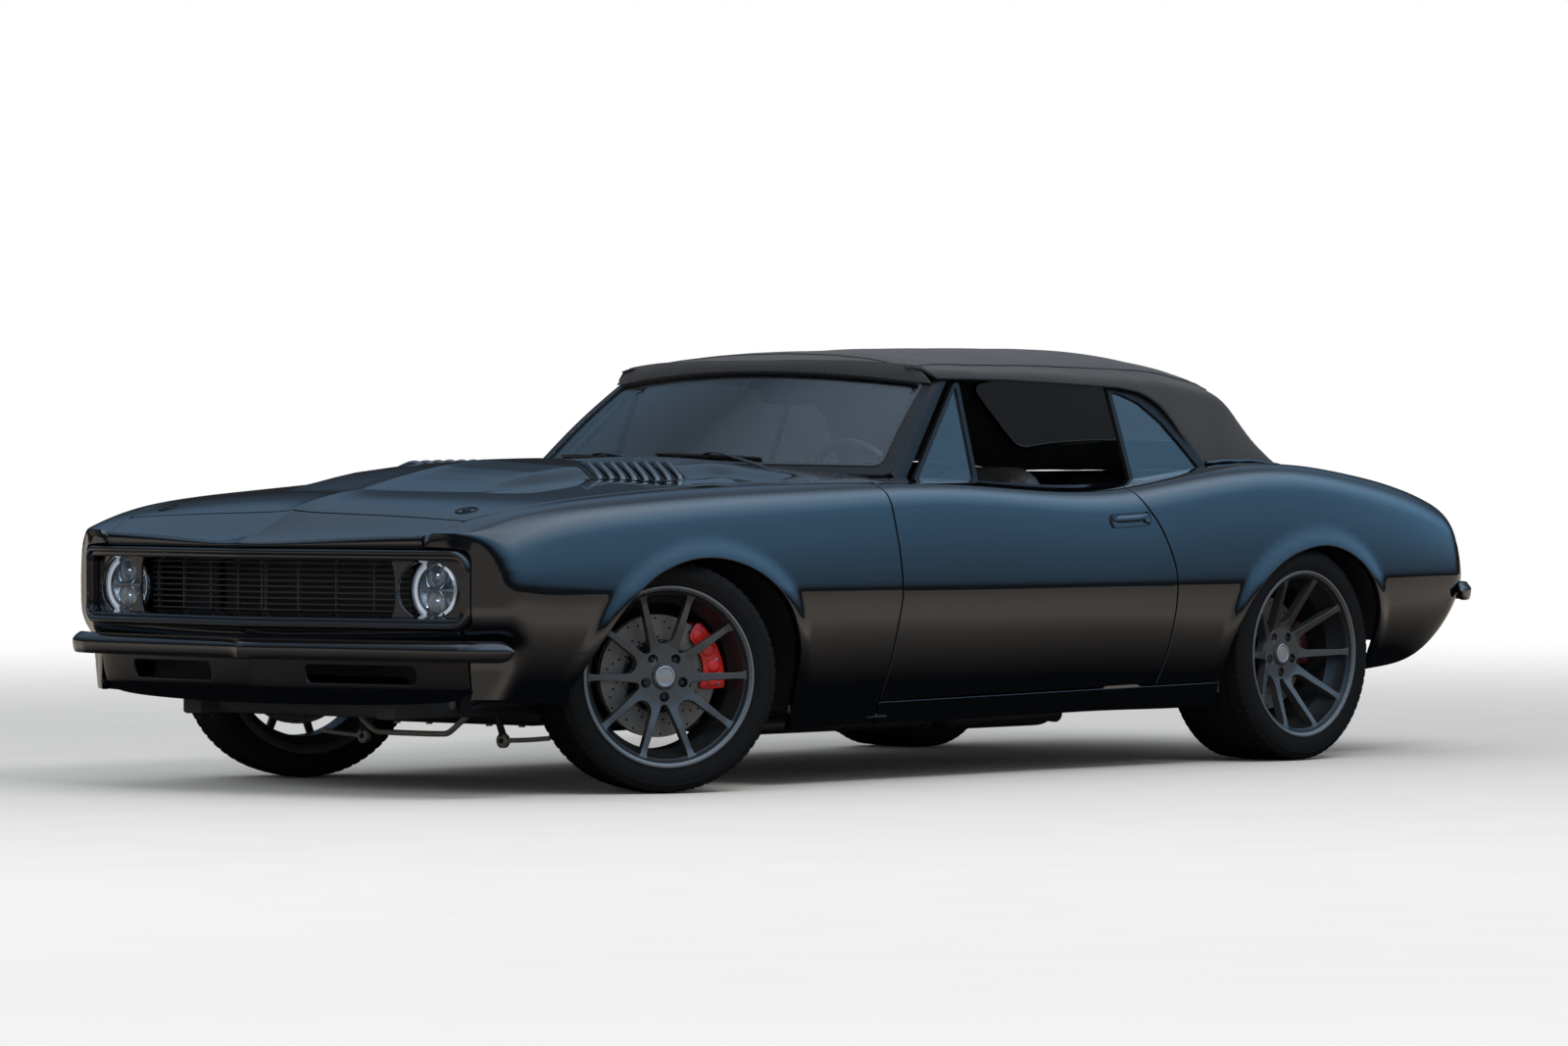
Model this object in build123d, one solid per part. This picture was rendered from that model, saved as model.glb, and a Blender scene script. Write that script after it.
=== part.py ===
from build123d import *
import math
import os

os.makedirs("parts", exist_ok=True)

# A two-door muscle car with a folding cloth top, in millimetres.
# +X is forward, +Y is left, +Z is up. The origin is on the ground, at mid-length, on the centre line.

# Driving dimensions
LENGTH = 4691.0
WHEELBASE = 2740.0
FRONT_AXLE_X = 1405.0
REAR_AXLE_X = FRONT_AXLE_X - WHEELBASE
NOSE_X = LENGTH / 2
TAIL_X = -LENGTH / 2

TYRE_RADIUS = 327.0
RIM_LIP_RADIUS = 256.0
RIM_BARREL = 14.0
FRONT_TYRE_WIDTH = 250.0
REAR_TYRE_WIDTH = 296.0
FRONT_WHEEL_Y = 733.0
REAR_WHEEL_Y = 747.0
HUB_RADIUS = 74.0
DISC_RADIUS = 172.0
DISC_THICKNESS = 32.0
DISC_CLEARANCE = 5.0

KINGPIN_Y = 700.0
STEER_REST = -26.5

SKIN = 16.0
PANEL_GAP = 7.0
DOOR_THICKNESS = 90.0
QUARTER_WALL = 45.0
WELL_RADIUS = 352.0
GLASS = 5.0

DOOR_HINGE_X = 490.0
DOOR_HINGE_Y = 877.0
HOOD_REAR_X = 700.0
HOOD_FRONT_X = 2120.0
HOOD_HALF_WIDTH = 735.0
DECK_FRONT_X = -1765.0
DECK_REAR_X = -2236.0
DECK_HALF_WIDTH = 600.0
SEAT_Y = 395.0
SILL_TOP_Z = 245.0

FLOOR_TOP = 222.0

# Clearance where one piece seats on another
FIT = 0.3

CREASE_LEAN = 4.0
LOWER_SIDE_BOW = 16.0

# Cross-sections of the body's left half, from the nose to the tail. The columns are
# x, lower edge y and z, side crease y and z, top of the shoulder y and z, crown z on the centre line.
SECTIONS = [
    (2345.0, 770.0, 300.0, 822.0, 612.0, 745.0, 700.0, 700.0),
    (2120.0, 818.0, 276.0, 872.0, 598.0, 765.0, 762.0, 786.0),
    (1700.0, 842.0, 232.0, 904.0, 571.0, 783.0, 828.0, 856.0),
    (1300.0, 844.0, 168.0, 910.0, 566.0, 792.0, 851.0, 896.0),
    (800.0, 840.0, 165.0, 906.0, 564.0, 798.0, 864.0, 924.0),
    (200.0, 834.0, 168.0, 898.0, 561.0, 802.0, 864.0, 934.0),
    (-500.0, 836.0, 174.0, 900.0, 558.0, 802.0, 843.0, 930.0),
    (-950.0, 848.0, 178.0, 915.0, 559.0, 794.0, 890.0, 930.0),
    (-1330.0, 855.0, 220.0, 921.0, 561.0, 785.0, 908.0, 920.0),
    (-1700.0, 848.0, 268.0, 915.0, 561.0, 768.0, 874.0, 888.0),
    (-2000.0, 828.0, 322.0, 893.0, 561.0, 742.0, 822.0, 834.0),
    (-2260.0, 806.0, 505.0, 852.0, 561.0, 712.0, 735.0, 744.0),
]

NODES = {}


def keep(name, *solids):
    """Collects the solids of one named piece."""
    NODES.setdefault(name, []).extend(solids)


def box(x0, x1, y0, y1, z0, z1):
    """A box between two corners."""
    return Pos((x0 + x1) / 2, (y0 + y1) / 2, (z0 + z1) / 2) * Box(x1 - x0, y1 - y0, z1 - z0)


def rod(start, end, radius):
    """A round bar between two points."""
    axis = Vector(*end) - Vector(*start)
    plane = Plane(origin=start, z_dir=axis)
    return plane * (Pos(0, 0, axis.length / 2) * Cylinder(radius, axis.length))


def across(x, z, radius, y0, y1):
    """A round bar along Y."""
    return rod((x, y0, z), (x, y1, z), radius)


def mirrored(shape):
    """The same piece on the right side."""
    return mirror(shape, about=Plane.XZ)


def side_outline(points, y0, y1):
    """A prism along Y, from an outline of (x, z) points."""
    wire = Polyline(*[(x, y0, z) for x, z in points], close=True)
    return extrude(make_face(wire), amount=y1 - y0, dir=(0, 1, 0))


def plan_outline(points, z0, z1):
    """A prism along Z, from an outline of (x, y) points."""
    wire = Polyline(*[(x, y, z0) for x, y in points], close=True)
    return extrude(make_face(wire), amount=z1 - z0, dir=(0, 0, 1))


def tube(points, radii, radius):
    """A bent round bar along straight runs joined by arcs."""
    path = FilletPolyline(*points, radius=radii)
    start = Vector(*points[0])
    along = Vector(*points[1]) - start
    return sweep(Plane(origin=start, z_dir=along) * Circle(radius), path=path)


def biarc(p0, t0, p1, t1):
    """The meeting point of two arcs that leave p0 along t0 and reach p1 along t1."""
    vx, vy = p1[0] - p0[0], p1[1] - p0[1]
    tx, ty = t0[0] + t1[0], t0[1] + t1[1]
    dot = t0[0] * t1[0] + t0[1] * t1[1]
    vt = vx * tx + vy * ty
    vv = vx * vx + vy * vy
    d = (-vt + math.sqrt(vt * vt + 2 * (1 - dot) * vv)) / (2 * (1 - dot))
    return ((p0[0] + p1[0] + d * (t0[0] - t1[0])) / 2, (p0[1] + p1[1] + d * (t0[1] - t1[1])) / 2)


def half_section(row, inset):
    """One closed wire of the body's left half, moved inwards by the inset."""
    x, yb, zb, yc, zc, ys, zs, zt = row
    low = (yb - inset, zb - inset)
    crease = (yc - inset, zc)
    top = (ys - inset * 0.6, zs - inset)
    crown = (0.0, zt - inset)
    lean = math.radians(CREASE_LEAN)
    slope = 2 * math.atan2(max(crown[1] - top[1], 0.5), top[0])
    t0 = (-math.sin(lean), math.cos(lean))
    t1 = (-math.cos(slope), math.sin(slope))
    joint = biarc(crease, t0, top, t1)
    plane = Plane(origin=(x, 0, 0), x_dir=(0, 1, 0), z_dir=(1, 0, 0))
    middle = ((low[0] + crease[0]) / 2 + LOWER_SIDE_BOW, (low[1] + crease[1]) / 2)

    def at(p):
        return plane.from_local_coords((p[0], p[1], 0))

    def way(t):
        return plane.from_local_coords((t[0], t[1], 0)) - plane.origin

    first = Edge.make_tangent_arc(at(crease), way(t0), at(joint))
    second = Edge.make_tangent_arc(at(joint), first % 1, at(top))
    third = Edge.make_tangent_arc(at(top), way(t1), at(crown))
    return Wire([
        Edge.make_three_point_arc(at(low), at(middle), at(crease)),
        first, second, third,
        Edge.make_line(at(crown), at((0.0, low[1]))),
        Edge.make_line(at((0.0, low[1])), at(low)),
    ])


def body_half(inset):
    """The solid inside the body's left half, moved inwards by the inset."""
    return Solid.make_loft([half_section(row, inset) for row in SECTIONS[::-1]])


outer = body_half(0.0)
under_skin = body_half(SKIN)
under_door = body_half(DOOR_THICKNESS)
under_quarter = body_half(QUARTER_WALL)

# Plan of the nose: a blunt V whose corners turn back to the sides
NOSE_PLAN = [(NOSE_X, 0.0), (2290.0, 320.0), (2232.0, 680.0), (2212.0, 745.0), (2170.0, 800.0), (2080.0,
                                                                                                 960.0)]


def nose_prism(inset, back_x, z0, z1):
    """The inside of the nose's plan on the left side, back to one place along the car."""
    front = [(x - inset, y) for x, y in NOSE_PLAN]
    return plan_outline(front + [(back_x, 960.0), (back_x, 0.0)], z0, z1)


def arch(points, y0, y1):
    """A wheel opening's prism from pairs of an arc's middle and end, after the first point."""
    edges = []
    for i in range(0, len(points) - 2, 2):
        a, b, c = [(x, y0, z) for x, z in points[i:i + 3]]
        edges.append(Edge.make_three_point_arc(a, b, c))
    first, last = points[0], points[-1]
    edges.append(Edge.make_line((last[0], y0, last[1]), (last[0], y0, 0.0)))
    edges.append(Edge.make_line((last[0], y0, 0.0), (first[0], y0, 0.0)))
    edges.append(Edge.make_line((first[0], y0, 0.0), (first[0], y0, first[1])))
    return extrude(Face(Wire(edges)), amount=y1 - y0, dir=(0, 1, 0))


FRONT_ARCH = [(1885.0, 300.0), (1780.0, 475.0), (1620.0, 605.0), (1425.0, 654.0), (1215.0, 622.0),
              (1070.0, 535.0), (992.0, 350.0)]
REAR_ARCH = [(-965.0, 300.0), (-1035.0, 462.0), (-1155.0, 580.0), (-1360.0, 652.0), (-1540.0, 632.0),
             (-1665.0, 535.0), (-1690.0, 330.0)]
front_arch = arch(FRONT_ARCH, 430.0, 1000.0)
rear_arch = arch(REAR_ARCH, 560.0, 1000.0)

# Fenders
half_gap = PANEL_GAP / 2
DOOR_FRONT = [(578.0, 900.0), (576.0, 836.0), (556.0, 660.0), (553.0, 568.0), (566.0, 470.0), (609.0,
                                                                                               SILL_TOP_Z)]
DOOR_REAR = [(-560.0, 900.0), (-561.0, 835.0), (-627.0, 745.0), (-678.0, 656.0), (-701.0, 561.0),
             (-687.0, 421.0), (-645.0, SILL_TOP_Z)]
HEADER_JOINT_Y = 593.0
ROCKER_FRONT_X = 606.0
ROCKER_REAR_X = -938.0
HOOD_EDGE = [(NOSE_X, HEADER_JOINT_Y), (HOOD_FRONT_X, 672.0), (1980.0, 715.0), (1800.0, HOOD_HALF_WIDTH),
             (1300.0, 742.0), (HOOD_REAR_X, 745.0), (395.0, 745.0)]

shell = outer - under_skin
fender_side = side_outline([(x + half_gap, z) for x, z in DOOR_FRONT] + [(ROCKER_FRONT_X + PANEL_GAP,
                                                                          0.0), (NOSE_X, 0.0),
                           (NOSE_X, 1000.0), (578.0, 1000.0)], 300.0, 1000.0)
fender_plan = plan_outline([(x, y + half_gap) for x, y in HOOD_EDGE] + [(395.0, 1000.0), (NOSE_X,
                                                                                          1000.0)],
                           0.0, 1200.0)
front_face_cut = nose_prism(0.0, 300.0, 0.0, 1200.0)
fender = (shell & fender_side & fender_plan & front_face_cut) - front_arch
fender -= box(1900.0, 2400.0, 300.0, 1000.0, 0.0, 462.0) - nose_prism(40.0, 1800.0, 0.0, 462.0)
fender -= box(HOOD_FRONT_X, NOSE_X, 0.0, 690.0, 0.0, 690.0)
fender_left = fender.solids().sort_by(SortBy.VOLUME)[-1]
keep("front_fenders", fender_left, mirrored(fender_left))

# Doors, each with two notches for its hinges
HINGE_HEIGHTS = (440.0, 660.0)
HINGE_HALF = 22.0
HINGE_ARM = 8.0
HINGE_PIN = 5.0
PIN_FIT = 0.3
PILLAR_Y = 690.0
door_side = side_outline([(x - half_gap, z) for x, z in DOOR_FRONT[:-1]] + [(606.0,
                                                                             SILL_TOP_Z + half_gap),
                         (-643.0, SILL_TOP_Z + half_gap)] + [(x + half_gap, z) for x,
                                                             z in DOOR_REAR[-2::-1]],
                         742.0, 1000.0)
door = (outer - under_door) & door_side
for z in HINGE_HEIGHTS:
    door -= box(DOOR_HINGE_X - HINGE_ARM - PANEL_GAP, 700.0, 700.0, DOOR_HINGE_Y + HINGE_ARM + 1.0,
                z - HINGE_HALF - PANEL_GAP, z + HINGE_HALF + PANEL_GAP)
    door -= rod((DOOR_HINGE_X, DOOR_HINGE_Y, z - 45.0), (DOOR_HINGE_X, DOOR_HINGE_Y, z + 45.0),
                HINGE_PIN + PIN_FIT)
HANDLE_X = -505.0
HANDLE_Z = 745.0
HANDLE_LENGTH = 176.0
HANDLE_HEIGHT = 34.0
HANDLE_DEPTH = 10.0
HANDLE_RIM = 8.0
handle_box = box(HANDLE_X - HANDLE_LENGTH / 2, HANDLE_X + HANDLE_LENGTH / 2, 850.0, 1000.0,
                 HANDLE_Z - HANDLE_HEIGHT / 2, HANDLE_Z + HANDLE_HEIGHT / 2)
handle_flap = box(HANDLE_X - HANDLE_LENGTH / 2 + HANDLE_RIM, HANDLE_X + HANDLE_LENGTH / 2 - HANDLE_RIM,
                  870.0, 1000.0,
                  HANDLE_Z - HANDLE_HEIGHT / 2 + HANDLE_RIM, HANDLE_Z + HANDLE_HEIGHT / 2)
door -= handle_box - Pos(0, -HANDLE_DEPTH, 0) * outer
door += handle_flap & (Pos(0, -1.0, 0) * outer)
door_left = door.solids().sort_by(SortBy.VOLUME)[-1]
pillar = box(DOOR_HINGE_X - 30.0, DOOR_HINGE_X + 40.0, PILLAR_Y - 50.0, PILLAR_Y, FLOOR_TOP, 820.0)
for z in HINGE_HEIGHTS:
    pillar += box(DOOR_HINGE_X - HINGE_ARM, DOOR_HINGE_X + HINGE_ARM, PILLAR_Y, DOOR_HINGE_Y,
                  z - HINGE_HALF, z + HINGE_HALF)
    pillar += rod((DOOR_HINGE_X, DOOR_HINGE_Y, z - HINGE_HALF), (DOOR_HINGE_X, DOOR_HINGE_Y,
                                                                 z + HINGE_HALF),
                  HINGE_ARM)
    pillar += rod((DOOR_HINGE_X, DOOR_HINGE_Y, z - 44.0), (DOOR_HINGE_X, DOOR_HINGE_Y, z + 44.0),
                  HINGE_PIN)
keep("door_pillars", pillar, mirrored(pillar))

# Rocker panels under the doors
rocker = shell & box(ROCKER_REAR_X, ROCKER_FRONT_X, 600.0, 1000.0, 0.0, SILL_TOP_Z - half_gap)
rocker = rocker.solids().sort_by(SortBy.VOLUME)[-1]
keep("rocker_panels", rocker, mirrored(rocker))

# Rear quarters
quarter_shell = outer - under_quarter
quarter_side = side_outline([(x - half_gap, z) for x, z in DOOR_REAR[:-1]] + [(-648.0, SILL_TOP_Z),
                            (ROCKER_REAR_X - PANEL_GAP, SILL_TOP_Z), (ROCKER_REAR_X - PANEL_GAP, 0.0),
                            (-2262.0, 0.0), (-2262.0, 1000.0), (-560.0, 1000.0)], 500.0, 1000.0)
quarter_plan = plan_outline([(-400.0, 745.0), (-1100.0, 735.0), (-1200.0, 605.0), (-2262.0, 605.0),
                             (-2262.0, 1000.0), (-400.0, 1000.0)], 0.0, 1200.0)
quarter = (quarter_shell & quarter_side & quarter_plan) - rear_arch
quarter -= across(REAR_AXLE_X, TYRE_RADIUS, WELL_RADIUS, 560.0, REAR_WHEEL_Y + REAR_TYRE_WIDTH / 2 + 5.0)
deck_ledge = box(DECK_REAR_X + 86.0, DECK_FRONT_X - 86.0, DECK_HALF_WIDTH - 30.0, 660.0, 500.0, 1000.0)
quarter += (deck_ledge & (Pos(0, 0, -FIT) * under_skin)) - under_quarter
quarter = quarter.solids().sort_by(SortBy.VOLUME)[-1]

# Hood with its raised centre
hood_half = shell & plan_outline([(HOOD_FRONT_X - 40.0, 0.0), (HOOD_FRONT_X - half_gap, 672.0)]
                                 + [(x, y - half_gap) for x, y in HOOD_EDGE[2:5]]
                                 + [(HOOD_REAR_X, 742.0), (HOOD_REAR_X, 0.0)], 600.0, 1200.0)
hood_half = hood_half.solids().sort_by(SortBy.VOLUME)[-1]
BULGE = [(2020.0, 250.0, 300.0, 4.0), (1800.0, 300.0, 380.0, 26.0), (1400.0, 330.0, 430.0, 42.0),
         (1000.0, 330.0, 430.0, 40.0), (HOOD_REAR_X, 330.0, 430.0, 30.0)]
ROOT_DEPTH = 14.0


def crown_z(x):
    """Height of the body's crown line between two sections."""
    for a, b in zip(SECTIONS, SECTIONS[1:]):
        if b[0] <= x <= a[0]:
            return b[7] + (a[7] - b[7]) * (x - b[0]) / (a[0] - b[0])
    return SECTIONS[-1][7]


bulge_wires = []
for x, top_y, foot_y, rise in BULGE:
    z = crown_z(x)
    drop = 0.11 * foot_y * foot_y / 745.0
    wire = Polyline((x, foot_y, z - drop - ROOT_DEPTH), (x, foot_y, z - drop), (x, top_y,
                                                                                z + rise - drop * 0.5),
                    (x, 0, z + rise), (x, -top_y, z + rise - drop * 0.5), (x, -foot_y, z - drop),
                    (x, -foot_y, z - drop - ROOT_DEPTH), close=True)
    bulge_wires.append(Wire(wire.edges()))
bulge = Solid.make_loft(bulge_wires, ruled=True)
hood = hood_half + mirrored(hood_half) + bulge

# Louvres: slats that sweep back across the flanks of the raised centre
LOUVRES = 8
LOUVRE_FRONT_X = 1215.0
LOUVRE_PITCH = 44.0
LOUVRE_INNER_Y = 262.0
LOUVRE_EDGE_Y = 330.0
LOUVRE_OUTER_Y = 412.0
LOUVRE_FOOT_Y = 430.0
LOUVRE_SWEEP = 0.33
LOUVRE_RISE = 40.0
LOUVRE_PROFILE = [(16.0, -5.0), (14.0, 2.0), (-10.0, 11.0), (-15.0, 9.0), (-12.0, -5.0)]
slats = []
for i in range(LOUVRES):
    wires = []
    for y in (LOUVRE_INNER_Y, LOUVRE_EDGE_Y, LOUVRE_OUTER_Y):
        x = LOUVRE_FRONT_X - i * LOUVRE_PITCH - LOUVRE_SWEEP * (y - LOUVRE_INNER_Y)
        drop = 0.11 * LOUVRE_FOOT_Y * LOUVRE_FOOT_Y / 745.0
        if y <= LOUVRE_EDGE_Y:
            z = crown_z(x) + LOUVRE_RISE - drop * 0.5 * y / LOUVRE_EDGE_Y
        else:
            down = (y - LOUVRE_EDGE_Y) / (LOUVRE_FOOT_Y - LOUVRE_EDGE_Y)
            z = crown_z(x) + (LOUVRE_RISE - drop * 0.5) * (1.0 - down) - drop * down
        wires.append(Wire(Polyline(*[(x + dx, y, z + dz) for dx, dz in LOUVRE_PROFILE],
                                   close=True).edges()))
    slat = Solid.make_loft(wires, ruled=True)
    slats.append(slat)
    slats.append(mirrored(slat))
for slat in slats:
    hood += slat
keep("hood", hood)

# Deck lid
deck_half = shell & box(DECK_REAR_X, DECK_FRONT_X, 0.0, DECK_HALF_WIDTH - half_gap, 600.0, 1000.0)
keep("deck_lid", deck_half + mirrored(deck_half))

# Panel between the cloth top and the deck lid
tulip_half = (quarter_shell & box(DECK_FRONT_X + PANEL_GAP, -1560.0, 0.0, 603.0, 700.0, 1000.0))
tulip_half = tulip_half.solids().sort_by(SortBy.VOLUME)[-1]
shelf_panel = tulip_half + mirrored(tulip_half)

# Cowl between the hood and the windshield, lower than the hood
COWL_DROP = 20.0
COWL_FRONT_X = HOOD_REAR_X - PANEL_GAP
COWL_HALF = 738.0
COWL_NARROW = 709.0
cowl_plan = [(COWL_FRONT_X, 0.0), (COWL_FRONT_X, COWL_HALF), (600.0, COWL_HALF), (584.0, COWL_NARROW),
             (395.0, COWL_NARROW), (395.0, 0.0)]
cowl_half = Pos(0, 0, -COWL_DROP) * (shell & plan_outline(cowl_plan, 700.0, 1200.0))
cowl = cowl_half.solids().sort_by(SortBy.VOLUME)[-1]
cowl += mirrored(cowl)

# Nose panel over the grille, with its surround
MOUTH_TOP = 690.0
MOUTH_BOTTOM = 470.0
MOUTH_HALF = 765.0
header_half = shell & plan_outline([(HOOD_FRONT_X - 40.0 + PANEL_GAP, 0.0), (HOOD_FRONT_X + half_gap,
                                                                             668.0),
                                    (NOSE_X, HEADER_JOINT_Y - half_gap), (NOSE_X, 0.0)], 690.0, 1200.0)
header_half = (header_half & front_face_cut).solids().sort_by(SortBy.VOLUME)[-1]

# Its flange reaches under the fender's edge
FLANGE_REACH = 16.0
FLANGE_THICK = 7.0
FLANGE_LINE = [(HOOD_FRONT_X + 20.0, 665.0), (HOOD_FRONT_X + 95.0, 638.7)]


def flange_strip(low, high):
    """A strip along the joint between header and fender, from one offset to another."""
    return plan_outline([(x, y + low) for x, y in FLANGE_LINE] + [(x, y + high) for x, y in FLANGE_LINE[::-1]],
                        MOUTH_TOP, 1200.0)


flange = flange_strip(-FLANGE_REACH, FLANGE_REACH) & (Pos(0, 0, -FIT) * under_skin)
flange += flange_strip(-FLANGE_REACH, -half_gap - 1.0) & (Pos(0, 0, 3.0) * under_skin)
flange -= Pos(0, 0, -FLANGE_THICK) * under_skin
header_half += flange
keep("header_panel", header_half + mirrored(header_half))

surround_depth = nose_prism(8.0, 1900.0, 440.0, 706.0) - nose_prism(135.0, 1800.0, 430.0, 720.0)
mouth_outer = extrude(Plane(origin=(1900, 0, 575), x_dir=(0, 1, 0), z_dir=(1, 0, 0))
                      * RectangleRounded(2 * MOUTH_HALF + 20.0, 229.4, 90.0), amount=500.0)
mouth_inner = extrude(Plane(origin=(1900, 0, 575), x_dir=(0, 1, 0), z_dir=(1, 0, 0))
                      * RectangleRounded(2 * MOUTH_HALF - 10.0, 210.0, 78.0), amount=500.0)
surround_ring = mouth_outer - mouth_inner
surround_half = surround_depth & surround_ring
keep("grille_surround", surround_half + mirrored(surround_half))

# Grille: thin bars across, with a V in plan, and a few uprights
GRILLE_BARS = 11
BAR_HEIGHT = 5.0
GRILLE_HALF = 505.0
grille_parts = []
for i in range(GRILLE_BARS):
    z = 490.0 + i * 17.0
    bar = plan_outline([(2238.0, 0.0), (2238.0 - 0.16 * GRILLE_HALF, GRILLE_HALF),
                        (2218.0 - 0.16 * GRILLE_HALF,
                       GRILLE_HALF), (2218.0, 0.0), (2218.0 - 0.16 * GRILLE_HALF, -GRILLE_HALF),
                       (2238.0 - 0.16 * GRILLE_HALF,
                        -GRILLE_HALF)], z - BAR_HEIGHT / 2, z + BAR_HEIGHT / 2)
    grille_parts.append(bar)
for y in (-GRILLE_HALF + 8.0, -340.0, -170.0, 0.0, 170.0, 340.0, GRILLE_HALF - 8.0):
    x = 2222.0 - 0.16 * abs(y)
    grille_parts.append(box(x - 10.0, x, y - 3.0, y + 3.0, 470.5, 679.5))
grille = grille_parts[0]
for piece in grille_parts[1:]:
    grille += piece
keep("grille", grille)

# Headlamps in their round housings
LAMP_Y = 615.0
LAMP_Z = 578.0
LAMP_RADIUS = 88.0
lamp = rod((2090.0, LAMP_Y, LAMP_Z), (2186.0, LAMP_Y, LAMP_Z), LAMP_RADIUS)
lamp += rod((2090.0, LAMP_Y, LAMP_Z), (2205.0, LAMP_Y, LAMP_Z), LAMP_RADIUS + 11.0) - rod(
    (2080.0, LAMP_Y, LAMP_Z), (2210.0, LAMP_Y, LAMP_Z), LAMP_RADIUS)
lamp += box(2095.0, 2125.0, LAMP_Y - 50.0, LAMP_Y + 50.0, 470.0 + FIT, 680.0 - FIT)
keep("headlamps", lamp, mirrored(lamp))

# Front bumper: a thin blade with a V in plan, wrapped round the corners
BUMPER_TOP = 438.0
BUMPER_BOTTOM = 388.0
BUMPER_PLAN = [(NOSE_X, 0.0), (2292.0, 330.0), (2243.0, 690.0), (2222.0, 770.0), (2190.0, 835.0),
               (2150.0, 874.0), (2085.0, 896.0), (2085.0, 876.0), (2140.0, 855.0), (2172.0, 818.0),
               (2200.0, 760.0), (2221.0, 686.0), (2270.0, 326.0), (NOSE_X - 22.0, 0.0)]
front_blade = plan_outline(BUMPER_PLAN, BUMPER_BOTTOM, BUMPER_TOP)
front_blade += box(2120.0, 2266.0, 372.0, 398.0, BUMPER_BOTTOM, BUMPER_BOTTOM + 38.0)
front_blade += box(2112.0, 2140.0, 372.0, 398.0, 290.0 + FIT, BUMPER_BOTTOM + 38.0)
keep("front_bumper", front_blade + mirrored(front_blade))

# Valance under the bumper, with two openings
valance = nose_prism(45.0, 2060.0, 250.0, BUMPER_BOTTOM - FIT) - nose_prism(60.0, 2000.0, 240.0, 400.0)
valance &= box(2070.0, NOSE_X, 0.0, 775.0, 240.0, 400.0)
valance -= box(2000.0, NOSE_X, 190.0, 560.0, 318.0, 368.0)
keep("front_valance", valance + mirrored(valance))

# Tail panel, tail lamps and rear bumper
tail_half = box(DECK_REAR_X - 22.0, DECK_REAR_X - PANEL_GAP, 0.0, 602.0, 560.0, 742.0)
tail_half += box(-2250.0, -2190.0, 0.0, 760.0, 330.0, 505.0)
tail_half += box(-2258.0, -2236.0, 0.0, 756.0, 505.0, 600.0)
keep("tail_panel", tail_half + mirrored(tail_half))
lamp_bar = box(-2280.0, -2258.5, 330.0, 590.0, 600.0, 690.0)
keep("tail_lamps", lamp_bar, mirrored(lamp_bar))
REAR_BUMPER_PLAN = [(TAIL_X, 0.0), (TAIL_X + 5.0, 420.0), (-2318.0, 700.0), (-2294.0, 812.0), (-2277.0,
                                                                                               855.0),
                    (-2200.0, 893.0), (-2120.0, 908.0), (-2120.0, 888.0), (-2195.0, 877.0), (-2264.0,
                                                                                             843.0),
                    (-2275.0, 800.0), (-2298.0, 690.0), (TAIL_X + 27.0, 415.0), (TAIL_X + 22.0, 0.0)]
rear_blade = plan_outline(REAR_BUMPER_PLAN, 478.0, 530.0)
rear_blade += box(-2330.0, -2258.5, 380.0, 420.0, 508.0, 523.0)
keep("rear_bumper", rear_blade + mirrored(rear_blade))

# Windshield and its frame
GLASS_TOP = ((113.0, 605.0, 1151.0), (188.0, 0.0, 1189.0))
GLASS_FOOT = ((400.0, 685.0, 905.0), (545.0, 0.0, 912.0))


def curved_sheet(top, foot, thick):
    """A windshield-like sheet: two arcs across the car, joined by straight lines."""
    faces = []
    for corner, middle in (foot, top):
        dx, dz = middle[0] - corner[0], middle[2] - corner[2]
        reach = math.hypot(dx, dz)
        sx, sz = thick * dx / reach, thick * dz / reach
        back = [(corner[0] - sx, corner[1], corner[2] - sz), (middle[0] - sx, 0, middle[2] - sz)]
        a = (corner[0], -corner[1], corner[2])
        b = (back[0][0], -back[0][1], back[0][2])
        faces.append(Wire([
            Edge.make_three_point_arc(corner, middle, a), Edge.make_line(a, b),
            Edge.make_three_point_arc(b, back[1], back[0]), Edge.make_line(back[0], corner)]))
    return Solid.make_loft(faces, ruled=True)


windshield = curved_sheet(GLASS_TOP, GLASS_FOOT, GLASS)
keep("windshield", windshield)


def spread(pair, dx, dy, dz):
    """The corner and middle of an arc, moved."""
    (cx, cy, cz), (mx, my, mz) = pair
    return (cx + dx, cy + dy, cz + dz), (mx + dx, my, mz + dz)


frame_block = curved_sheet(spread(GLASS_TOP, 8.0, 25.0, 14.0), spread(GLASS_FOOT, 34.0, 46.0, -30.0),
                           40.0)
frame_hole = curved_sheet(spread(GLASS_TOP, 60.0, -12.0, -10.0), spread(GLASS_FOOT, 60.0, -12.0, 12.0),
                          160.0)
glass_slot = curved_sheet(spread(GLASS_TOP, 0.4, 0.4, 0.4), spread(GLASS_FOOT, 1.0, 0.4, -0.2),
                          GLASS + 1.0)
frame = frame_block - frame_hole - glass_slot
DOOR_CORNER = box(416.0, 520.0, 722.0, 800.0, 840.0, 900.0)
frame -= DOOR_CORNER + mirrored(DOOR_CORNER)
frame = frame.solids().sort_by(SortBy.VOLUME)[-1]
keep("windshield_frame", frame)
WIPER_PIVOTS = (560.0, 80.0)
WIPER_PIVOT_X = 655.0
WIPER_PIVOT_RADIUS = 12.0
cowl -= frame_block
for y in WIPER_PIVOTS:
    cowl -= rod((WIPER_PIVOT_X, y, 800.0), (WIPER_PIVOT_X, y, 1000.0), WIPER_PIVOT_RADIUS + 0.3)
keep("cowl", cowl.solids().sort_by(SortBy.VOLUME)[-1])

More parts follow.
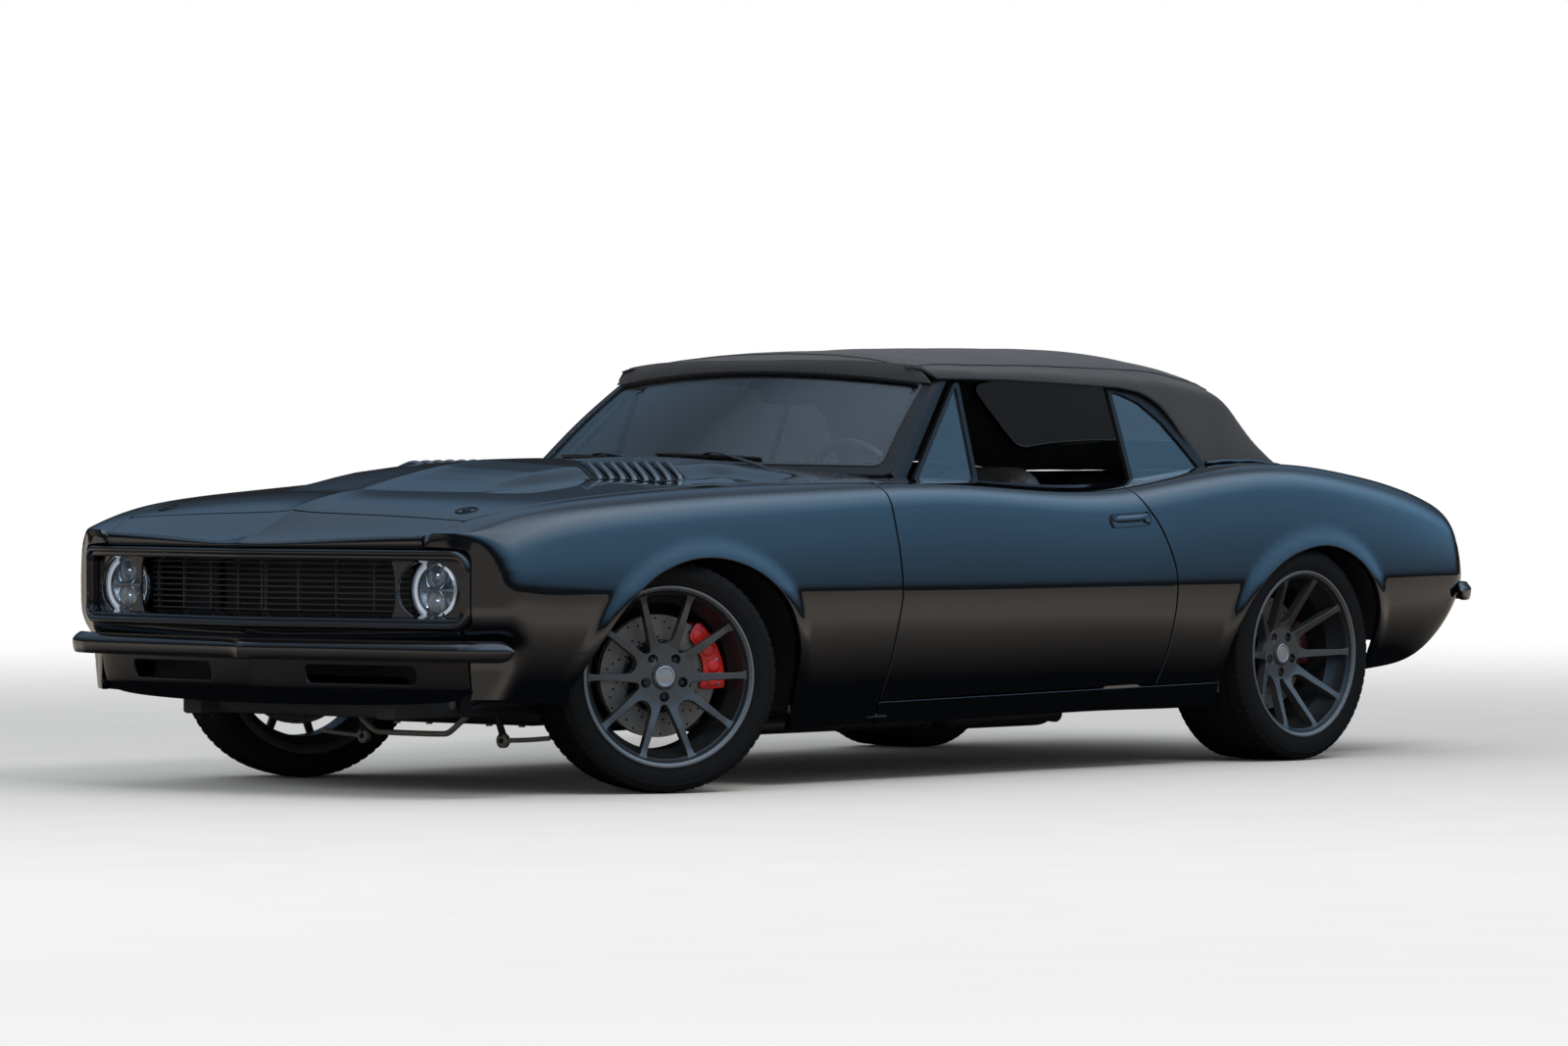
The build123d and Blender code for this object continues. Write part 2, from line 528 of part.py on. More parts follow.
# Cloth top: a closed shell from the windshield to the rear shelf, open at the sides
ROOF = [
    (200.0, 660.0, 628.0, 1170.0, 1206.0), (60.0, 700.0, 634.0, 1177.0, 1243.0), (-220.0, 730.0, 640.0,
                                                                                  1173.0, 1258.0),
    (-668.0, 735.0, 650.0, 1158.0, 1268.0), (-1000.0, 728.0, 655.0, 1140.0, 1262.0),
    (-1250.0, 690.0, 640.0, 1106.0, 1232.0), (-1400.0, 655.0, 622.0, 1000.0, 1135.0),
    (-1560.0, 625.0, 605.0, 908.0, 985.0), (-1700.0, 602.0, 592.0, 893.0, 905.0),
]
ROOF_FOOT_Z = 860.0


def roof_solid(inset):
    """The inside of the cloth top, moved inwards. Its columns are x, base y, rail y and z, crown z."""
    wires = []
    for x, base, half, rail, crown in ROOF:
        plane = Plane(origin=(x, 0, 0), x_dir=(0, 1, 0), z_dir=(1, 0, 0))
        pts = [plane.from_local_coords((y, z, 0)) for y, z in
               ((base - inset, ROOF_FOOT_Z), (half - inset, rail - inset), (0, crown - inset),
                (-half + inset, rail - inset), (-base + inset, ROOF_FOOT_Z))]
        wires.append(Wire([Edge.make_line(pts[0], pts[1]), Edge.make_three_point_arc(pts[1], pts[2],
                                                                                     pts[3]),
                           Edge.make_line(pts[3], pts[4]), Edge.make_line(pts[4], pts[0])]))
    return Solid.make_loft(wires[::-1], ruled=True)


CLOTH = 10.0
SIDE_WINDOW = [(300.0, 1152.0), (60.0, 1160.0), (-220.0, 1156.0), (-668.0, 1138.0), (-805.0, 1124.0),
               (-896.0, 1084.0), (-979.0, 985.0), (-1044.0, 889.0), (-1044.0, 700.0), (420.0, 700.0)]
roof = roof_solid(0.0) - roof_solid(CLOTH)
roof -= side_outline(SIDE_WINDOW, -800.0, 800.0)
roof_front = curved_sheet(spread(GLASS_TOP, 200.0, 90.0, -100.0), spread(GLASS_TOP, 200.0, 90.0, 100.0),
                          195.0)
roof -= roof_front
roof -= Pos(0, 0, 0.3) * frame_block
roof -= outer + mirrored(outer)
REAR_GLASS = (-1540.0, -1290.0, -430.0, 430.0, 925.0, 1240.0)
rear_hole = box(*REAR_GLASS)
rear_glass_pane = (roof_solid(2.0) - roof_solid(2.0 + GLASS)) & box(
    REAR_GLASS[0] + FIT, REAR_GLASS[1] - FIT, REAR_GLASS[2] + FIT, REAR_GLASS[3] - FIT, 900.0, 1300.0)
roof -= rear_hole
keep("soft_top", roof.solids().sort_by(SortBy.VOLUME)[-1])
keep("rear_window", rear_glass_pane.solids().sort_by(SortBy.VOLUME)[-1])

# Side glass: a fixed vent window and quarter window, the door's own glass is down
SIDE_GLASS_Y = 735.0
SIDE_GLASS_Z = 865.0
LEAN_IN = 19.0
FRAME_THICK = 16.0
SLOT_Z = 850.0
VENT_PANE = [(310.0, SLOT_Z + FIT), (50.0, SLOT_Z + FIT), (30.0, 1136.0), (36.0, 1136.0)]
VENT_POST = [(66.0, SLOT_Z + FIT), (40.0, SLOT_Z + FIT), (10.0, 1148.0), (32.0, 1148.0)]
VENT_FRONT = [(338.0, SLOT_Z + FIT), (296.0, SLOT_Z + FIT), (24.0, 1128.0), (30.0, 1148.0)]
QUARTER_PANE = [(-700.0, 1128.0), (-722.0, 1122.0), (-812.0, 1094.0), (-897.0, 1036.0), (-962.0, 966.0),
                (-1036.0, 873.0), (-969.0, 862.0), (-810.0, 832.0), (-700.0, 826.0)]
QUARTER_POST = [(-676.0, 1130.0), (-708.0, 1130.0), (-706.0, 826.0), (-672.0, 826.0)]


def side_pane(points, thick, grow=0.0):
    """A pane in the side glass's plane, which leans inwards at the top."""
    lean = math.cos(math.radians(LEAN_IN))
    local = [(x, SIDE_GLASS_Z + (z - SIDE_GLASS_Z) / lean) for x, z in points]
    half = thick / 2 + grow
    pane = side_outline(local, SIDE_GLASS_Y - half, SIDE_GLASS_Y + half)
    return pane.rotate(Axis((0, SIDE_GLASS_Y, SIDE_GLASS_Z), (1, 0, 0)), LEAN_IN)


vent = side_pane(VENT_PANE, GLASS) + side_pane(VENT_POST, FRAME_THICK) + side_pane(VENT_FRONT,
                                                                                   FRAME_THICK)
vent_slot = side_pane([(338.3, SLOT_Z), (39.7, SLOT_Z), (34.0, 900.0), (338.3, 900.0)], FRAME_THICK, FIT)
quarter_pane = side_pane(QUARTER_PANE, GLASS) + side_pane(QUARTER_POST, FRAME_THICK)
quarter_slot = Pos(0, 0, -FIT) * (side_pane(QUARTER_PANE, GLASS, FIT) + side_pane(QUARTER_POST,
                                                                                  FRAME_THICK, FIT))
door_left -= vent_slot
keep("door_left", door_left)
keep("door_right", mirrored(door_left))
quarter -= quarter_slot
keep("rear_quarters", quarter, mirrored(quarter), shelf_panel)
keep("vent_window_left", vent)
keep("vent_window_right", mirrored(vent))
keep("quarter_windows", quarter_pane, mirrored(quarter_pane))


# Wheels. Each is made round Z with its outer face up, then placed with that face outboard.
def upright_frame(y, side):
    """A frame at a wheel's centre plane with Z outboard."""
    return Plane(origin=(0, y * side, 0), x_dir=(side, 0, 0), z_dir=(0, side, 0))


def turned(points):
    """A solid of revolution from an outline of (radius, height) points."""
    face = make_face(Polyline(*[(r, 0, h) for r, h in points], close=True))
    return revolve(face, axis=Axis.Z, revolution_arc=360)


def rim_solid(half, dish):
    """A rim with ten spokes in five pairs, for one half-width and one depth of the hub's face."""
    lip = RIM_LIP_RADIUS
    barrel = turned([(lip, -half), (lip, -half + 8), (lip - 15, -half + 12), (lip - 22, -half + 40),
                     (lip - 40, -half + 60), (lip - 40, half - 74), (lip - 22, half - 46), (lip - 15,
                                                                                            half - 13),
                     (lip, half - 8), (lip, half), (lip - 9, half), (lip - 22, half - 14), (lip - 30,
                                                                                            half - 38),
                     (lip - 50, half - 76), (lip - 50, -half + 58), (lip - 32, -half + 36), (lip - 24,
                                                                                             -half + 6),
                     (lip - 9, -half)])
    face = half - dish
    web = turned([(30.0, face - 46), (30.0, face), (HUB_RADIUS, face + 2), (150.0,
                                                                            face + 0.45 * (dish - 12)),
                  (lip - 26, half - 14), (lip - 29, half - 46), (150.0, face + 0.45 * (dish - 12) - 36),
                  (HUB_RADIUS + 8, face - 32), (HUB_RADIUS + 4, face - 46)])
    spokes = Cylinder(HUB_RADIUS - 2, 400)
    for k in range(SPOKE_PAIRS):
        for hand in (-1, 1):
            root = math.radians(90 + k * 360 / SPOKE_PAIRS + hand * 9.0)
            tip = math.radians(90 + k * 360 / SPOKE_PAIRS + hand * 18.0)
            p = Vector(58 * math.cos(root), 58 * math.sin(root), 0)
            q = Vector((lip - 20) * math.cos(tip), (lip - 20) * math.sin(tip), 0)
            n = Vector(-(q - p).Y, (q - p).X, 0).normalized()
            corners = [p + n * 15, q + n * 8, q - n * 8, p - n * 15]
            outline = make_face(Polyline(*[(c.X, c.Y, -200) for c in corners], close=True))
            spokes += extrude(outline, amount=400, dir=(0, 0, 1))
    star = web & spokes
    for k in range(SPOKE_PAIRS):
        a = math.radians(90 + k * 360 / SPOKE_PAIRS)
        star -= Pos(57 * math.cos(a), 57 * math.sin(a), face) * Cylinder(13, 36)
    cap = Pos(0, 0, face - 20) * Cylinder(30.5, 48)
    return barrel + star + cap


def tyre_solid(half, rim_half):
    """A low tyre that sits on the rim between its lips."""
    r, lip = TYRE_RADIUS, RIM_LIP_RADIUS
    return turned([(lip + FIT, rim_half - 3), (294, half), (314, half - 6), (323, half - 18), (r,
                                                                                               half - 40),
                   (r, -half + 40), (323, -half + 18), (314, -half + 6), (294, -half), (lip + FIT,
                                                                                        -rim_half + 3),
                   (lip + FIT, -rim_half + 13), (lip - 13, -rim_half + 15), (lip - 13, -rim_half + 34),
                   (lip - 2, -rim_half + 46), (lip - 2, rim_half - 52), (lip - 13, rim_half - 40),
                   (lip - 13, rim_half - 16), (lip + FIT, rim_half - 13)])


def disc_solid(back, front):
    """A brake disc with its hat, between two heights."""
    ring = Cylinder(DISC_RADIUS, DISC_THICKNESS) - Cylinder(96, DISC_THICKNESS + 2)
    ring = Pos(0, 0, back + DISC_THICKNESS / 2) * ring
    hat = turned([(36, front), (92, front), (97, back + DISC_THICKNESS), (97, back + 4), (90, back + 4),
                  (86, front - 8), (36, front - 8)])
    return ring + hat


SPOKE_PAIRS = 5
FRONT_RIM_HALF = 118.0
REAR_RIM_HALF = 143.0
FRONT_DISH = 40.0
REAR_DISH = 92.0
FRONT_DISC_BACK = -8.0
REAR_DISC_BACK = -42.0
WHEELS = [
    ("front_left", FRONT_AXLE_X, FRONT_WHEEL_Y, 1, FRONT_TYRE_WIDTH / 2, FRONT_RIM_HALF, FRONT_DISH,
     FRONT_DISC_BACK),
    ("front_right", FRONT_AXLE_X, FRONT_WHEEL_Y, -1, FRONT_TYRE_WIDTH / 2, FRONT_RIM_HALF, FRONT_DISH,
     FRONT_DISC_BACK),
    ("rear_left", REAR_AXLE_X, REAR_WHEEL_Y, 1, REAR_TYRE_WIDTH / 2, REAR_RIM_HALF, REAR_DISH,
     REAR_DISC_BACK),
    ("rear_right", REAR_AXLE_X, REAR_WHEEL_Y, -1, REAR_TYRE_WIDTH / 2, REAR_RIM_HALF, REAR_DISH,
     REAR_DISC_BACK),
]


def steered(shape, side):
    """Turns a front piece about its kingpin to where the car is parked."""
    return shape.rotate(Axis((FRONT_AXLE_X, KINGPIN_Y * side, 0), (0, 0, 1)), STEER_REST)


front_rim, rear_rim = rim_solid(FRONT_RIM_HALF, FRONT_DISH), rim_solid(REAR_RIM_HALF, REAR_DISH)
for name, axle_x, wheel_y, side, half, rim_half, dish, disc_back in WHEELS:
    plane = Plane(origin=(axle_x, wheel_y * side, TYRE_RADIUS), x_dir=(side, 0, 0), z_dir=(0, side, 0))
    rim = plane * (front_rim if "front" in name else rear_rim)
    tyre = plane * tyre_solid(half, rim_half)
    disc = plane * disc_solid(disc_back, rim_half - dish - 46.5)
    pieces = {"wheel_": rim, "tyre_": tyre, "brake_disc_": disc}
    for kind, shape in pieces.items():
        keep(kind + name, steered(shape, side) if "front" in name else shape)

# Knuckles and front calipers
BALL_LOW_Z = TYRE_RADIUS - 120.0
BALL_HIGH_Z = TYRE_RADIUS + 120.0
BALL_RADIUS = 15.0
HUB_BACK_Y = FRONT_WHEEL_Y + FRONT_RIM_HALF - FRONT_DISH - 46.5 - 8.0 - FIT
HUB_FLANGE = 50.0
UPRIGHT_HALF = 14.0
knuckle = box(FRONT_AXLE_X - 30, FRONT_AXLE_X + 30, KINGPIN_Y - UPRIGHT_HALF, KINGPIN_Y + UPRIGHT_HALF,
              BALL_LOW_Z + 18, BALL_HIGH_Z - 18)
knuckle += across(FRONT_AXLE_X, TYRE_RADIUS, 62.0, KINGPIN_Y - 24.0, KINGPIN_Y + 22.0)
knuckle += across(FRONT_AXLE_X, TYRE_RADIUS, HUB_FLANGE, KINGPIN_Y, HUB_BACK_Y)
knuckle += box(FRONT_AXLE_X - 175, FRONT_AXLE_X - 20, KINGPIN_Y - 12, KINGPIN_Y + 8, TYRE_RADIUS - 30,
               TYRE_RADIUS + 50)
knuckle += box(FRONT_AXLE_X + 20, FRONT_AXLE_X + 130, KINGPIN_Y - 24, KINGPIN_Y, 240.0, 258.0)
CALIPER_ARC = [(-198.0, -38.0), (-198.0, 52.0), (-150.0, 104.0), (-118.0, 82.0), (-118.0, -38.0)]


def caliper_solid(axle_x, y0, y1, gap0, gap1):
    """A brake caliper behind the axle, round a disc between two places across the car."""
    points = [(axle_x + x, TYRE_RADIUS + z) for x, z in CALIPER_ARC]
    block = side_outline(points, y0, y1)
    slot = side_outline([(axle_x - 178, TYRE_RADIUS - 60), (axle_x - 178, TYRE_RADIUS + 140),
                         (axle_x, TYRE_RADIUS + 140), (axle_x, TYRE_RADIUS - 60)], gap0, gap1)
    return block & across(axle_x, TYRE_RADIUS, 199.0, y0 - 1, y1 + 1) - slot


disc_y = FRONT_WHEEL_Y + FRONT_DISC_BACK
caliper = caliper_solid(FRONT_AXLE_X, KINGPIN_Y + 8.0, disc_y + DISC_THICKNESS + 14.0,
                        disc_y - DISC_CLEARANCE,
                        disc_y + DISC_THICKNESS + DISC_CLEARANCE)
for name, side in (("left", 1), ("right", -1)):
    for kind, shape in (("knuckle_", knuckle), ("front_caliper_", caliper)):
        placed = shape if side > 0 else mirrored(shape)
        keep(kind + name, steered(placed, side))

# Front suspension on the subframe
RAIL_Y = 385.0
RAIL_HALF = 38.0
rail = box(712.3, 2150.0, RAIL_Y - RAIL_HALF, RAIL_Y + RAIL_HALF, 215.0, 290.0)
subframe = rail + mirrored(rail) + box(1320.0, 1490.0, -RAIL_Y, RAIL_Y, 180.0, 240.0)
subframe += box(2020.0, 2090.0, -RAIL_Y, RAIL_Y, 215.0, 265.0)
tower = box(1330.0, 1480.0, RAIL_Y - 30.0, RAIL_Y + 42.7, 280.0, 560.0)
subframe += tower + mirrored(tower)
keep("front_subframe", subframe)


def arm(pivot_y, pivot_z, spread_x, ball_y, ball_z, radius):
    """A wishbone from two pivots on the frame to one ball joint."""
    shape = rod((FRONT_AXLE_X - spread_x, pivot_y, pivot_z), (FRONT_AXLE_X, ball_y, ball_z), radius)
    shape += rod((FRONT_AXLE_X + spread_x, pivot_y, pivot_z), (FRONT_AXLE_X, ball_y, ball_z), radius)
    shape += rod((FRONT_AXLE_X - spread_x - 20, pivot_y, pivot_z), (FRONT_AXLE_X + spread_x + 20,
                                                                    pivot_y, pivot_z),
                 radius + 4)
    return shape + rod((FRONT_AXLE_X, ball_y, ball_z - 17.5), (FRONT_AXLE_X, ball_y, ball_z + 17.5),
                       BALL_RADIUS + 4)


lower_arm = arm(RAIL_Y + RAIL_HALF + 17.5, 232.0, 105.0, KINGPIN_Y, BALL_LOW_Z, 13.0)
upper_arm = arm(RAIL_Y + 58.0, 470.0, 75.0, KINGPIN_Y, BALL_HIGH_Z, 11.0)
coil_low = Vector(FRONT_AXLE_X, 560.0, 244.0)
coil_high = Vector(FRONT_AXLE_X, 424.0, 540.0)
keep("front_suspension", lower_arm, mirrored(lower_arm), upper_arm, mirrored(upper_arm))

# Rear axle, leaf springs and driveshaft
rear_axle = across(REAR_AXLE_X, TYRE_RADIUS, 38.0, -640.0, 640.0)
rear_axle += Pos(REAR_AXLE_X, 0, TYRE_RADIUS) * Sphere(140.0)
rear_axle += rod((REAR_AXLE_X, 0, TYRE_RADIUS), (REAR_AXLE_X + 260.0, 0, TYRE_RADIUS + 10.0), 48.0)
for side in (-1, 1):
    end = side * (REAR_WHEEL_Y + REAR_RIM_HALF - REAR_DISH - 46.5 - 8.0 - FIT)
    flange = end - side * 22.0
    rear_axle += across(REAR_AXLE_X, TYRE_RADIUS, 33.0, min(0, end), max(0, end))
    rear_axle += across(REAR_AXLE_X, TYRE_RADIUS, HUB_FLANGE, min(flange, end), max(flange, end))
rear_axle += rod((REAR_AXLE_X + 250.0, 0, TYRE_RADIUS + 10.0), (560.0 - FIT, 0, TYRE_RADIUS), 38.0)
keep("rear_axle", rear_axle)
caliper_y = REAR_WHEEL_Y + REAR_DISC_BACK
rear_caliper = caliper_solid(REAR_AXLE_X, caliper_y - 40.0, caliper_y + DISC_THICKNESS + 14.0,
                             caliper_y - DISC_CLEARANCE,
                             caliper_y + DISC_THICKNESS + DISC_CLEARANCE)
rear_caliper += box(REAR_AXLE_X - 140, REAR_AXLE_X - 33.0 - FIT, caliper_y - 40.0, caliper_y - 28.0,
                    TYRE_RADIUS - 30,
                    TYRE_RADIUS + 40)
keep("rear_calipers", rear_caliper, mirrored(rear_caliper))
SPRING_Y = 520.0
spring = box(-1990.0, -700.0, SPRING_Y - 32.0, SPRING_Y + 32.0, TYRE_RADIUS - 66.0, TYRE_RADIUS - 38.3)
spring += box(-730.0, -700.0, SPRING_Y - 32.0, SPRING_Y + 32.0, TYRE_RADIUS - 66.0, TYRE_RADIUS + 2.0)
spring += box(-1990.0, -1960.0, SPRING_Y - 32.0, SPRING_Y + 32.0, TYRE_RADIUS - 66.0, TYRE_RADIUS + 32.0)
keep("leaf_springs", spring, mirrored(spring))

# Floor, bulkheads, trunk and wheel tubs
FLOOR_LOW = 200.0
floor = box(-640.0, 700.0, -690.0, 690.0, FLOOR_LOW, FLOOR_TOP)
floor += box(-640.0, 700.0, -130.0, 130.0, FLOOR_LOW, 400.0)
floor += box(690.0, 712.0, -690.0, 690.0, FLOOR_LOW, 780.0)
floor += box(-662.0, -640.0, -550.0, 550.0, FLOOR_LOW, 500.0)
floor += box(-1100.0, -640.0, -550.0, 550.0, 480.0, 500.0)
floor += box(-1122.0, -1100.0, -550.0, 550.0, 480.0, 840.0)
floor += box(-2190.0 + FIT, -1100.0, -550.0, 550.0, 480.0, 500.0)
floor -= box(-900.0, 720.0, -66.0, 66.0, 0.0, 390.0)
JACK_FACE_Z = 186.0
JACK_FACE_Y = 812.0
sill_box = box(-640.0, 700.0, 690.0, 900.0, FLOOR_LOW, FLOOR_TOP) & (Pos(0, -FIT, 0) * under_skin)
sill_box += box(-640.0, 700.0, 690.0, JACK_FACE_Y, JACK_FACE_Z, FLOOR_TOP)
floor += sill_box + mirrored(sill_box)
tub = box(-1720.0, -980.0, 550.0, 562.0, 300.0, 720.0)
tub += box(-1640.0, -1040.0, 550.0, 900.0, 708.0, 720.0) & (Pos(0, -FIT, 0) * under_quarter)
for x0, x1, eye_z in ((-740.0, -690.0, TYRE_RADIUS + 2.0), (-1995.0, -1955.0, TYRE_RADIUS + 32.0)):
    tub += box(x0, x1, 490.0, 550.0, eye_z + FIT, 480.0)
floor += tub + mirrored(tub)
firewall_top = box(670.0, COWL_FRONT_X, 0.0, 690.0, 770.0, 1000.0) & (Pos(0, 0,
                                                                          -COWL_DROP - FIT) * under_skin)
floor += firewall_top + mirrored(firewall_top)
floor -= box(REAR_AXLE_X - 60, REAR_AXLE_X + 60, -600.0, 600.0, TYRE_RADIUS - 60.0, 479.0)
keep("floor_pan", floor)

# Engine bay
engine = box(1000.0, 1560.0, -255.0, 255.0, 250.0, 760.0)
engine += box(1560.0, 1640.0, -200.0, 200.0, 280.0, 640.0)
engine += rod((1000.0, 0, TYRE_RADIUS), (560.0, 0, TYRE_RADIUS), 55.0)
engine += box(1150.0, 1230.0, -RAIL_Y, RAIL_Y, 290.0, 330.0)
keep("engine", engine)
radiator = box(1975.0, 2030.0, -380.0, 380.0, 300.0, 690.0)
radiator += box(2030.0, 2060.0, -340.0, 340.0, 265.3, 690.0) + box(1975.0, 2060.0, -640.0, 640.0, 690.0,
                                                                   710.0)
keep("radiator", radiator)
apron = box(713.0, 1950.0, 428.0, 434.0, 505.0, 790.0)
apron += box(1000.0, 1800.0, 428.0, 900.0, 784.0, 790.0) & (Pos(0, -FIT, 0) * under_skin)
for x in (820.0, 1780.0):
    apron += box(x - 20.0, x + 20.0, 428.0, 490.0, 770.0, 790.0)
    apron += box(x - 12.0, x + 12.0, 466.0, 490.0, 770.0, 1000.0) & (Pos(0, 0, -FIT) * under_skin)
keep("inner_fenders", apron, mirrored(apron))

# Interior
dash = box(380.0, 520.0, -635.0, 635.0, 640.0, 830.0) + box(430.0, 690.0, -300.0, 300.0, 560.0, 640.0)
dash += rod((500.0, SEAT_Y, 692.0), (172.5, SEAT_Y, 804.0), 28.0)
dash += box(-420.0, 440.0, -110.0, 110.0, 400.3, 520.0) + box(380.0, 440.0, -110.0, 110.0, 500.0, 650.0)
keep("dashboard", dash)


def seat_solid(y):
    """A bucket seat with its cushion and leaning backrest."""
    seat = box(-350.0, 130.0, y - 250.0, y + 250.0, FLOOR_TOP + 60.0, 420.0)
    seat += box(-330.0, 100.0, y - 200.0, y + 200.0, FLOOR_TOP + 0.3, FLOOR_TOP + 60.0)
    back = side_outline([(-250.0, 400.0), (-370.0, 400.0), (-520.0, 960.0), (-430.0, 980.0)], y - 245.0,
                        y + 245.0)
    return seat + back


keep("front_seats", seat_solid(SEAT_Y), seat_solid(-SEAT_Y))
rear_seat = box(-1060.0, -680.0, -540.0, 540.0, 500.3, 610.0)
rear_seat += side_outline([(-930.0, 600.0), (-1080.0, 600.0), (-1099.0, 830.0), (-1000.0, 830.0)],
                          -540.0, 540.0)
keep("rear_seat", rear_seat)
STEER_AXIS = Vector(-320.0, 0, 110.0).normalized()
wheel_plane = Plane(origin=(158.0, SEAT_Y, 809.0), z_dir=(-320.0, 0, 110.0))
hand_wheel = wheel_plane * (Torus(178.0, 14.0) + Cylinder(34.0, 30.0) + Box(356.0, 30.0, 10.0)
                            + Pos(0, -90.0, 0) * Box(26.0, 170.0, 10.0))
keep("steering_wheel", hand_wheel)
mirror_body = box(20.0, 50.0, -120.0, 120.0, 1090.0, 1150.0) + rod((45.0, 0, 1120.0), (224.5, 0,
                                                                                       1142.1), 6.0)
mirror_body += rod((224.5, 0, 1142.1), (230.6, 0, 1150.0), 10.0)
keep("rear_view_mirror", mirror_body)

# Exhaust, fuel tank and wipers
exhaust = tube([(980.0, 300.0, 215.0), (620.0, 260.0, 146.0), (-300.0, 260.0, 146.0)], [120.0], 28.0)
exhaust += box(-800.0, -300.0, 170.0, 350.0, 108.0, 184.0)
exhaust += rod((-790.0, 260.0, 146.0), (-900.0, 260.0, 146.0), 28.0)
exhaust += box(-600.0, -560.0, 250.0, 270.0, 180.0, FLOOR_LOW)
keep("exhaust", exhaust, mirrored(exhaust))
keep("fuel_tank", box(-2140.0, -1560.0, -420.0, 420.0, 290.0, 479.7))
wiper = rod((WIPER_PIVOT_X, WIPER_PIVOTS[0], 830.0), (WIPER_PIVOT_X, WIPER_PIVOTS[0], 902.0),
            WIPER_PIVOT_RADIUS)
wiper += rod((WIPER_PIVOT_X, WIPER_PIVOTS[0], 893.0), (640.0, WIPER_PIVOTS[0] - 430.0, 937.0), 6.0)
keep("wipers", wiper, Pos(0, WIPER_PIVOTS[1] - WIPER_PIVOTS[0], 22.0) * wiper)

# Folding frame under the cloth top: bows that follow the cloth's arc from below
BOW_RADIUS = 9.0
BOWS = (-220.0, -660.0, -1000.0, -1230.0)


def roof_row(x):
    """The cloth top's rail half-width, rail height and crown height between two of its sections."""
    for a, b in zip(ROOF, ROOF[1:]):
        if b[0] <= x <= a[0]:
            share = (x - b[0]) / (a[0] - b[0])
            return [b[k] + (a[k] - b[k]) * share for k in (2, 3, 4)]
    return list(ROOF[-1][2:])


bows = []
for x in BOWS:
    half, rail, crown = roof_row(x)
    reach, rise = half - CLOTH, crown - rail
    arc_radius = (reach * reach + rise * rise) / (2 * rise)
    centre_z = crown - CLOTH - arc_radius
    bow_arc = arc_radius - BOW_RADIUS - FIT
    turn = math.asin(reach / arc_radius) * 0.97
    end_y, end_z = bow_arc * math.sin(turn), centre_z + bow_arc * math.cos(turn)
    path = Edge.make_three_point_arc((x, -end_y, end_z), (x, 0, centre_z + bow_arc), (x, end_y, end_z))
    bows.append(sweep(Plane(origin=path @ 0, z_dir=path % 0) * Circle(BOW_RADIUS), path=path))
keep("top_frame", *bows)


for name, solids in NODES.items():
    part = Compound(children=[s for shape in solids for s in shape.solids()])
    export_step(part, "parts/" + name + ".step")
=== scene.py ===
import math

import bmesh
import bpy
import numpy as np
from mathutils import Matrix, Vector
from mathutils.geometry import delaunay_2d_cdt


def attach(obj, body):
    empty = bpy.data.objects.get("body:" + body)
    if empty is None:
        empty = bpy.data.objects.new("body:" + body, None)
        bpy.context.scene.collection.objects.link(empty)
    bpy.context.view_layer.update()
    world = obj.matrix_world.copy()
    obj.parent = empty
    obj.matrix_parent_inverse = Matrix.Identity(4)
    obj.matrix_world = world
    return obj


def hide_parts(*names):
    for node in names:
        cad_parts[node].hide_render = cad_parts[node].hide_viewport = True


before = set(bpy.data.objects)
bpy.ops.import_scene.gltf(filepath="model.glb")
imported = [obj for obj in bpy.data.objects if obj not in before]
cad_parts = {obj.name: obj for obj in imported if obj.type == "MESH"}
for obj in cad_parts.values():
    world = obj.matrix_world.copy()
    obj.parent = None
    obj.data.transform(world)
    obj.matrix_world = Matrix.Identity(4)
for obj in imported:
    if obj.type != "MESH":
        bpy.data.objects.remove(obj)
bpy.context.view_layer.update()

# A black two-door muscle car with a folding cloth top. Tables are in millimetres, and meshes in metres.
# +X is forward, +Y is left, +Z is up, and the origin is on the ground at mid-length.
MM = 0.001

# Cross-sections of the body's left half. The columns are x, lower edge y and z, side crease y and z,
# top of the shoulder y and z, crown z on the centre line.
SECTIONS = np.array([
    (2400, 762, 305, 800, 615, 742, 694, 694),
    (2345, 770, 300, 822, 612, 745, 700, 700),
    (2120, 818, 276, 872, 598, 765, 762, 786),
    (1700, 842, 232, 904, 571, 783, 828, 856),
    (1300, 844, 168, 910, 566, 792, 851, 896),
    (800, 840, 165, 906, 564, 798, 864, 924),
    (200, 834, 168, 898, 561, 802, 864, 934),
    (-500, 836, 174, 900, 558, 802, 843, 930),
    (-950, 848, 178, 908, 559, 794, 890, 930),
    (-1330, 855, 220, 912, 561, 785, 908, 920),
    (-1700, 848, 268, 908, 561, 768, 874, 888),
    (-2000, 828, 322, 890, 561, 742, 822, 834),
    (-2260, 806, 505, 852, 561, 712, 735, 744),
    (-2300, 802, 540, 844, 561, 706, 716, 722),
], float)
CREASE_LEAN = math.radians(4.0)
LOWER_BOW = 16.0
GIRTH = (0.0, 400.0, 750.0, 1500.0)
FRONT_AXLE_X, REAR_AXLE_X, AXLE_Z = 1405.0, -1335.0, 327.0
FRONT_ARCH = [(1892, 300), (1830, 400), (1765, 483), (1697, 548), (1610, 605), (1520, 638), (1425, 655), (1320, 652),
              (1215, 627), (1125, 582), (1052, 515), (1008, 430), (990, 350), (986, 200)]
REAR_ARCH = [(-950, 200), (-962, 340), (-1000, 430), (-1062, 510), (-1145, 578), (-1245, 626), (-1360, 652),
             (-1455, 652), (-1545, 626), (-1620, 578), (-1672, 505), (-1694, 420), (-1692, 330), (-1690, 200)]
PANEL_GAP = 5.5
HEM = 1.6
FLARE_WIDTH = 62.0
FLARE_DEPTH = 8.5
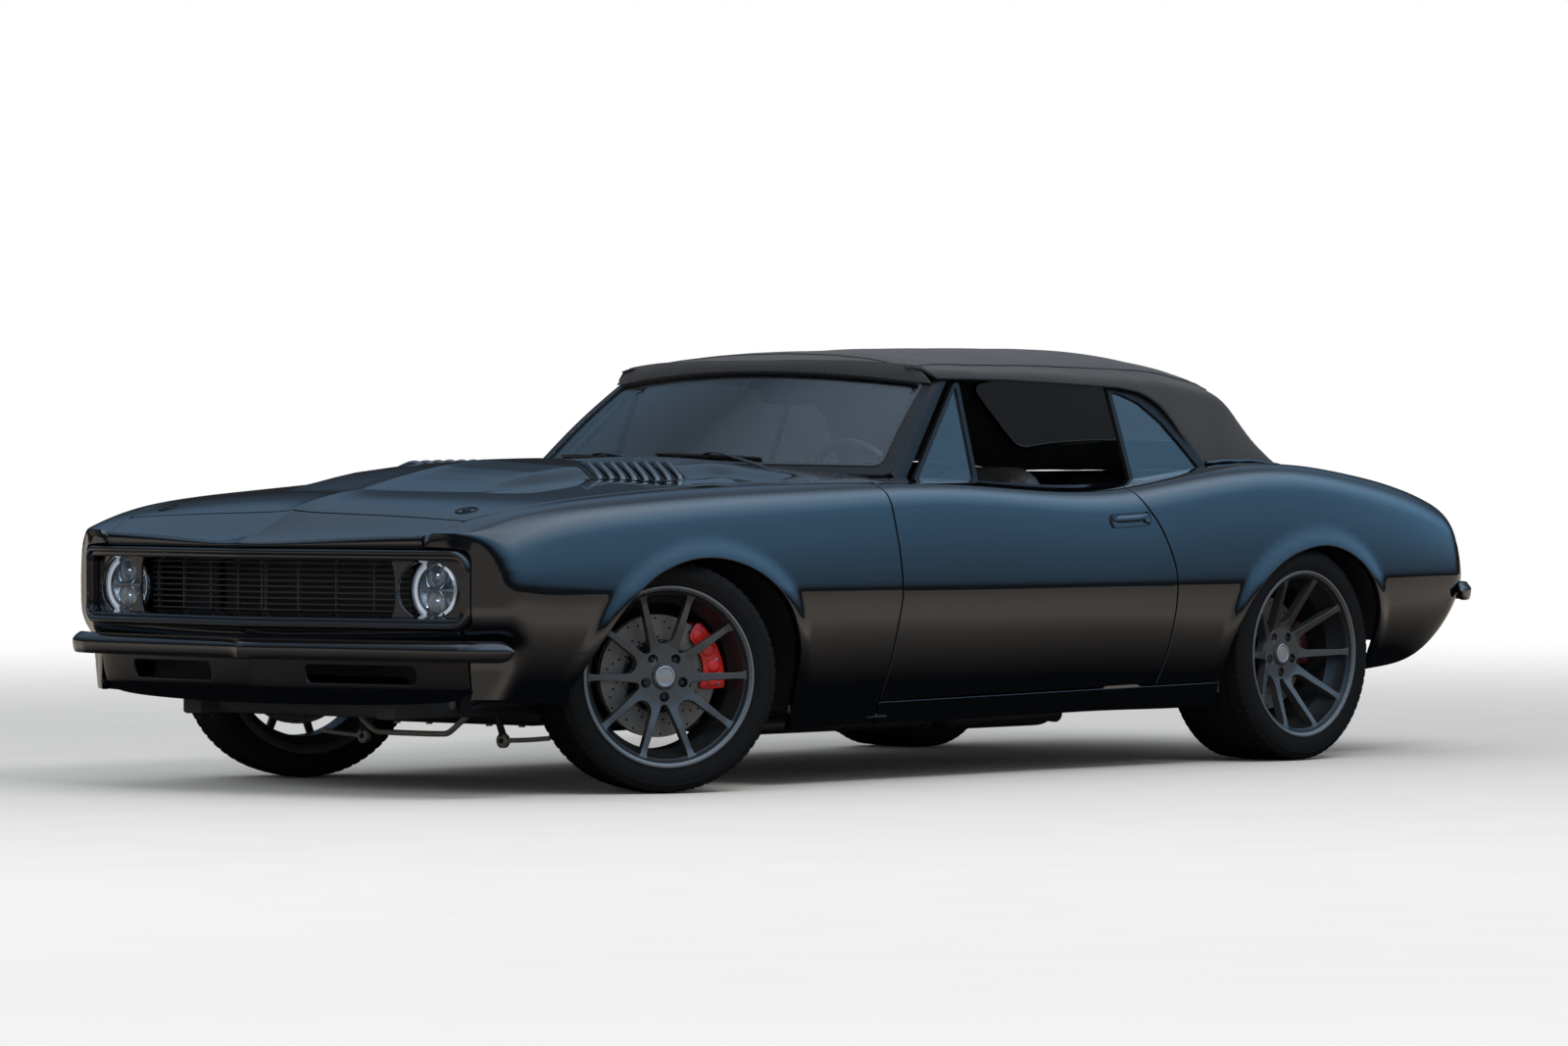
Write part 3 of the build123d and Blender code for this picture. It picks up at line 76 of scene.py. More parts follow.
# The nose in plan: how far forward it reaches at distances from the middle
FACE_YS, FACE_XS = (0, 300, 632, 745, 800, 960), (2345, 2298, 2246, 2212, 2170, 2080)


# Curves and interpolation
def spline_table(rows, xs):
    """Natural cubic splines through the rows of a table, whose first column falls, at places xs."""
    t = rows[::-1, 0]
    values = rows[::-1, 1:]
    n = len(t)
    h = np.diff(t)
    matrix = np.eye(n)
    right = np.zeros((n, values.shape[1]))
    for i in range(1, n - 1):
        matrix[i, i - 1:i + 2] = (h[i - 1], 2 * (h[i - 1] + h[i]), h[i])
        right[i] = 6 * ((values[i + 1] - values[i]) / h[i] - (values[i] - values[i - 1]) / h[i - 1])
    second = np.linalg.solve(matrix, right)
    k = np.clip(np.searchsorted(t, xs) - 1, 0, n - 2)
    a = (t[k + 1] - xs)[:, None]
    b = (xs - t[k])[:, None]
    w = h[k][:, None]
    return (second[k] * a ** 3 + second[k + 1] * b ** 3) / (6 * w) + (
        values[k] / w - second[k] * w / 6) * a + (values[k + 1] / w - second[k + 1] * w / 6) * b


def smooth_line(points, step):
    """An open line through points, rounded as a Catmull-Rom curve and spaced evenly."""
    p = np.array(points, float)
    ends = np.vstack([2 * p[0] - p[1], p, 2 * p[-1] - p[-2]])
    out = []
    for i in range(1, len(ends) - 2):
        a, b, c, d = ends[i - 1:i + 3]
        for t in np.linspace(0, 1, 24, endpoint=False):
            out.append(0.5 * (2 * b + (c - a) * t + (2 * a - 5 * b + 4 * c - d) * t * t
                              + (3 * b - a - 3 * c + d) * t ** 3))
    out.append(p[-1])
    return evenly(np.array(out), step)


def evenly(line, step):
    """The same open line with points about one step apart."""
    seg = np.linalg.norm(np.diff(line, axis=0), axis=1)
    run = np.concatenate([[0], np.cumsum(seg)])
    n = max(2, int(round(run[-1] / step)) + 1)
    at = np.linspace(0, run[-1], n)
    return np.stack([np.interp(at, run, line[:, k]) for k in range(line.shape[1])], axis=1)


def circle(n):
    """Angles of n points round a full turn."""
    return np.linspace(0, 2 * math.pi, n, endpoint=False)


def smoothstep(a, b, x):
    t = np.clip((x - a) / (b - a), 0, 1)
    return t * t * (3 - 2 * t)


def line_distance(points, line):
    """The distance from each 2-D point to a polyline."""
    best = np.full(len(points), 1e9)
    for a, b in zip(line[:-1], line[1:]):
        d = b - a
        t = np.clip(((points - a) @ d) / max(d @ d, 1e-9), 0, 1)
        best = np.minimum(best, np.linalg.norm(points - a - t[:, None] * d, axis=1))
    return best


def inside(points, outline):
    """Which 2-D points lie inside a closed outline."""
    hit = np.zeros(len(points), bool)
    x, y = points[:, 0], points[:, 1]
    for (x0, y0), (x1, y1) in zip(outline, np.roll(outline, -1, axis=0)):
        cross = (y0 > y) != (y1 > y)
        if y1 != y0:
            hit ^= cross & (x < (x1 - x0) * (y - y0) / (y1 - y0) + x0)
    return hit


# The body's surface
def body_points(x, s):
    """Points (y, z) of the left half at places x and heights s: 0 low edge, 1 crease, 2 shoulder, 3 centre."""
    yb, zb, yc, zc, ys, zs, zt = spline_table(SECTIONS, x).T
    low, crease, top = np.stack([yb, zb], 1), np.stack([yc, zc], 1), np.stack([ys, zs], 1)
    crown = np.stack([np.zeros_like(zt), zt], 1)
    slope = 2 * np.arctan2(np.maximum(zt - zs, 0.5), ys)
    t0 = np.tile([-math.sin(CREASE_LEAN), math.cos(CREASE_LEAN)], (len(x), 1))
    t1 = np.stack([-np.cos(slope), np.sin(slope)], 1)
    v = top - crease
    # two arcs: the upper one takes most of its tangent's reach, so that the side never overhangs
    cross = t0[:, 0] * t1[:, 1] - t0[:, 1] * t1[:, 0]
    d1 = 0.8 * (t0[:, 0] * v[:, 1] - t0[:, 1] * v[:, 0]) / cross
    d0 = ((v * v).sum(1) - 2 * d1 * (v * t1).sum(1)) / (2 * (v * t0).sum(1) + 2 * d1 * (1 - (t0 * t1).sum(1)))
    d0, d1 = d0[:, None], d1[:, None]
    joint = (d1 * (crease + d0 * t0) + d0 * (top - d1 * t1)) / (d0 + d1)
    chord = crease - low
    size = np.linalg.norm(chord, axis=1)
    bend = 2 * np.arctan(2 * LOWER_BOW / size)
    c, q = np.cos(-bend), np.sin(-bend)
    unit = chord / size[:, None]
    start = np.stack([unit[:, 0] * c - unit[:, 1] * q, unit[:, 0] * q + unit[:, 1] * c], 1)
    first = arc_point(low, start, crease, np.clip(s, 0, 1))
    lower_half = arc_point(crease, t0, joint, np.clip((s - 1) * 2, 0, 1))
    turn = arc_tangent(crease, t0, joint)
    upper_half = arc_point(joint, turn, top, np.clip((s - 1.5) * 2, 0, 1))
    last = arc_point(top, t1, crown, np.clip(s - 2, 0, 1))
    out = np.where((s < 1)[:, None], first, lower_half)
    out = np.where((s > 1.5)[:, None], upper_half, out)
    out = np.where((s > 2)[:, None], last, out)
    out[:, 0] *= 1 - 0.062 * smoothstep(-2080, -2262, x) ** 2
    return out


def arc_point(p0, t0, p1, f):
    """Points at fractions f of arcs that leave p0 along t0 and end at p1."""
    c = p1 - p0
    size = np.linalg.norm(c, axis=1)
    alpha = np.arctan2(t0[:, 0] * c[:, 1] - t0[:, 1] * c[:, 0], (t0 * c).sum(1))
    part = np.where(np.abs(alpha) < 1e-6, f, np.sin(alpha * f) / np.where(np.abs(alpha) < 1e-6, 1, np.sin(alpha)))
    a = alpha * f
    way = np.stack([t0[:, 0] * np.cos(a) - t0[:, 1] * np.sin(a), t0[:, 0] * np.sin(a) + t0[:, 1] * np.cos(a)], 1)
    return p0 + way * (size * part)[:, None]


def arc_tangent(p0, t0, p1):
    """The direction at the end of arcs that leave p0 along t0 and end at p1."""
    c = p1 - p0
    a = 2 * np.arctan2(t0[:, 0] * c[:, 1] - t0[:, 1] * c[:, 0], (t0 * c).sum(1))
    return np.stack([t0[:, 0] * np.cos(a) - t0[:, 1] * np.sin(a), t0[:, 0] * np.sin(a) + t0[:, 1] * np.cos(a)], 1)


class Patch:
    """A smooth surface over a grid of (u, v), looked up between its nodes."""

    def __init__(self, us, vs, points, sign=1):
        self.us, self.vs, self.points = us, vs, points
        du = np.gradient(points, us, axis=0)
        dv = np.gradient(points, vs, axis=1)
        n = np.cross(du, dv) * sign
        self.normals = n / np.maximum(np.linalg.norm(n, axis=2), 1e-9)[..., None]

    def look(self, field, uv):
        i = np.clip(np.searchsorted(self.us, uv[:, 0]) - 1, 0, len(self.us) - 2)
        j = np.clip(np.searchsorted(self.vs, uv[:, 1]) - 1, 0, len(self.vs) - 2)
        a = ((uv[:, 0] - self.us[i]) / (self.us[i + 1] - self.us[i]))[:, None]
        b = ((uv[:, 1] - self.vs[j]) / (self.vs[j + 1] - self.vs[j]))[:, None]
        a, b = np.clip(a, -1, 2), np.clip(b, -1, 2)
        return (field[i, j] * (1 - a) * (1 - b) + field[i + 1, j] * a * (1 - b)
                + field[i, j + 1] * (1 - a) * b + field[i + 1, j + 1] * a * b)

    def at(self, uv):
        return self.look(self.points, uv)

    def normal(self, uv):
        n = self.look(self.normals, uv)
        return n / np.linalg.norm(n, axis=1)[:, None]

    def raised(self, uv, height):
        """Points a height out of the surface."""
        return self.at(uv) + self.normal(uv) * height


def girth(s):
    """Lengths round the section at heights s, as body_points takes them."""
    return np.interp(s, (0, 1, 2, 3), GIRTH)


CREASE_ROUND = 0.010
HEIGHTS = np.unique(np.concatenate([
    np.linspace(0, 1 - CREASE_ROUND, 26), [1 + CREASE_ROUND], np.linspace(1 + CREASE_ROUND, 2, 44),
    np.linspace(2, 3, 76)]))


def flare(xz, arch):
    """How far a wheel arch's flare stands proud at side points (x, z)."""
    far = line_distance(xz, arch)
    rise = FLARE_DEPTH * (1 - smoothstep(6, FLARE_WIDTH, far))
    return rise * smoothstep(250, 470, xz[:, 1])


ARCH_LINES = [smooth_line(FRONT_ARCH, 12), smooth_line(REAR_ARCH, 12)]


def hood_lift(x, y, z):
    """Heights of the hood's top: the body's own height z, with a flat raised centre and a middle ridge."""
    top = np.interp(x, (680, 900, 1150, 1360, 1520, 1600, 1700, 1800, 1900, 2000, 2120),
                    (938, 937.5, 936.5, 932, 916, 903, 884, 862, 838, 815, 786))
    inner = np.interp(x, (700, 1250, 1700, 1990), (330, 348, 362, 390))
    outer = np.interp(x, (700, 1250, 1700, 1990), (442, 438, 424, 408))
    top = top - 7 * smoothstep(700, 900, x)
    z = z - 28 * smoothstep(738, 600, np.abs(y)) * smoothstep(1420, 1050, x) * smoothstep(700, 840, x)
    target = np.maximum(top - 14 * (np.abs(y) / inner) ** 2, z)
    across = (outer - np.abs(y)) / np.maximum(outer - inner, 12)
    blend = 0.45 * smoothstep(0, 1, across) + 0.55 * np.clip(across, 0, 1)
    ridge = 8 * np.exp(-np.abs(y) / 70) * smoothstep(720, 1300, x)
    return z + (target - z) * blend * smoothstep(2110, 1960, x) + ridge


def build_side():
    """The left side and top as one patch, with flares, and with the nose wrapped round its corner."""
    xs = np.arange(-2290, 2056, 10.0)
    side = np.zeros((len(xs), len(HEIGHTS), 3))
    for j, s in enumerate(HEIGHTS):
        yz = body_points(xs, np.full(len(xs), s))
        side[:, j, 0] = xs
        side[:, j, 1:] = yz
        if s < 2:
            xz = side[:, j][:, (0, 2)]
            for line in ARCH_LINES:
                side[:, j, 1] += flare(xz, line) * (1 if s < 1.7 else (2 - s) / 0.3)
    nose = []
    path_step = 4.0
    for s in HEIGHTS:
        run = np.arange(2056, 2391, path_step)
        yz = body_points(run, np.full(len(run), s))
        back = 48 * smoothstep(470, 425, yz[0, 1])
        limit = np.interp(yz[:, 0], FACE_YS, FACE_XS) - back
        stop = int(np.argmax(run > limit)) if (run > limit).any() else len(run) - 1
        corner = np.array([run[stop], yz[stop, 0], yz[stop, 1]])
        ys = np.arange(corner[1] - path_step, 600, -path_step)
        face_x = np.interp(ys, FACE_YS, FACE_XS) - back
        face = np.stack([face_x, ys, np.full(len(ys), corner[2])], 1)
        path = np.vstack([np.column_stack([run[:stop], yz[:stop]]), corner[None], face])
        nose.append(path)
    reach = 470.0
    us = np.arange(path_step * 2, reach, 8.0)
    tail = np.zeros((len(us), len(HEIGHTS), 3))
    for j, path in enumerate(nose):
        lead = side[-12:, j]
        full = np.vstack([lead, path])
        full = evenly(full, path_step)
        weights = np.exp(-0.5 * (np.arange(-18, 19) * path_step / 20.0) ** 2)
        weights /= weights.sum()
        padded = np.vstack([np.repeat(full[:1], 18, 0), full, np.repeat(full[-1:], 18, 0)])
        soft = np.stack([np.convolve(padded[:, k], weights, "valid") for k in range(3)], 1)
        soft = evenly(soft, path_step)
        run = np.concatenate([[0], np.cumsum(np.linalg.norm(np.diff(soft, axis=0), axis=1))])
        start = np.interp(xs[-1], soft[:len(lead) * 3, 0], run[:len(lead) * 3])
        for k in range(3):
            tail[:, j, k] = np.interp(start + us, run, soft[:, k])
    us_all = np.concatenate([xs, xs[-1] + us])
    points = np.concatenate([side, tail], axis=0)
    return Patch(us_all, girth(HEIGHTS), soften_nose(us_all, girth(HEIGHTS), points), -1)


def soften_nose(us, vs, points):
    """The side's crease fades out towards the nose."""
    even = np.arange(0, vs[-1] + 1, 6.0)
    w = np.exp(-0.5 * (np.arange(-20, 21) * 6.0 / 34.0) ** 2)
    w /= w.sum()
    out = points.copy()
    for i, share in enumerate(smoothstep(1960, 2200, us)):
        if share <= 0:
            continue
        for k in range(3):
            line = np.interp(even, vs, points[i, :, k])
            ends = np.concatenate([2 * line[0] - line[1:21][::-1], line, 2 * line[-1] - line[-21:-1][::-1]])
            soft = np.interp(vs, even, np.convolve(ends, w, "valid"))
            out[i, :, k] += share * (soft - points[i, :, k])
    return out


def build_top():
    """The upper surface in plan, with the hood's raised centre, as a patch over (x, y)."""
    xs = np.arange(-2290, 2391, 10.0)
    ys = np.concatenate([np.arange(-840, -19, 10.0), [-12, -7, -3, 0, 3, 7, 12], np.arange(20, 841, 10.0)])
    points = np.zeros((len(xs), len(ys), 3))
    fine = np.linspace(1.3, 3, 240)
    for i, x in enumerate(xs):
        yz = body_points(np.full(len(fine), x), fine)
        z = np.interp(np.abs(ys), yz[::-1, 0], yz[::-1, 1])
        if x > 660:
            z = hood_lift(np.full(len(ys), x), ys, z)
        points[i, :, 0], points[i, :, 1], points[i, :, 2] = x, ys, z
    return Patch(xs, ys, points)


side_patch = build_side()
top_patch = build_top()


def side_uv(points):
    """(u, v) of side points given as (x, z)."""
    p = np.array(points, float)
    lo, hi = np.zeros(len(p)), np.full(len(p), 2.0)
    for _ in range(30):
        mid = (lo + hi) / 2
        z = body_points(p[:, 0], mid)[:, 1]
        lo = np.where(z < p[:, 1], mid, lo)
        hi = np.where(z < p[:, 1], hi, mid)
    return np.stack([p[:, 0], girth((lo + hi) / 2)], 1)


def plan_uv(points):
    """(u, v) on the side patch of points given as (x, y), near the shoulder."""
    p = np.array(points, float)
    lo, hi = np.full(len(p), 1.3), np.full(len(p), 3.0)
    for _ in range(30):
        mid = (lo + hi) / 2
        y = body_points(p[:, 0], mid)[:, 0]
        lo = np.where(y > p[:, 1], mid, lo)
        hi = np.where(y > p[:, 1], hi, mid)
    return np.stack([p[:, 0], girth((lo + hi) / 2)], 1)


# Meshes
class Shell:
    """Gathers vertices, faces, each corner's normal and each face's material."""

    def __init__(self):
        self.verts, self.faces, self.normals, self.mats = [], [], [], []
        self.count = 0

    def add(self, verts, faces, normals, mat=0):
        base = self.count
        self.verts.append(np.asarray(verts, float))
        self.count += len(verts)
        for f in faces:
            self.faces.append([base + i for i in f])
            self.normals.extend(normals[i] for i in f)
            self.mats.append(mat)

    def make(self, name, body, materials, slot=None, replaces=(), mirror=False):
        verts = np.vstack(self.verts) * MM
        normals = np.array(self.normals)
        faces = self.faces
        if mirror:
            verts = verts * (1, -1, 1)
            normals = normals * (1, -1, 1)
            flipped, start = [], 0
            order = []
            for f in faces:
                flipped.append(f[::-1])
                order.extend(range(start + len(f) - 1, start - 1, -1))
                start += len(f)
            faces = flipped
            normals = normals[order]
        mesh = bpy.data.meshes.new(name)
        mesh.from_pydata(verts.tolist(), [], faces)
        mesh.polygons.foreach_set("material_index", self.mats)
        mesh.polygons.foreach_set("use_smooth", [True] * len(faces))
        for m in materials:
            mesh.materials.append(m)
        mesh.update()
        mesh.normals_split_custom_set(normals.tolist())
        obj = bpy.data.objects.new(name, mesh)
        bpy.context.scene.collection.objects.link(obj)
        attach(obj, body)
        if replaces:
            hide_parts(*replaces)
        return obj


def uv_near(patch, targets):
    """(u, v) of the places on a patch nearest to 3-D points."""
    flat = patch.points.reshape(-1, 3)
    out = []
    for q in np.array(targets, float):
        k = int(np.argmin(((flat - q) ** 2).sum(1)))
        i, j = divmod(k, len(patch.vs))
        uv = np.array([patch.us[i], patch.vs[j]], float)
        for _ in range(6):
            p = patch.at(uv[None])[0]
            du = patch.at(uv[None] + (2, 0))[0] - p
            dv = patch.at(uv[None] + (0, 2))[0] - p
            m = np.stack([du / 2, dv / 2], 1)
            uv = uv + np.clip(np.linalg.lstsq(m, q - p, rcond=None)[0], -15, 15)
        out.append(uv)
    return np.array(out)


def offset_loop(patch, outline, gap, hole):
    """A loop in (u, v) set back by gaps into the sheet, its directions out of the sheet, and its points' order."""
    loop = np.array(outline, float)
    gaps = np.broadcast_to(np.asarray(gap, float), (len(loop),)).copy()
    order = np.arange(len(loop))
    area = 0.5 * np.sum(loop[:, 0] * np.roll(loop[:, 1], -1) - np.roll(loop[:, 0], -1) * loop[:, 1])
    if (area < 0) != hole:
        loop, gaps, order = loop[::-1], gaps[::-1], order[::-1]
    p, n = patch.at(loop), patch.normal(loop)
    along = np.roll(p, -1, axis=0) - np.roll(p, 1, axis=0)
    along /= np.maximum(np.linalg.norm(along, axis=1), 1e-9)[:, None]
    out3 = np.cross(along, n)
    step = 0.5
    du = (patch.at(loop + (step, 0)) - patch.at(loop - (step, 0))) / (2 * step)
    dv = (patch.at(loop + (0, step)) - patch.at(loop - (0, step))) / (2 * step)
    shift = np.zeros_like(loop)
    for i in range(len(loop)):
        shift[i] = np.linalg.lstsq(np.stack([du[i], dv[i]], 1), out3[i], rcond=None)[0]
    if (inside(loop + shift * 2.0, loop).sum() > len(loop) / 2) != hole:
        shift, out3 = -shift, -out3
    return loop - shift * gaps[:, None], out3, order


def trim(patch, outline, gap, spacing, rows=(), holes=(), hole_gap=0.0):
    """Triangles of a patch inside an outline and outside holes. Returns points, normals, triangles, and for each
    loop its points' indices, its directions out of the sheet and its points' order."""
    loops = [offset_loop(patch, outline, gap, False)]
    loops += [offset_loop(patch, h, hole_gap, True) for h in holes]
    edge = loops[0][0]
    lo, hi = edge.min(0), edge.max(0)
    gu, gv = np.meshgrid(np.arange(lo[0] + spacing / 2, hi[0], spacing),
                         np.arange(lo[1] + spacing / 2, hi[1], spacing * 0.9), indexing="ij")
    gu = gu + (np.arange(gu.shape[1]) % 2)[None] * spacing / 2
    grid = np.stack([gu.ravel(), gv.ravel()], 1)
    for v, half in rows:
        grid = grid[np.abs(grid[:, 1] - v) > spacing * 0.45]
        line = np.arange(lo[0], hi[0], spacing * 0.6)
        grid = np.vstack([grid] + [np.stack([line, np.full(len(line), v + k * half)], 1) for k in (-1, 0, 1)])
    grid = grid[inside(grid, edge)]
    for loop, _, _ in loops:
        grid = grid[line_distance(grid, np.vstack([loop, loop[:1]])) > min(spacing, 14) * 0.35]
    for loop, _, _ in loops[1:]:
        grid = grid[~inside(grid, loop)]
    every = np.vstack([q[0] for q in loops] + [grid])
    ids, start, edges = [], 0, []
    for loop, _, _ in loops:
        ids.append(list(range(start, start + len(loop))))
        if start:
            edges += [(start + i, start + (i + 1) % len(loop)) for i in range(len(loop))]
        start += len(loop)
    made = delaunay_2d_cdt([Vector(q) for q in every], edges, [ids[0]], 1, 1e-4)
    points2 = np.array([tuple(q) for q in made[0]])
    tris = np.array([list(f) for f in made[2]])
    for loop, _, _ in loops[1:]:
        tris = tris[~inside(points2[tris].mean(1), loop)]
    lookup = {}
    for new, olds in enumerate(made[3]):
        for old in olds:
            lookup.setdefault(old, new)
    pos, nor = patch.at(points2), patch.normal(points2)
    facing = (np.cross(pos[tris[:, 1]] - pos[tris[:, 0]], pos[tris[:, 2]] - pos[tris[:, 0]]) * nor[tris[:, 0]]).sum()
    if facing < 0:
        tris = tris[:, ::-1]
    rims = [([lookup[i] for i in k], out3, order) for k, (_, out3, order) in zip(ids, loops)]
    return pos, nor, tris.tolist(), rims


def ribbon(shell, rings, normals, mat, closed=True):
    """Quads between rings of points, turned to face their normals."""
    m = len(rings[0])
    verts, nors = np.vstack(rings), np.vstack(normals)
    faces = []
    for k in range(len(rings) - 1):
        for i in range(m if closed else m - 1):
            j = (i + 1) % m
            faces.append([k * m + i, (k + 1) * m + i, (k + 1) * m + j, k * m + j])
    f = np.array(faces)
    a, b, c = verts[f[:, 0]], verts[f[:, 1]], verts[f[:, 2]]
    if (np.cross(b - a, c - a) * nors[f[:, 0]]).sum() < 0:
        faces = [q[::-1] for q in faces]
    shell.add(verts, faces, nors, mat)


def sheet_metal(patch, outline, thick, spacing=26.0, gap=PANEL_GAP / 2, hem=HEM, rows=(), mat=0, inner_mat=1,
                holes=(), hole_hem=HEM):
    """A panel of a patch with rounded hems, and an inner face one thickness behind. gap and hem can be lists."""
    shell = Shell()
    gap = np.broadcast_to(np.asarray(gap, float), (len(outline),))
    hem = np.broadcast_to(np.asarray(hem, float), (len(outline),))
    pos, nor, tris, rims = trim(patch, outline, gap + hem, spacing, rows, holes, hole_hem)
    shell.add(pos, tris, nor, mat)
    for number, (boundary, out3, order) in enumerate(rims):
        h = hole_hem if number else hem[order][:, None]
        edge, en = pos[boundary], nor[boundary]
        rings, ring_normals = [], []
        for k in range(5):
            a = math.radians(90 * k / 4)
            rings.append(edge + out3 * h * math.sin(a) - en * h * (1 - math.cos(a)))
            ring_normals.append(out3 * math.sin(a) + en * math.cos(a))
        rings.append(edge + out3 * h - en * thick)
        ring_normals.append(out3)
        ribbon(shell, rings, ring_normals, mat)
        ribbon(shell, [rings[-1], edge - en * thick], [-en, -en], inner_mat)
    shell.add(pos - nor * thick, [t[::-1] for t in tris], -nor, inner_mat)
    return shell


def set_back(patch, depth):
    """A patch parallel to another, a depth behind it."""
    return Patch(patch.us, patch.vs, patch.points - patch.normals * depth,
                 1 if (np.cross(np.gradient(patch.points, patch.us, axis=0),
                                np.gradient(patch.points, patch.vs, axis=1)) * patch.normals).sum() > 0 else -1)


def tilt(degrees, axis):
    """The 3 x 3 matrix of a turn about an axis."""
    return np.array(Matrix.Rotation(math.radians(degrees), 3, axis))


class Form:
    """Gathers plain polygons, in millimetres, into one mesh with smooth shading up to an angle."""

    def __init__(self):
        self.verts, self.faces, self.mats = [], [], []

    def add(self, verts, faces, mat=0):
        base = len(self.verts)
        self.verts.extend([tuple(v) for v in verts])
        self.faces.extend([[base + i for i in f] for f in faces])
        self.mats.extend([mat] * len(faces))

    def loft(self, rings, mat=0, closed=True, caps=(True, True)):
        """A skin over rings of points, each with the same number of points."""
        m = len(rings[0])
        faces = []
        for k in range(len(rings) - 1):
            for i in range(m if closed else m - 1):
                j = (i + 1) % m
                faces.append([k * m + i, k * m + j, (k + 1) * m + j, (k + 1) * m + i])
        if caps[0]:
            faces.append(list(range(m))[::-1])
        if caps[1]:
            faces.append([(len(rings) - 1) * m + i for i in range(m)])
        self.add(np.vstack(rings), faces, mat)

    def tube(self, path, radius, mat=0, n=12, caps=True, flat=1.0, up=(0, 0, 1)):
        """A rod along a path. radius can be a list, and flat squeezes it along up."""
        p = np.array(path, float)
        radius = np.broadcast_to(np.asarray(radius, float), (len(p),))
        t = np.gradient(p, axis=0)
        t /= np.linalg.norm(t, axis=1)[:, None]
        side = np.cross(t, np.array(up, float))
        bad = np.linalg.norm(side, axis=1) < 1e-3
        side[bad] = np.cross(t[bad], (1.0, 0, 0))
        side /= np.linalg.norm(side, axis=1)[:, None]
        rise = np.cross(side, t)
        a = circle(n)
        rings = [p[i] + radius[i] * (np.cos(a)[:, None] * side[i] + flat * np.sin(a)[:, None] * rise[i])
                 for i in range(len(p))]
        self.loft(rings, mat, caps=(caps, caps))

    def turn(self, profile, origin=(0, 0, 0), axis=(0, 0, 1), n=64, mat=0):
        """A solid of revolution from (radius, height) points."""
        axis = Vector(axis).normalized()
        q = Vector((0, 0, 1)).rotation_difference(axis).to_matrix()
        m = np.array([list(r) for r in q])
        a = circle(n)
        rings = [np.array(origin) + np.stack([r * np.cos(a), r * np.sin(a), np.full(n, h)], 1) @ m.T
                 for r, h in profile]
        self.loft(rings, mat, caps=(False, False))

    def box(self, x0, x1, y0, y1, z0, z1, mat=0, bevel=3.0, turned=None):
        """A box with rounded edges, turned by a 3 x 3 matrix about its own middle if one is given."""
        bm = bmesh.new()
        bmesh.ops.create_cube(bm, size=1.0)
        size, mid = np.array([x1 - x0, y1 - y0, z1 - z0]), np.array([x1 + x0, y1 + y0, z1 + z0]) / 2
        bmesh.ops.scale(bm, vec=size, verts=bm.verts)
        if bevel:
            bmesh.ops.bevel(bm, geom=bm.edges[:], offset=min(bevel, min(size) * 0.45), segments=2, profile=0.5,
                            affect="EDGES")
        verts = np.array([tuple(v.co) for v in bm.verts])
        if turned is not None:
            verts = verts @ np.array(turned).T
        self.add(verts + mid, [[v.index for v in f.verts] for f in bm.faces], mat)
        bm.free()

    def side_box(self, side, x0, x1, y0, y1, *more):
        """A box at distances y0 and y1 from the middle, on the left for side 1 and on the right for -1."""
        low, high = sorted((side * y0, side * y1))
        self.box(x0, x1, low, high, *more)

    def prism(self, outline, place, depth, mat=0, bevel=2.0):
        """An outline of (a, b) points pushed through a depth; place turns (a, b, c) rows into x, y, z."""
        bm = bmesh.new()
        low = [bm.verts.new((a, b, 0)) for a, b in outline]
        face = bm.faces.new(low)
        made = bmesh.ops.extrude_face_region(bm, geom=[face])
        bmesh.ops.translate(bm, vec=(0, 0, depth), verts=[v for v in made["geom"] if isinstance(v, bmesh.types.BMVert)])
        bmesh.ops.recalc_face_normals(bm, faces=bm.faces[:])
        if bevel:
            edges = [e for e in bm.edges if len(e.link_faces) == 2 and e.calc_face_angle(0) > 0.9]
            bmesh.ops.bevel(bm, geom=edges, offset=bevel, segments=2, profile=0.5, affect="EDGES")
        bm.verts.index_update()
        self.add(place(np.array([tuple(v.co) for v in bm.verts])), [[v.index for v in f.verts] for f in bm.faces], mat)
        bm.free()

    def moved(self, change):
        """The same polygons with their points changed by a function."""
        other = Form()
        other.verts = [tuple(v) for v in change(np.array(self.verts))]
        other.faces, other.mats = [list(f) for f in self.faces], list(self.mats)
        return other

    def join(self, other):
        self.add(other.verts, other.faces)
        self.mats[-len(other.mats):] = other.mats
        return self

    def make(self, name, body, materials, slot=None, replaces=(), angle=35.0, mirror=False):
        mesh = bpy.data.meshes.new(name)
        verts = np.array(self.verts) * MM
        if mirror:
            verts = verts * (1, -1, 1)
        mesh.from_pydata(verts.tolist(), [], self.faces)
        mesh.polygons.foreach_set("material_index", self.mats)
        for m in materials:
            mesh.materials.append(m)
        bm = bmesh.new()
        bm.from_mesh(mesh)
        bmesh.ops.recalc_face_normals(bm, faces=bm.faces[:])
        bm.to_mesh(mesh)
        bm.free()
        mesh.polygons.foreach_set("use_smooth", [True] * len(mesh.polygons))
        mesh.set_sharp_from_angle(angle=math.radians(angle))
        mesh.update()
        obj = bpy.data.objects.new(name, mesh)
        bpy.context.scene.collection.objects.link(obj)
        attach(obj, body)
        if replaces:
            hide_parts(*replaces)
        return obj


def pair(form, name, body, materials, slot=None, replaces=(), **more):
    """A form's or a shell's left piece and its mirror image. The word left in names and bodies becomes right."""
    form.make(name + "_left", body, materials, slot, replaces, **more)
    other = tuple(r.replace("left", "right") for r in replaces)
    other = tuple(r for r in other if r not in replaces)
    form.make(name + "_right", body.replace("left", "right"), materials, slot, other, mirror=True, **more)


# Materials
def node(tree, kind, **inputs):
    n = tree.nodes.new(kind)
    for k, v in inputs.items():
        n.inputs[k.replace("_", " ")].default_value = v
    return n


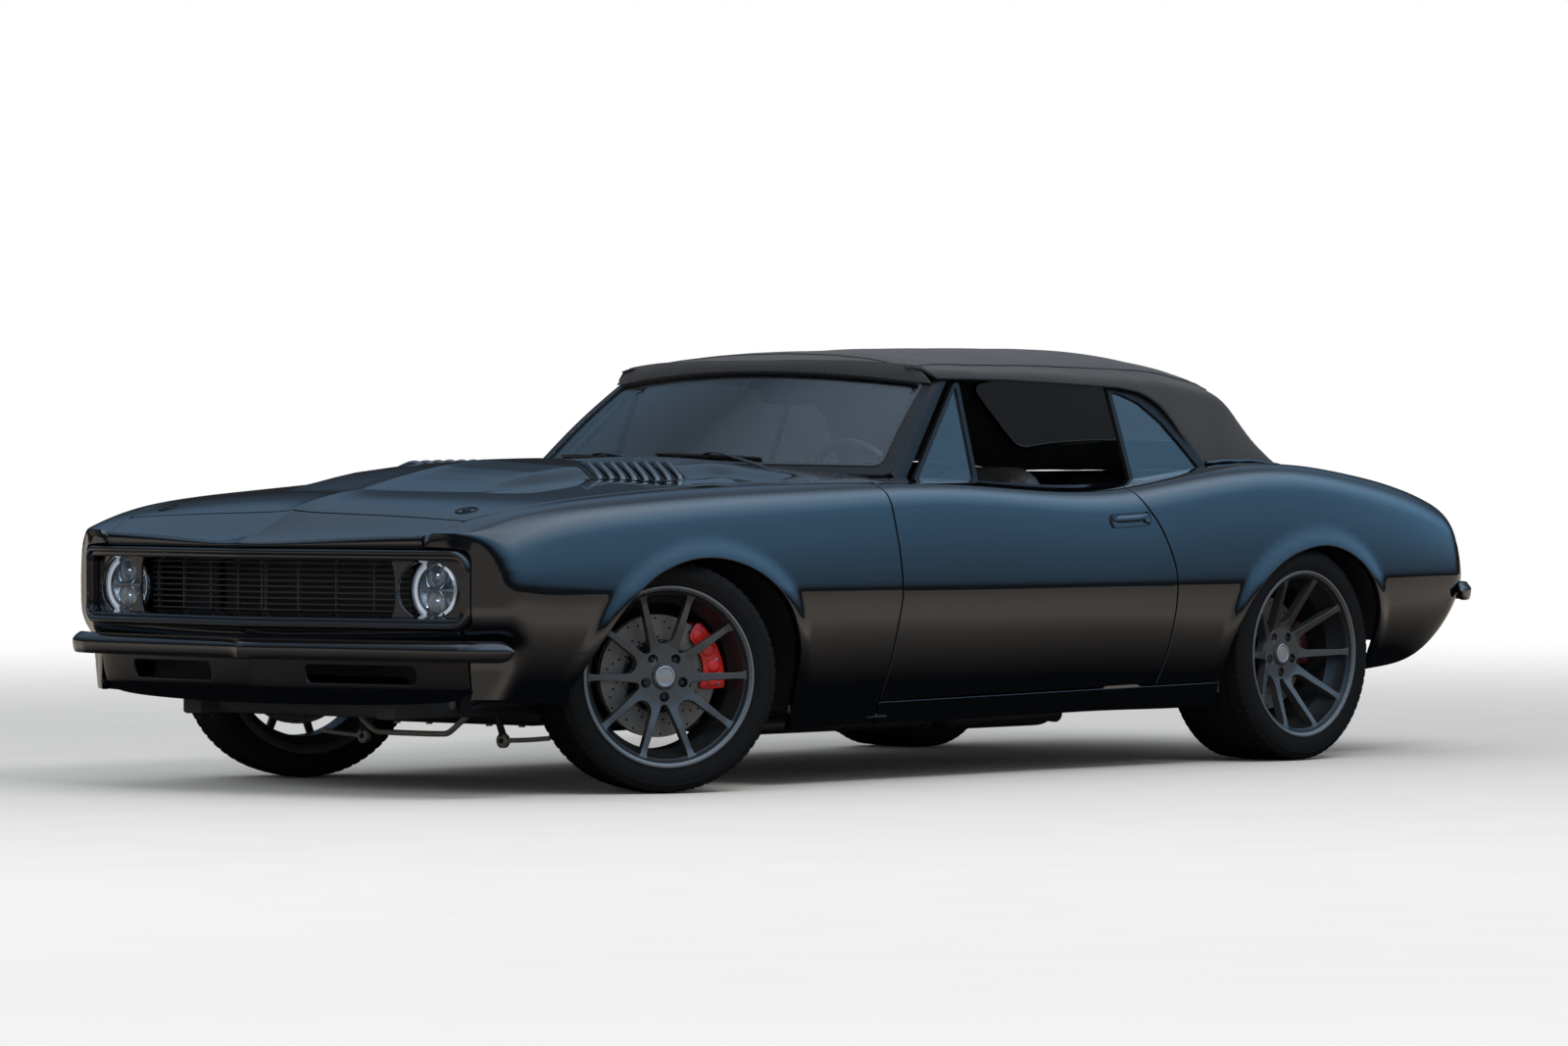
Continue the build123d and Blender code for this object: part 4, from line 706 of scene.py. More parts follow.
def colour_ramp(tree, value, stops):
    """The output of a colour ramp over a value, from (value, colour) stops."""
    ramp = tree.nodes.new("ShaderNodeValToRGB")
    tree.links.new(value, ramp.inputs["Fac"])
    ends = ramp.color_ramp.elements
    ends[0].position, ends[1].position = stops[0][0], stops[-1][0]
    ends[0].color, ends[1].color = (*stops[0][1], 1), (*stops[-1][1], 1)
    for at, colour in stops[1:-1]:
        ends.new(at).color = (*colour, 1)
    return ramp.outputs[0]


def blend(tree, share, first, second, kind="MIX"):
    """The output of a colour mix. Each colour is a socket or a fixed value."""
    made = tree.nodes.new("ShaderNodeMixRGB")
    made.blend_type = kind
    tree.links.new(share, made.inputs[0])
    for place, value in zip(made.inputs[1:3], (first, second)):
        if isinstance(value, tuple):
            place.default_value = (*value, 1)
        else:
            tree.links.new(value, place)
    return made.outputs[0]


def finish(name, colour, rough, metal=0.0, coat=0.0, scale=60.0, vary=0.15, bump=0.0, bump_scale=300.0, ior=1.5,
           spread=0.05, transmission=0.0, specular=0.5):
    """A procedural finish: noise moves the colour and the roughness a little, and can raise a fine grain."""
    m = bpy.data.materials.new(name)
    m.use_nodes = True
    tree = m.node_tree
    bsdf = tree.nodes["Principled BSDF"]
    coords = tree.nodes.new("ShaderNodeTexCoord")
    noise = node(tree, "ShaderNodeTexNoise", Scale=scale, Detail=6.0)
    tree.links.new(coords.outputs["Object"], noise.inputs["Vector"])
    ramp = tree.nodes.new("ShaderNodeMixRGB")
    ramp.name = "colour"
    low = [c * (1 - vary) for c in colour[:3]] + [1]
    high = [min(1, c * (1 + vary)) for c in colour[:3]] + [1]
    ramp.inputs[1].default_value, ramp.inputs[2].default_value = low, high
    tree.links.new(noise.outputs["Fac"], ramp.inputs[0])
    tree.links.new(ramp.outputs[0], bsdf.inputs["Base Color"])
    spread_range = tree.nodes.new("ShaderNodeMapRange")
    spread_range.inputs["To Min"].default_value = max(0.0, rough - spread)
    spread_range.inputs["To Max"].default_value = min(1.0, rough + spread)
    tree.links.new(noise.outputs["Fac"], spread_range.inputs["Value"])
    tree.links.new(spread_range.outputs[0], bsdf.inputs["Roughness"])
    bsdf.inputs["Metallic"].default_value = metal
    bsdf.inputs["IOR"].default_value = ior
    bsdf.inputs["Specular IOR Level"].default_value = specular
    bsdf.inputs["Coat Weight"].default_value = coat
    bsdf.inputs["Coat Roughness"].default_value = 0.03
    bsdf.inputs["Transmission Weight"].default_value = transmission
    if bump:
        grain = node(tree, "ShaderNodeTexNoise", Scale=bump_scale, Detail=4.0)
        tree.links.new(coords.outputs["Object"], grain.inputs["Vector"])
        rise = tree.nodes.new("ShaderNodeBump")
        rise.inputs["Strength"].default_value = bump
        rise.inputs["Distance"].default_value = 0.001
        tree.links.new(grain.outputs["Fac"], rise.inputs["Height"])
        tree.links.new(rise.outputs[0], bsdf.inputs["Normal"])
    return m


PAINT = finish("paint", (0.0011, 0.0016, 0.0026), 0.03, coat=1.0, vary=0.2, spread=0.01, specular=0.75)
INNER = finish("inner", (0.012, 0.012, 0.013), 0.45, vary=0.3)
FRAME_BLACK = finish("frame_black", (0.006, 0.006, 0.007), 0.4, vary=0.25, specular=0.25)
TRIM = finish("trim", (0.010, 0.010, 0.011), 0.28, coat=0.3, vary=0.3)
CHASSIS = finish("chassis", (0.018, 0.018, 0.019), 0.5, vary=0.35, bump=0.15)


# Body panels
BLACK = [PAINT, INNER]
CREASE_ROWS = [(GIRTH[1], girth(1 + CREASE_ROUND) - GIRTH[1])]
DOOR_FRONT = [(578, 900), (576, 836), (565, 740), (556, 660), (553, 568), (556, 520), (566, 470), (585, 360),
              (609, 236)]
DOOR_FRONT_X, DOOR_REAR_X = 577.5, -560.5
DOOR_REAR = [(-560, 900), (-561, 835), (-590, 787), (-627, 745), (-655, 703), (-678, 656), (-695, 610), (-701, 561),
             (-698, 490), (-687, 421), (-668, 330), (-640, 243)]
BELT_Y = 752.0
HOOD_EDGE = [(2242, 628), (2200, 643), (2120, 671), (1980, 713), (1800, 735), (1300, 742), (700, 745), (578, 745)]


def join(*parts):
    """One closed outline from lines that follow one another, and each point's part number."""
    out, tags = [], []
    for k, part in enumerate(parts):
        for q in np.asarray(part):
            if not out or np.linalg.norm(out[-1] - q) > 1.0:
                out.append(np.asarray(q, float))
                tags.append(k)
    while np.linalg.norm(out[0] - out[-1]) < 1.0:
        out.pop()
        tags.pop()
    return np.array(out), np.array(tags)


def spaced(a, b, step=14.0):
    """Evenly spaced points from a to b, both included."""
    a, b = np.array(a, float), np.array(b, float)
    n = max(2, int(np.linalg.norm(b - a) / step) + 1)
    return a + (b - a) * np.linspace(0, 1, n)[:, None]


def door_line(points, x, top_y):
    """A door's cut line from the sill up over the shoulder, as (u, v)."""
    low = side_uv(smooth_line([p for p in points if p[1] < 850], 12))[::-1]
    over = plan_uv(spaced((x, 800), (x, top_y), 12))
    return np.vstack([low[low[:, 1] < over[0, 1]], over])


SEAM_Y = 732.0


def build_fender():
    door = door_line(DOOR_FRONT, DOOR_FRONT_X, 748)
    foot = spaced((612, 0.5), door[0])
    crest = plan_uv(smooth_line(HOOD_EDGE[::-1], 14))
    crest = crest[crest[:, 0] < 2243]
    face = [(2243, 632, 696), (2236, 660, 694), (2226, 700, 692), (2216, 735, 690), (2206, 757, 684), (2198, 766, 668),
            (2198, 767, 640), (2198, 767, 580), (2198, 767, 520), (2195, 767, 492), (2197, 760, 477), (2205, 745, 468)]
    face = uv_near(side_patch, smooth_line(face, 10))
    under = uv_near(side_patch, smooth_line([(2190, SEAM_Y, 455), (2172, SEAM_Y, 425), (2166, SEAM_Y, 380),
                                             (2160, SEAM_Y, 340), (2150, SEAM_Y, 300)], 12))
    bottom = spaced((under[-1, 0], 0.5), (1885, 0.5))
    arch = side_uv(smooth_line(FRONT_ARCH, 10))
    arch = arch[arch[:, 1] > 1.5]
    tail = spaced((984, 0.5), (626, 0.5))
    return join(foot, door, crest, face, under, bottom, arch, tail)


def arch_part(tags, number, value, other):
    """One value on the points that come from one part of an outline, and another elsewhere."""
    return np.where(tags == number, value, other)


outline, tags = build_fender()
shell = sheet_metal(side_patch, outline, 18.0, spacing=18.0, rows=CREASE_ROWS,
                    gap=arch_part(tags, 6, 0.0, PANEL_GAP / 2), hem=arch_part(tags, 6, 5.0, HEM))


pair(shell, "fender", "root", BLACK, "body_paint", ("front_fenders",))

# Doors
front, rear = door_line(DOOR_FRONT, DOOR_FRONT_X, BELT_Y), door_line(DOOR_REAR, DOOR_REAR_X, BELT_Y)
belt = plan_uv(smooth_line([(560, BELT_Y), (200, BELT_Y), (-200, BELT_Y), (-545, BELT_Y)], 14))
sill = side_uv(spaced((-632, 251), (600, 235)))
outline = join(front, belt, rear[::-1], sill)[0]
shell = sheet_metal(side_patch, outline, 72.0, rows=CREASE_ROWS)
pair(shell, "door", "door_left", [PAINT, TRIM], "body_paint", ("door_left",))

# Rocker panels
rocker = side_uv(spaced((607, 235), (-938, 252)))
outline = join(spaced((607, 0.5), rocker[0]), rocker, spaced(rocker[-1], (-950, 0.5)),
               spaced((-938, 0.5), (598, 0.5)))[0]
shell = sheet_metal(side_patch, outline, 30.0)
pair(shell, "rocker", "root", BLACK, "body_paint", ("rocker_panels",))

# Rear quarters, with the panel behind the cloth top
DECK_FRONT, DECK_REAR, DECK_HALF, DECK_CORNER = -1765.0, -2236.0, 600.0, 38.0
QUARTER_TOP = [(-575, 752), (-700, 750), (-850, 748), (-1000, 742), (-1050, 728), (-1100, 712), (-1250, 680),
               (-1400, 645), (-1560, 612), (-1640, 590), (-1690, 540), (-1708, 430), (-1716, 200), (-1718, 8)]
deck_corner = [(DECK_FRONT - DECK_CORNER + DECK_CORNER * math.cos(a),
                DECK_HALF - DECK_CORNER + DECK_CORNER * math.sin(a)) for a in np.linspace(0, math.pi / 2, 7)]
rear = door_line(DOOR_REAR, DOOR_REAR_X, BELT_Y)
side_top = plan_uv(smooth_line(QUARTER_TOP, 14))
middle = np.array([(-1718.0, GIRTH[3]), (-1730.0, GIRTH[3]), (-1745.0, GIRTH[3]), (-1765.0, GIRTH[3])])
deck = plan_uv(np.vstack([spaced((DECK_FRONT, 12), (DECK_FRONT, DECK_HALF - 45)), deck_corner,
                          spaced((DECK_FRONT - 45, DECK_HALF), (-2236, DECK_HALF))]))
tail = spaced((-2252, plan_uv([(-2252, DECK_HALF)])[0, 1]), (-2252, 0.5), 12)
low = spaced((-2240, 0.5), (-1692, 0.5))
arch = side_uv(smooth_line(REAR_ARCH, 10))[::-1]
arch = arch[arch[:, 1] > 1.5]
arch = arch[(arch[:, 0] < -1100) | (arch[:, 1] > side_uv([(-950, 253)])[0, 1])]
front_low = side_uv(spaced((-948, 252.5), (-650, 251)))
outline, tags = join(rear, side_top, middle, deck, tail, low, arch, front_low)
centre = np.abs(outline[:, 1] - GIRTH[3]) < 1
gap = np.where(centre, 0.0, np.where(tags == 6, 0.0, PANEL_GAP / 2))
hem = np.where(centre, 0.0, np.where(tags == 6, 5.0, np.where(tags == 4, 9.0, HEM)))
shell = sheet_metal(side_patch, outline, 16.0, spacing=18.0, rows=CREASE_ROWS, gap=gap, hem=hem)
pair(shell, "quarter", "root", BLACK, "body_paint", ("rear_quarters",))


# Hood, header, deck lid and cowl
def plan_outline(front, side, rear):
    """A closed plan outline that is the same on both sides, from its front, left side and rear lines."""
    half = np.vstack([front, side, rear])
    return join(half, half[::-1] * (1, -1))[0]


hood_side = smooth_line([(2108, 672), (1980, 713), (1800, 735), (1300, 742), (712, 745)], 14)
outline = plan_outline(spaced((2120, 0), (2120, 660)), hood_side, spaced((700, 738), (700, 0)))
shell = sheet_metal(top_patch, outline, 22.0, spacing=20.0)
shell.make("hood", "hood", BLACK, "body_paint", ("hood",))

nose_front = smooth_line([(2337, 0), (2283, 320), (2240, 618)], 12)
outline = plan_outline(nose_front, smooth_line([(2232, 630), (2200, 643), (2126, 669)], 12),
                       spaced((2120, 660), (2120, 0)))
front_edge = outline[:, 0] > np.interp(np.abs(outline[:, 1]), [0, 320, 618], [2330, 2276, 2233])
shell = sheet_metal(top_patch, outline, 26.0, spacing=20.0, gap=np.where(front_edge, 0.0, PANEL_GAP / 2),
                    hem=np.where(front_edge, 9.0 - (9.0 - HEM) * smoothstep(480, 612, np.abs(outline[:, 1])), HEM))
shell.make("header", "root", BLACK, "body_paint", ("header_panel",))
roll = Form()
rings = []
for y in np.linspace(-627, 627, 105):
    edge_x = float(np.interp(abs(y), nose_front[:, 1], nose_front[:, 0]))
    top_z = top_patch.at(np.array([[edge_x, y]]))[0, 2]
    rings.append(np.array([(edge_x - 26, y, top_z - 2.0), (edge_x - 10, y, top_z - 0.6), (edge_x - 1, y, top_z - 0.4),
                           (edge_x + 3, y, top_z - 4.0), (edge_x + 4.5, y, top_z - 9.0),
                           (edge_x + 3.5, y, (top_z + 690) / 2 - 2), (edge_x + 0.5, y, 693.0), (edge_x - 4, y, 690.6),
                           (edge_x - 24, y, 690.4)]))
roll.loft(rings, 0, closed=False, caps=(False, False))
roll.make("header_face", "root", [PAINT], "body_paint", angle=50)

deck_side = np.vstack([deck_corner, spaced((DECK_FRONT - 45, DECK_HALF), (DECK_REAR + 14, DECK_HALF))])
outline = plan_outline(spaced((DECK_FRONT, 0), (DECK_FRONT, DECK_HALF - 45)), deck_side,
                       spaced((DECK_REAR, DECK_HALF - 8), (DECK_REAR, 0)))
shell = sheet_metal(top_patch, outline, 20.0)
shell.make("deck_lid", "deck_lid", BLACK, "body_paint", ("deck_lid",))

cowl_patch = set_back(top_patch, 9.0)
outline = plan_outline(spaced((693, 0), (693, 725)), smooth_line([(685, 736), (600, 738), (480, 738)], 14),
                       smooth_line([(440, 730), (452, 640), (520, 420), (560, 210), (575, 0)], 14))
shell = sheet_metal(cowl_patch, outline, 6.0, spacing=22.0, gap=0.5)
shell.make("cowl", "root", [TRIM, INNER], "trim_black", ("cowl",))


# Nose below the header: the strip under the mouth and the valance
def nose_x(y):
    """How far forward the nose reaches at places across the car, smoothly."""
    y = np.abs(y)
    return np.interp(y, NOSE_YS, NOSE_XS)


def make_nose_line():
    path = smooth_line([(0, 2345), (320, 2297), (560, 2260), (680, 2238), (745, 2216), (800, 2180), (850, 2140),
                        (960, 2075)], 4)
    return path[:, 0], path[:, 1]


NOSE_YS, NOSE_XS = make_nose_line()


def valance_setback(z):
    return np.interp(z, [250, 300, 388, 425, 455, 475], [100, 66, 50, 48, 26, 12])


def build_valance():
    ys = np.arange(-SEAM_Y, SEAM_Y + 1, 12.0)
    zs = np.arange(250, 481, 6.0)
    points = np.zeros((len(ys), len(zs), 3))
    for j, z in enumerate(zs):
        points[:, j, 0] = nose_x(ys) - valance_setback(z)
        points[:, j, 1], points[:, j, 2] = ys, z
    return Patch(ys, zs, points)


valance_patch = build_valance()


def rounded_rect(y0, y1, z0, z1, r, step=10.0):
    """A closed outline of a rectangle with round corners."""
    out = []
    for cy, cz, a0 in ((y1 - r, z1 - r, 0), (y0 + r, z1 - r, 90), (y0 + r, z0 + r, 180), (y1 - r, z0 + r, 270)):
        for a in np.radians(np.linspace(a0, a0 + 90, 7)):
            out.append((cy + r * math.cos(a), cz + r * math.sin(a)))
    loop = np.array(out + out[:1])
    fine = [loop[0]]
    for a, b in zip(loop[:-1], loop[1:]):
        n = max(1, int(np.linalg.norm(b - a) / step))
        fine.extend(a + (b - a) * k / n for k in range(1, n + 1))
    return np.array(fine[:-1])


outline = join(spaced((-SEAM_Y, 468), (SEAM_Y, 468)), spaced((SEAM_Y, 460), (SEAM_Y, 300)),
               smooth_line([(SEAM_Y - 4, 292), (640, 268), (400, 256), (0, 253), (-400, 256), (-640, 268),
                            (-SEAM_Y + 4, 292)], 14), spaced((-SEAM_Y, 300), (-SEAM_Y, 460)))[0]
openings = [rounded_rect(190, 560, 318, 366, 14), rounded_rect(-560, -190, 318, 366, 14)]
shell = sheet_metal(valance_patch, outline, 10.0, spacing=16.0, holes=openings, hole_hem=4.0)
shell.make("valance", "root", BLACK, "body_paint", ("front_valance",))

# Tail panel, its edge taken from the body's last section, on the left from bottom to top
edge = body_points(np.full(60, -2256.0), np.linspace(0.02, 2.999, 60))
mid = np.array([0.0, 620.0])
shrunk = mid + (edge - mid) * (1 - 12.0 / np.maximum(np.linalg.norm(edge - mid, axis=1), 60))[:, None]
outline = join(shrunk, (shrunk * (-1, 1))[::-1], spaced((-shrunk[0, 0], shrunk[0, 1]), (shrunk[0, 0], shrunk[0, 1])))[0]
ys, zs = np.arange(-860, 861, 20.0), np.arange(480, 781, 10.0)
gy, gz = np.meshgrid(ys, zs, indexing="ij")
tail_patch = Patch(ys, zs, np.stack([-2262.0 + 6 * ((gz - 620) / 130) ** 2, gy, gz], 2), -1)
lamp_holes = [rounded_rect(330, 590, 600, 690, 18), rounded_rect(-590, -330, 600, 690, 18)]
shell = sheet_metal(tail_patch, outline, 14.0, spacing=24.0, gap=2.0, hem=3.0, holes=lamp_holes, hole_hem=4.0)
shell.make("tail", "root", BLACK, "body_paint", ("tail_panel",))

# Mouth surround: a gloss ring with rounded steps, then a funnel back to the grille
MOUTH_Z0, MOUTH_Z1, MOUTH_HALF = 471.0, 689.0, 764.0
LAMP_X, LAMP_Y, LAMP_Z, LAMP_R = 2170.0, 615.0, 578.0, 88.0
GLOSS = finish("gloss", (0.006, 0.006, 0.007), 0.05, coat=1.0, vary=0.2, spread=0.01)
# the grille bars' own dark colour raised to a lighter grey, as a painted highlight for the light along their tops
GRILLE_LIT_GREY = finish("grille_bars", (0.045, 0.045, 0.047), 0.4, coat=0.2, vary=0.2)


def mouth_ring(inward, back, radius=48.0):
    """A ring of points inside the mouth's edge by a distance, and behind the nose."""
    r = max(radius - inward, 10.0)
    y1, z0, z1 = MOUTH_HALF - inward, MOUTH_Z0 + inward, MOUTH_Z1 - inward
    out = []
    corners = ((y1 - r, z1 - r, 0), (-y1 + r, z1 - r, 90), (-y1 + r, z0 + r, 180), (y1 - r, z0 + r, 270))
    for k, (cy, cz, a0) in enumerate(corners):
        for a in np.radians(np.linspace(a0, a0 + 90, 9)):
            out.append((cy + r * math.cos(a), cz + r * math.sin(a)))
        ny, nz, _ = corners[(k + 1) % 4]
        a = math.radians(a0 + 90)
        start = np.array([cy + r * math.cos(a), cz + r * math.sin(a)])
        end = np.array([ny + r * math.cos(a), nz + r * math.sin(a)])
        n = 40 if k in (0, 2) else 8
        out.extend(start + (end - start) * i / n for i in range(1, n))
    out = np.array(out)
    return np.stack([nose_x(out[:, 0]) - back, out[:, 0], out[:, 1]], 1)


def build_surround():
    form = Form()
    profile = [(0, 60), (0, 8), (1.5, 3.5), (4, 1.5), (8, 1), (13, 1.5), (15.5, 4), (16.5, 9), (18, 12), (22, 12.5),
               (27, 13.5), (29, 16), (30, 24), (33, 34), (37, 58), (40, 90), (41, 118)]
    form.loft([mouth_ring(a, b) for a, b in profile], 0, caps=(False, False))
    return form


surround = build_surround()
surround.make("mouth_surround", "root", [GLOSS], "trim_black", ("grille_surround",), angle=50)


# Lamp plates with their round tunnels
def build_lamp_plate():
    """The left lamp's plate behind the mouth's edge, with a round hole for the lamp."""
    ys, zs = np.arange(470, 761, 8.0), np.arange(490, 681, 8.0)
    gy, gz = np.meshgrid(ys, zs, indexing="ij")
    points = np.stack([nose_x(gy) - 40.0, gy, gz], 2)
    patch = Patch(ys, zs, points)
    outline = join(smooth_line([(492, 661), (503, 630), (507, 580), (503, 530), (492, 500)], 8),
                   spaced((505, 499), (700, 499), 10),
                   smooth_line([(708, 500), (724, 512), (728, 545), (728, 615), (724, 648), (708, 661)], 8),
                   spaced((695, 662), (500, 662), 10))[0]
    hole = np.array([(LAMP_Y + (LAMP_R + 10) * math.cos(a), LAMP_Z + (LAMP_R - 7) * math.sin(a))
                     for a in circle(56)])
    shell = sheet_metal(patch, outline, 8.0, spacing=13.0, gap=0.0, hem=4.0, holes=[hole], hole_hem=5.0)
    return shell


plate = build_lamp_plate()
pair(plate, "lamp_plate", "root", [GLOSS, INNER], "trim_black")

GLASS_CLEAR = finish("glass_clear", (0.96, 0.98, 0.98), 0.0, transmission=1.0, vary=0.01, spread=0.0, ior=1.45)
CHROME = finish("chrome", (0.82, 0.83, 0.85), 0.06, metal=1.0, vary=0.03, spread=0.02)
LAMP_WHITE = finish("lamp_white", (0.9, 0.93, 0.96), 0.25, coat=0.5, vary=0.03)
DOME = finish("lamp_dome", (0.55, 0.58, 0.62), 0.02, metal=0.35, coat=1.0, vary=0.25, scale=90.0, spread=0.01)


def glow(material, colour, strength):
    """Adds a faint light of its own to a finish, for the lamp's white bars."""
    bsdf = material.node_tree.nodes["Principled BSDF"]
    bsdf.inputs["Emission Color"].default_value = (*colour, 1)
    bsdf.inputs["Emission Strength"].default_value = strength


glow(LAMP_WHITE, (0.85, 0.92, 1.0), 0.35)


def arc_band(form, radius, x, a0, a1, width, depth, mat, steps=28):
    """A flat curved bar round the lamp's centre between two angles, proud of x by depth."""
    rings = []
    for a in np.radians(np.linspace(a0, a1, steps)):
        c, s = math.cos(a), math.sin(a)
        rings.append([(x + dx, LAMP_Y + (radius + dr) * c, LAMP_Z + (radius + dr) * s)
                      for dr, dx in ((-width / 2, 0), (-width / 2, depth), (width / 2, depth), (width / 2, 0))])
    form.loft([np.array(r) for r in rings], mat)


def build_lamp():
    """A round lamp: chrome-edged bowl, two stacked domes between white C-shaped bars, under a clear lens."""
    form = Form()
    x = LAMP_X
    form.turn([(LAMP_R + 9, -62), (LAMP_R + 9, 12), (LAMP_R + 6, 16), (LAMP_R + 1, 15), (LAMP_R - 2, 8)],
              (x, LAMP_Y, LAMP_Z), (1, 0, 0), 72, 0)
    form.turn([(LAMP_R - 1, 10), (LAMP_R - 3, 12), (LAMP_R - 7, 10), (LAMP_R - 8, 2), (LAMP_R - 12, -10), (60, -36),
               (30, -44), (0.5, -46)], (x, LAMP_Y, LAMP_Z), (1, 0, 0), 72, 1)
    for dz, r in ((31.0, 29.0), (-31.0, 29.0)):
        at = (x - 34, LAMP_Y, LAMP_Z + dz)
        form.turn([(r + 6, -6), (r + 6, 12), (r + 4, 15), (r + 1, 14), (r, 8)], at, (1, 0, 0), 48, 2)
        form.turn([(r * math.cos(t), 8 + 16 * math.sin(t)) for t in np.radians(np.linspace(0, 88, 10))], at, (1, 0, 0),
                  48, 3)
    for a0, a1 in ((-62, 62), (118, 242)):
        arc_band(form, LAMP_R - 20, x - 14, a0, a1, 11.0, 8.0, 4)
    form.box(x - 34, x - 16, LAMP_Y - 56, LAMP_Y + 56, LAMP_Z - 4, LAMP_Z + 4, 1, 2.0)
    return form


def build_lens():
    form = Form()
    dome = [(LAMP_R - 1, 9), (LAMP_R - 3, 13)]
    dome += [((LAMP_R - 4) * math.cos(t), 13 + 15 * math.sin(t)) for t in np.radians(np.linspace(4, 89, 14))]
    form.turn(dome, (LAMP_X, LAMP_Y, LAMP_Z), (1, 0, 0), 72, 0)
    inner = [(r * 0.985, h - 2.5) for r, h in dome[::-1]]
    form.turn(inner, (LAMP_X, LAMP_Y, LAMP_Z), (1, 0, 0), 72, 0)
    return form


BOWL = finish("lamp_bowl", (0.30, 0.34, 0.40), 0.22, metal=0.35, vary=0.85, scale=28, spread=0.1)
pair(build_lamp(), "headlamp", "root", [GLOSS, BOWL, CHROME, DOME, LAMP_WHITE], "lamp_chrome", ("headlamps",))
pair(build_lens(), "headlamp_lens", "root", [GLASS_CLEAR], "clear_glass", angle=60)


def build_grille():
    """Thin bars that follow the nose, and a few uprights."""
    form = Form()
    for k in range(12):
        z = 484.0 + 16.4 * k
        ys = np.linspace(-520, 520, 53)
        rings = []
        for y in ys:
            x = nose_x(y) - 100.0
            rings.append(np.array([(x + 7 * math.cos(a) - 4, y, z + 2.6 * math.sin(a)) for a in circle(8)]))
        form.loft(rings, 0)
    for y in (-505, -380, -250, -120, -8, 8, 120, 250, 380, 505):
        x = nose_x(y) - 112.0
        form.box(x - 8, x + 6, y - 1.6, y + 1.6, 478, 672, 0, 0.8)
    return form


build_grille().make("grille_bars", "root", [GRILLE_LIT_GREY], "trim_black", ("grille",))


def blade(plan, low, high, lip, nose, end):
    """Half a bumper from the centre to its wrapped end: rings of a rounded blade along a plan line."""
    path = smooth_line(plan, 12)
    run = np.concatenate([[0], np.cumsum(np.linalg.norm(np.diff(path, axis=0), axis=1))])
    t = np.gradient(path, axis=0)
    t /= np.linalg.norm(t, axis=1)[:, None]
    out = np.stack([t[:, 1], -t[:, 0]], 1) * math.copysign(1.0, path[0, 0])
    rings = []
    for i, (x, y) in enumerate(path):
        near = max(0.0, 1 - (run[-1] - run[i]) / end)
        size = math.sqrt(max(1e-3, 1 - near ** 2)) if near > 0 else 1.0
        mid = (low + high) / 2
        half = (high - low) / 2 * size
        peak = nose * math.exp(-run[i] / 22.0)
        ring = []
        for a, b in ((-lip, 0.9), (-lip * 0.9, 1.0), (-lip * 0.6, 0.96), (-7, 0.62), (-2.5, 0.42), (-0.4, 0.3),
                     (0.2, 0.16), (0.0, -0.1), (-2.0, -0.55), (-5, -0.9), (-9, -1.0), (-lip * 0.8, -0.98),
                     (-lip, -0.85)):
            push = a * (0.35 + 0.65 * size) + (peak if a > -8 else peak * 0.5)
            ring.append((x + out[i, 0] * push, y + out[i, 1] * push, mid + b * half))
        rings.append(np.array(ring))
    return rings


def bumper(plan, low, high, lip, nose, end):
    """A whole bumper from its left half's rings."""
    form = Form()
    half = blade(plan, low, high, lip, nose, end)
    mirrored = [r * (1, -1, 1) for r in half[::-1]]
    form.loft(mirrored[:-1] + half, 0)
    return form


FRONT_BUMPER_PLAN = [(2336, 0), (2316, 120), (2288, 330), (2243, 690), (2222, 770), (2194, 826), (2166, 857),
                     (2134, 876)]
front_bumper = bumper(FRONT_BUMPER_PLAN, 382, 442, 34, 8, 46)
for y in (-385, 385):
    front_bumper.box(2112, 2270, y - 13, y + 13, 392, 424, 1, 3)
front_bumper.make("front_bumper", "root", [GLOSS, CHASSIS], "trim_black", ("front_bumper",), angle=40)

REAR_BUMPER_PLAN = [(-2344, 0), (-2338, 420), (-2316, 690), (-2288, 790), (-2252, 838), (-2200, 872), (-2134, 893)]
rear_bumper = bumper(REAR_BUMPER_PLAN, 476, 534, 24, 0, 40)
for y in (-400, 400):
    rear_bumper.box(-2330, -2256, y - 20, y + 20, 500, 520, 1, 3)
rear_bumper.make("rear_bumper", "root", [GLOSS, CHASSIS], "trim_black", ("rear_bumper",), angle=40)

LAMP_RED = finish("lamp_red", (0.28, 0.01, 0.008), 0.08, coat=1.0, vary=0.2, scale=200)


def build_tail_lamp():
    """A ribbed red lens in a stepped bezel with a divider."""
    form = Form()
    base = rounded_rect(331, 589, 601, 689, 18)
    made = []
    mid, half = np.array([460.0, 645.0]), np.array([129.0, 44.0])
    for inset, x in ((0, -2254), (0, -2268), (3, -2271), (8, -2271), (10, -2265)):
        made.append(np.column_stack([np.full(len(base), float(x)), mid + (base - mid) * ((half - inset) / half)]))
    form.loft(made, 0, caps=(False, False))
    for y0, y1 in ((343, 457), (463, 577)):
        ys = np.arange(y0, y1 + 0.1, 3.0)
        top, low = [], []
        for i, y in enumerate(ys):
            x = -2268.0 - (1.6 if i % 2 else 0.0)
            low.append((x, y, 613))
            top.append((x, y, 677))
        form.loft([np.array([(-2256, y, 613), l, t, (-2256, y, 677)]) for y, l, t in zip(ys, low, top)], 1)
    form.box(-2272, -2258, 457, 463, 611, 679, 0, 1.5)
    return form


pair(build_tail_lamp(), "tail_lamp", "root", [GLOSS, LAMP_RED], "lamp_red", ("tail_lamps",), angle=25)

# Wheels. Each is made round Z with its outer face up, then placed with that face outboard.
KINGPIN_Y, STEER = 700.0, math.radians(-26.5)
FRONT_WHEEL_Y, REAR_WHEEL_Y, FRONT_DISC, REAR_DISC = 733.0, 747.0, -8.0, -42.0
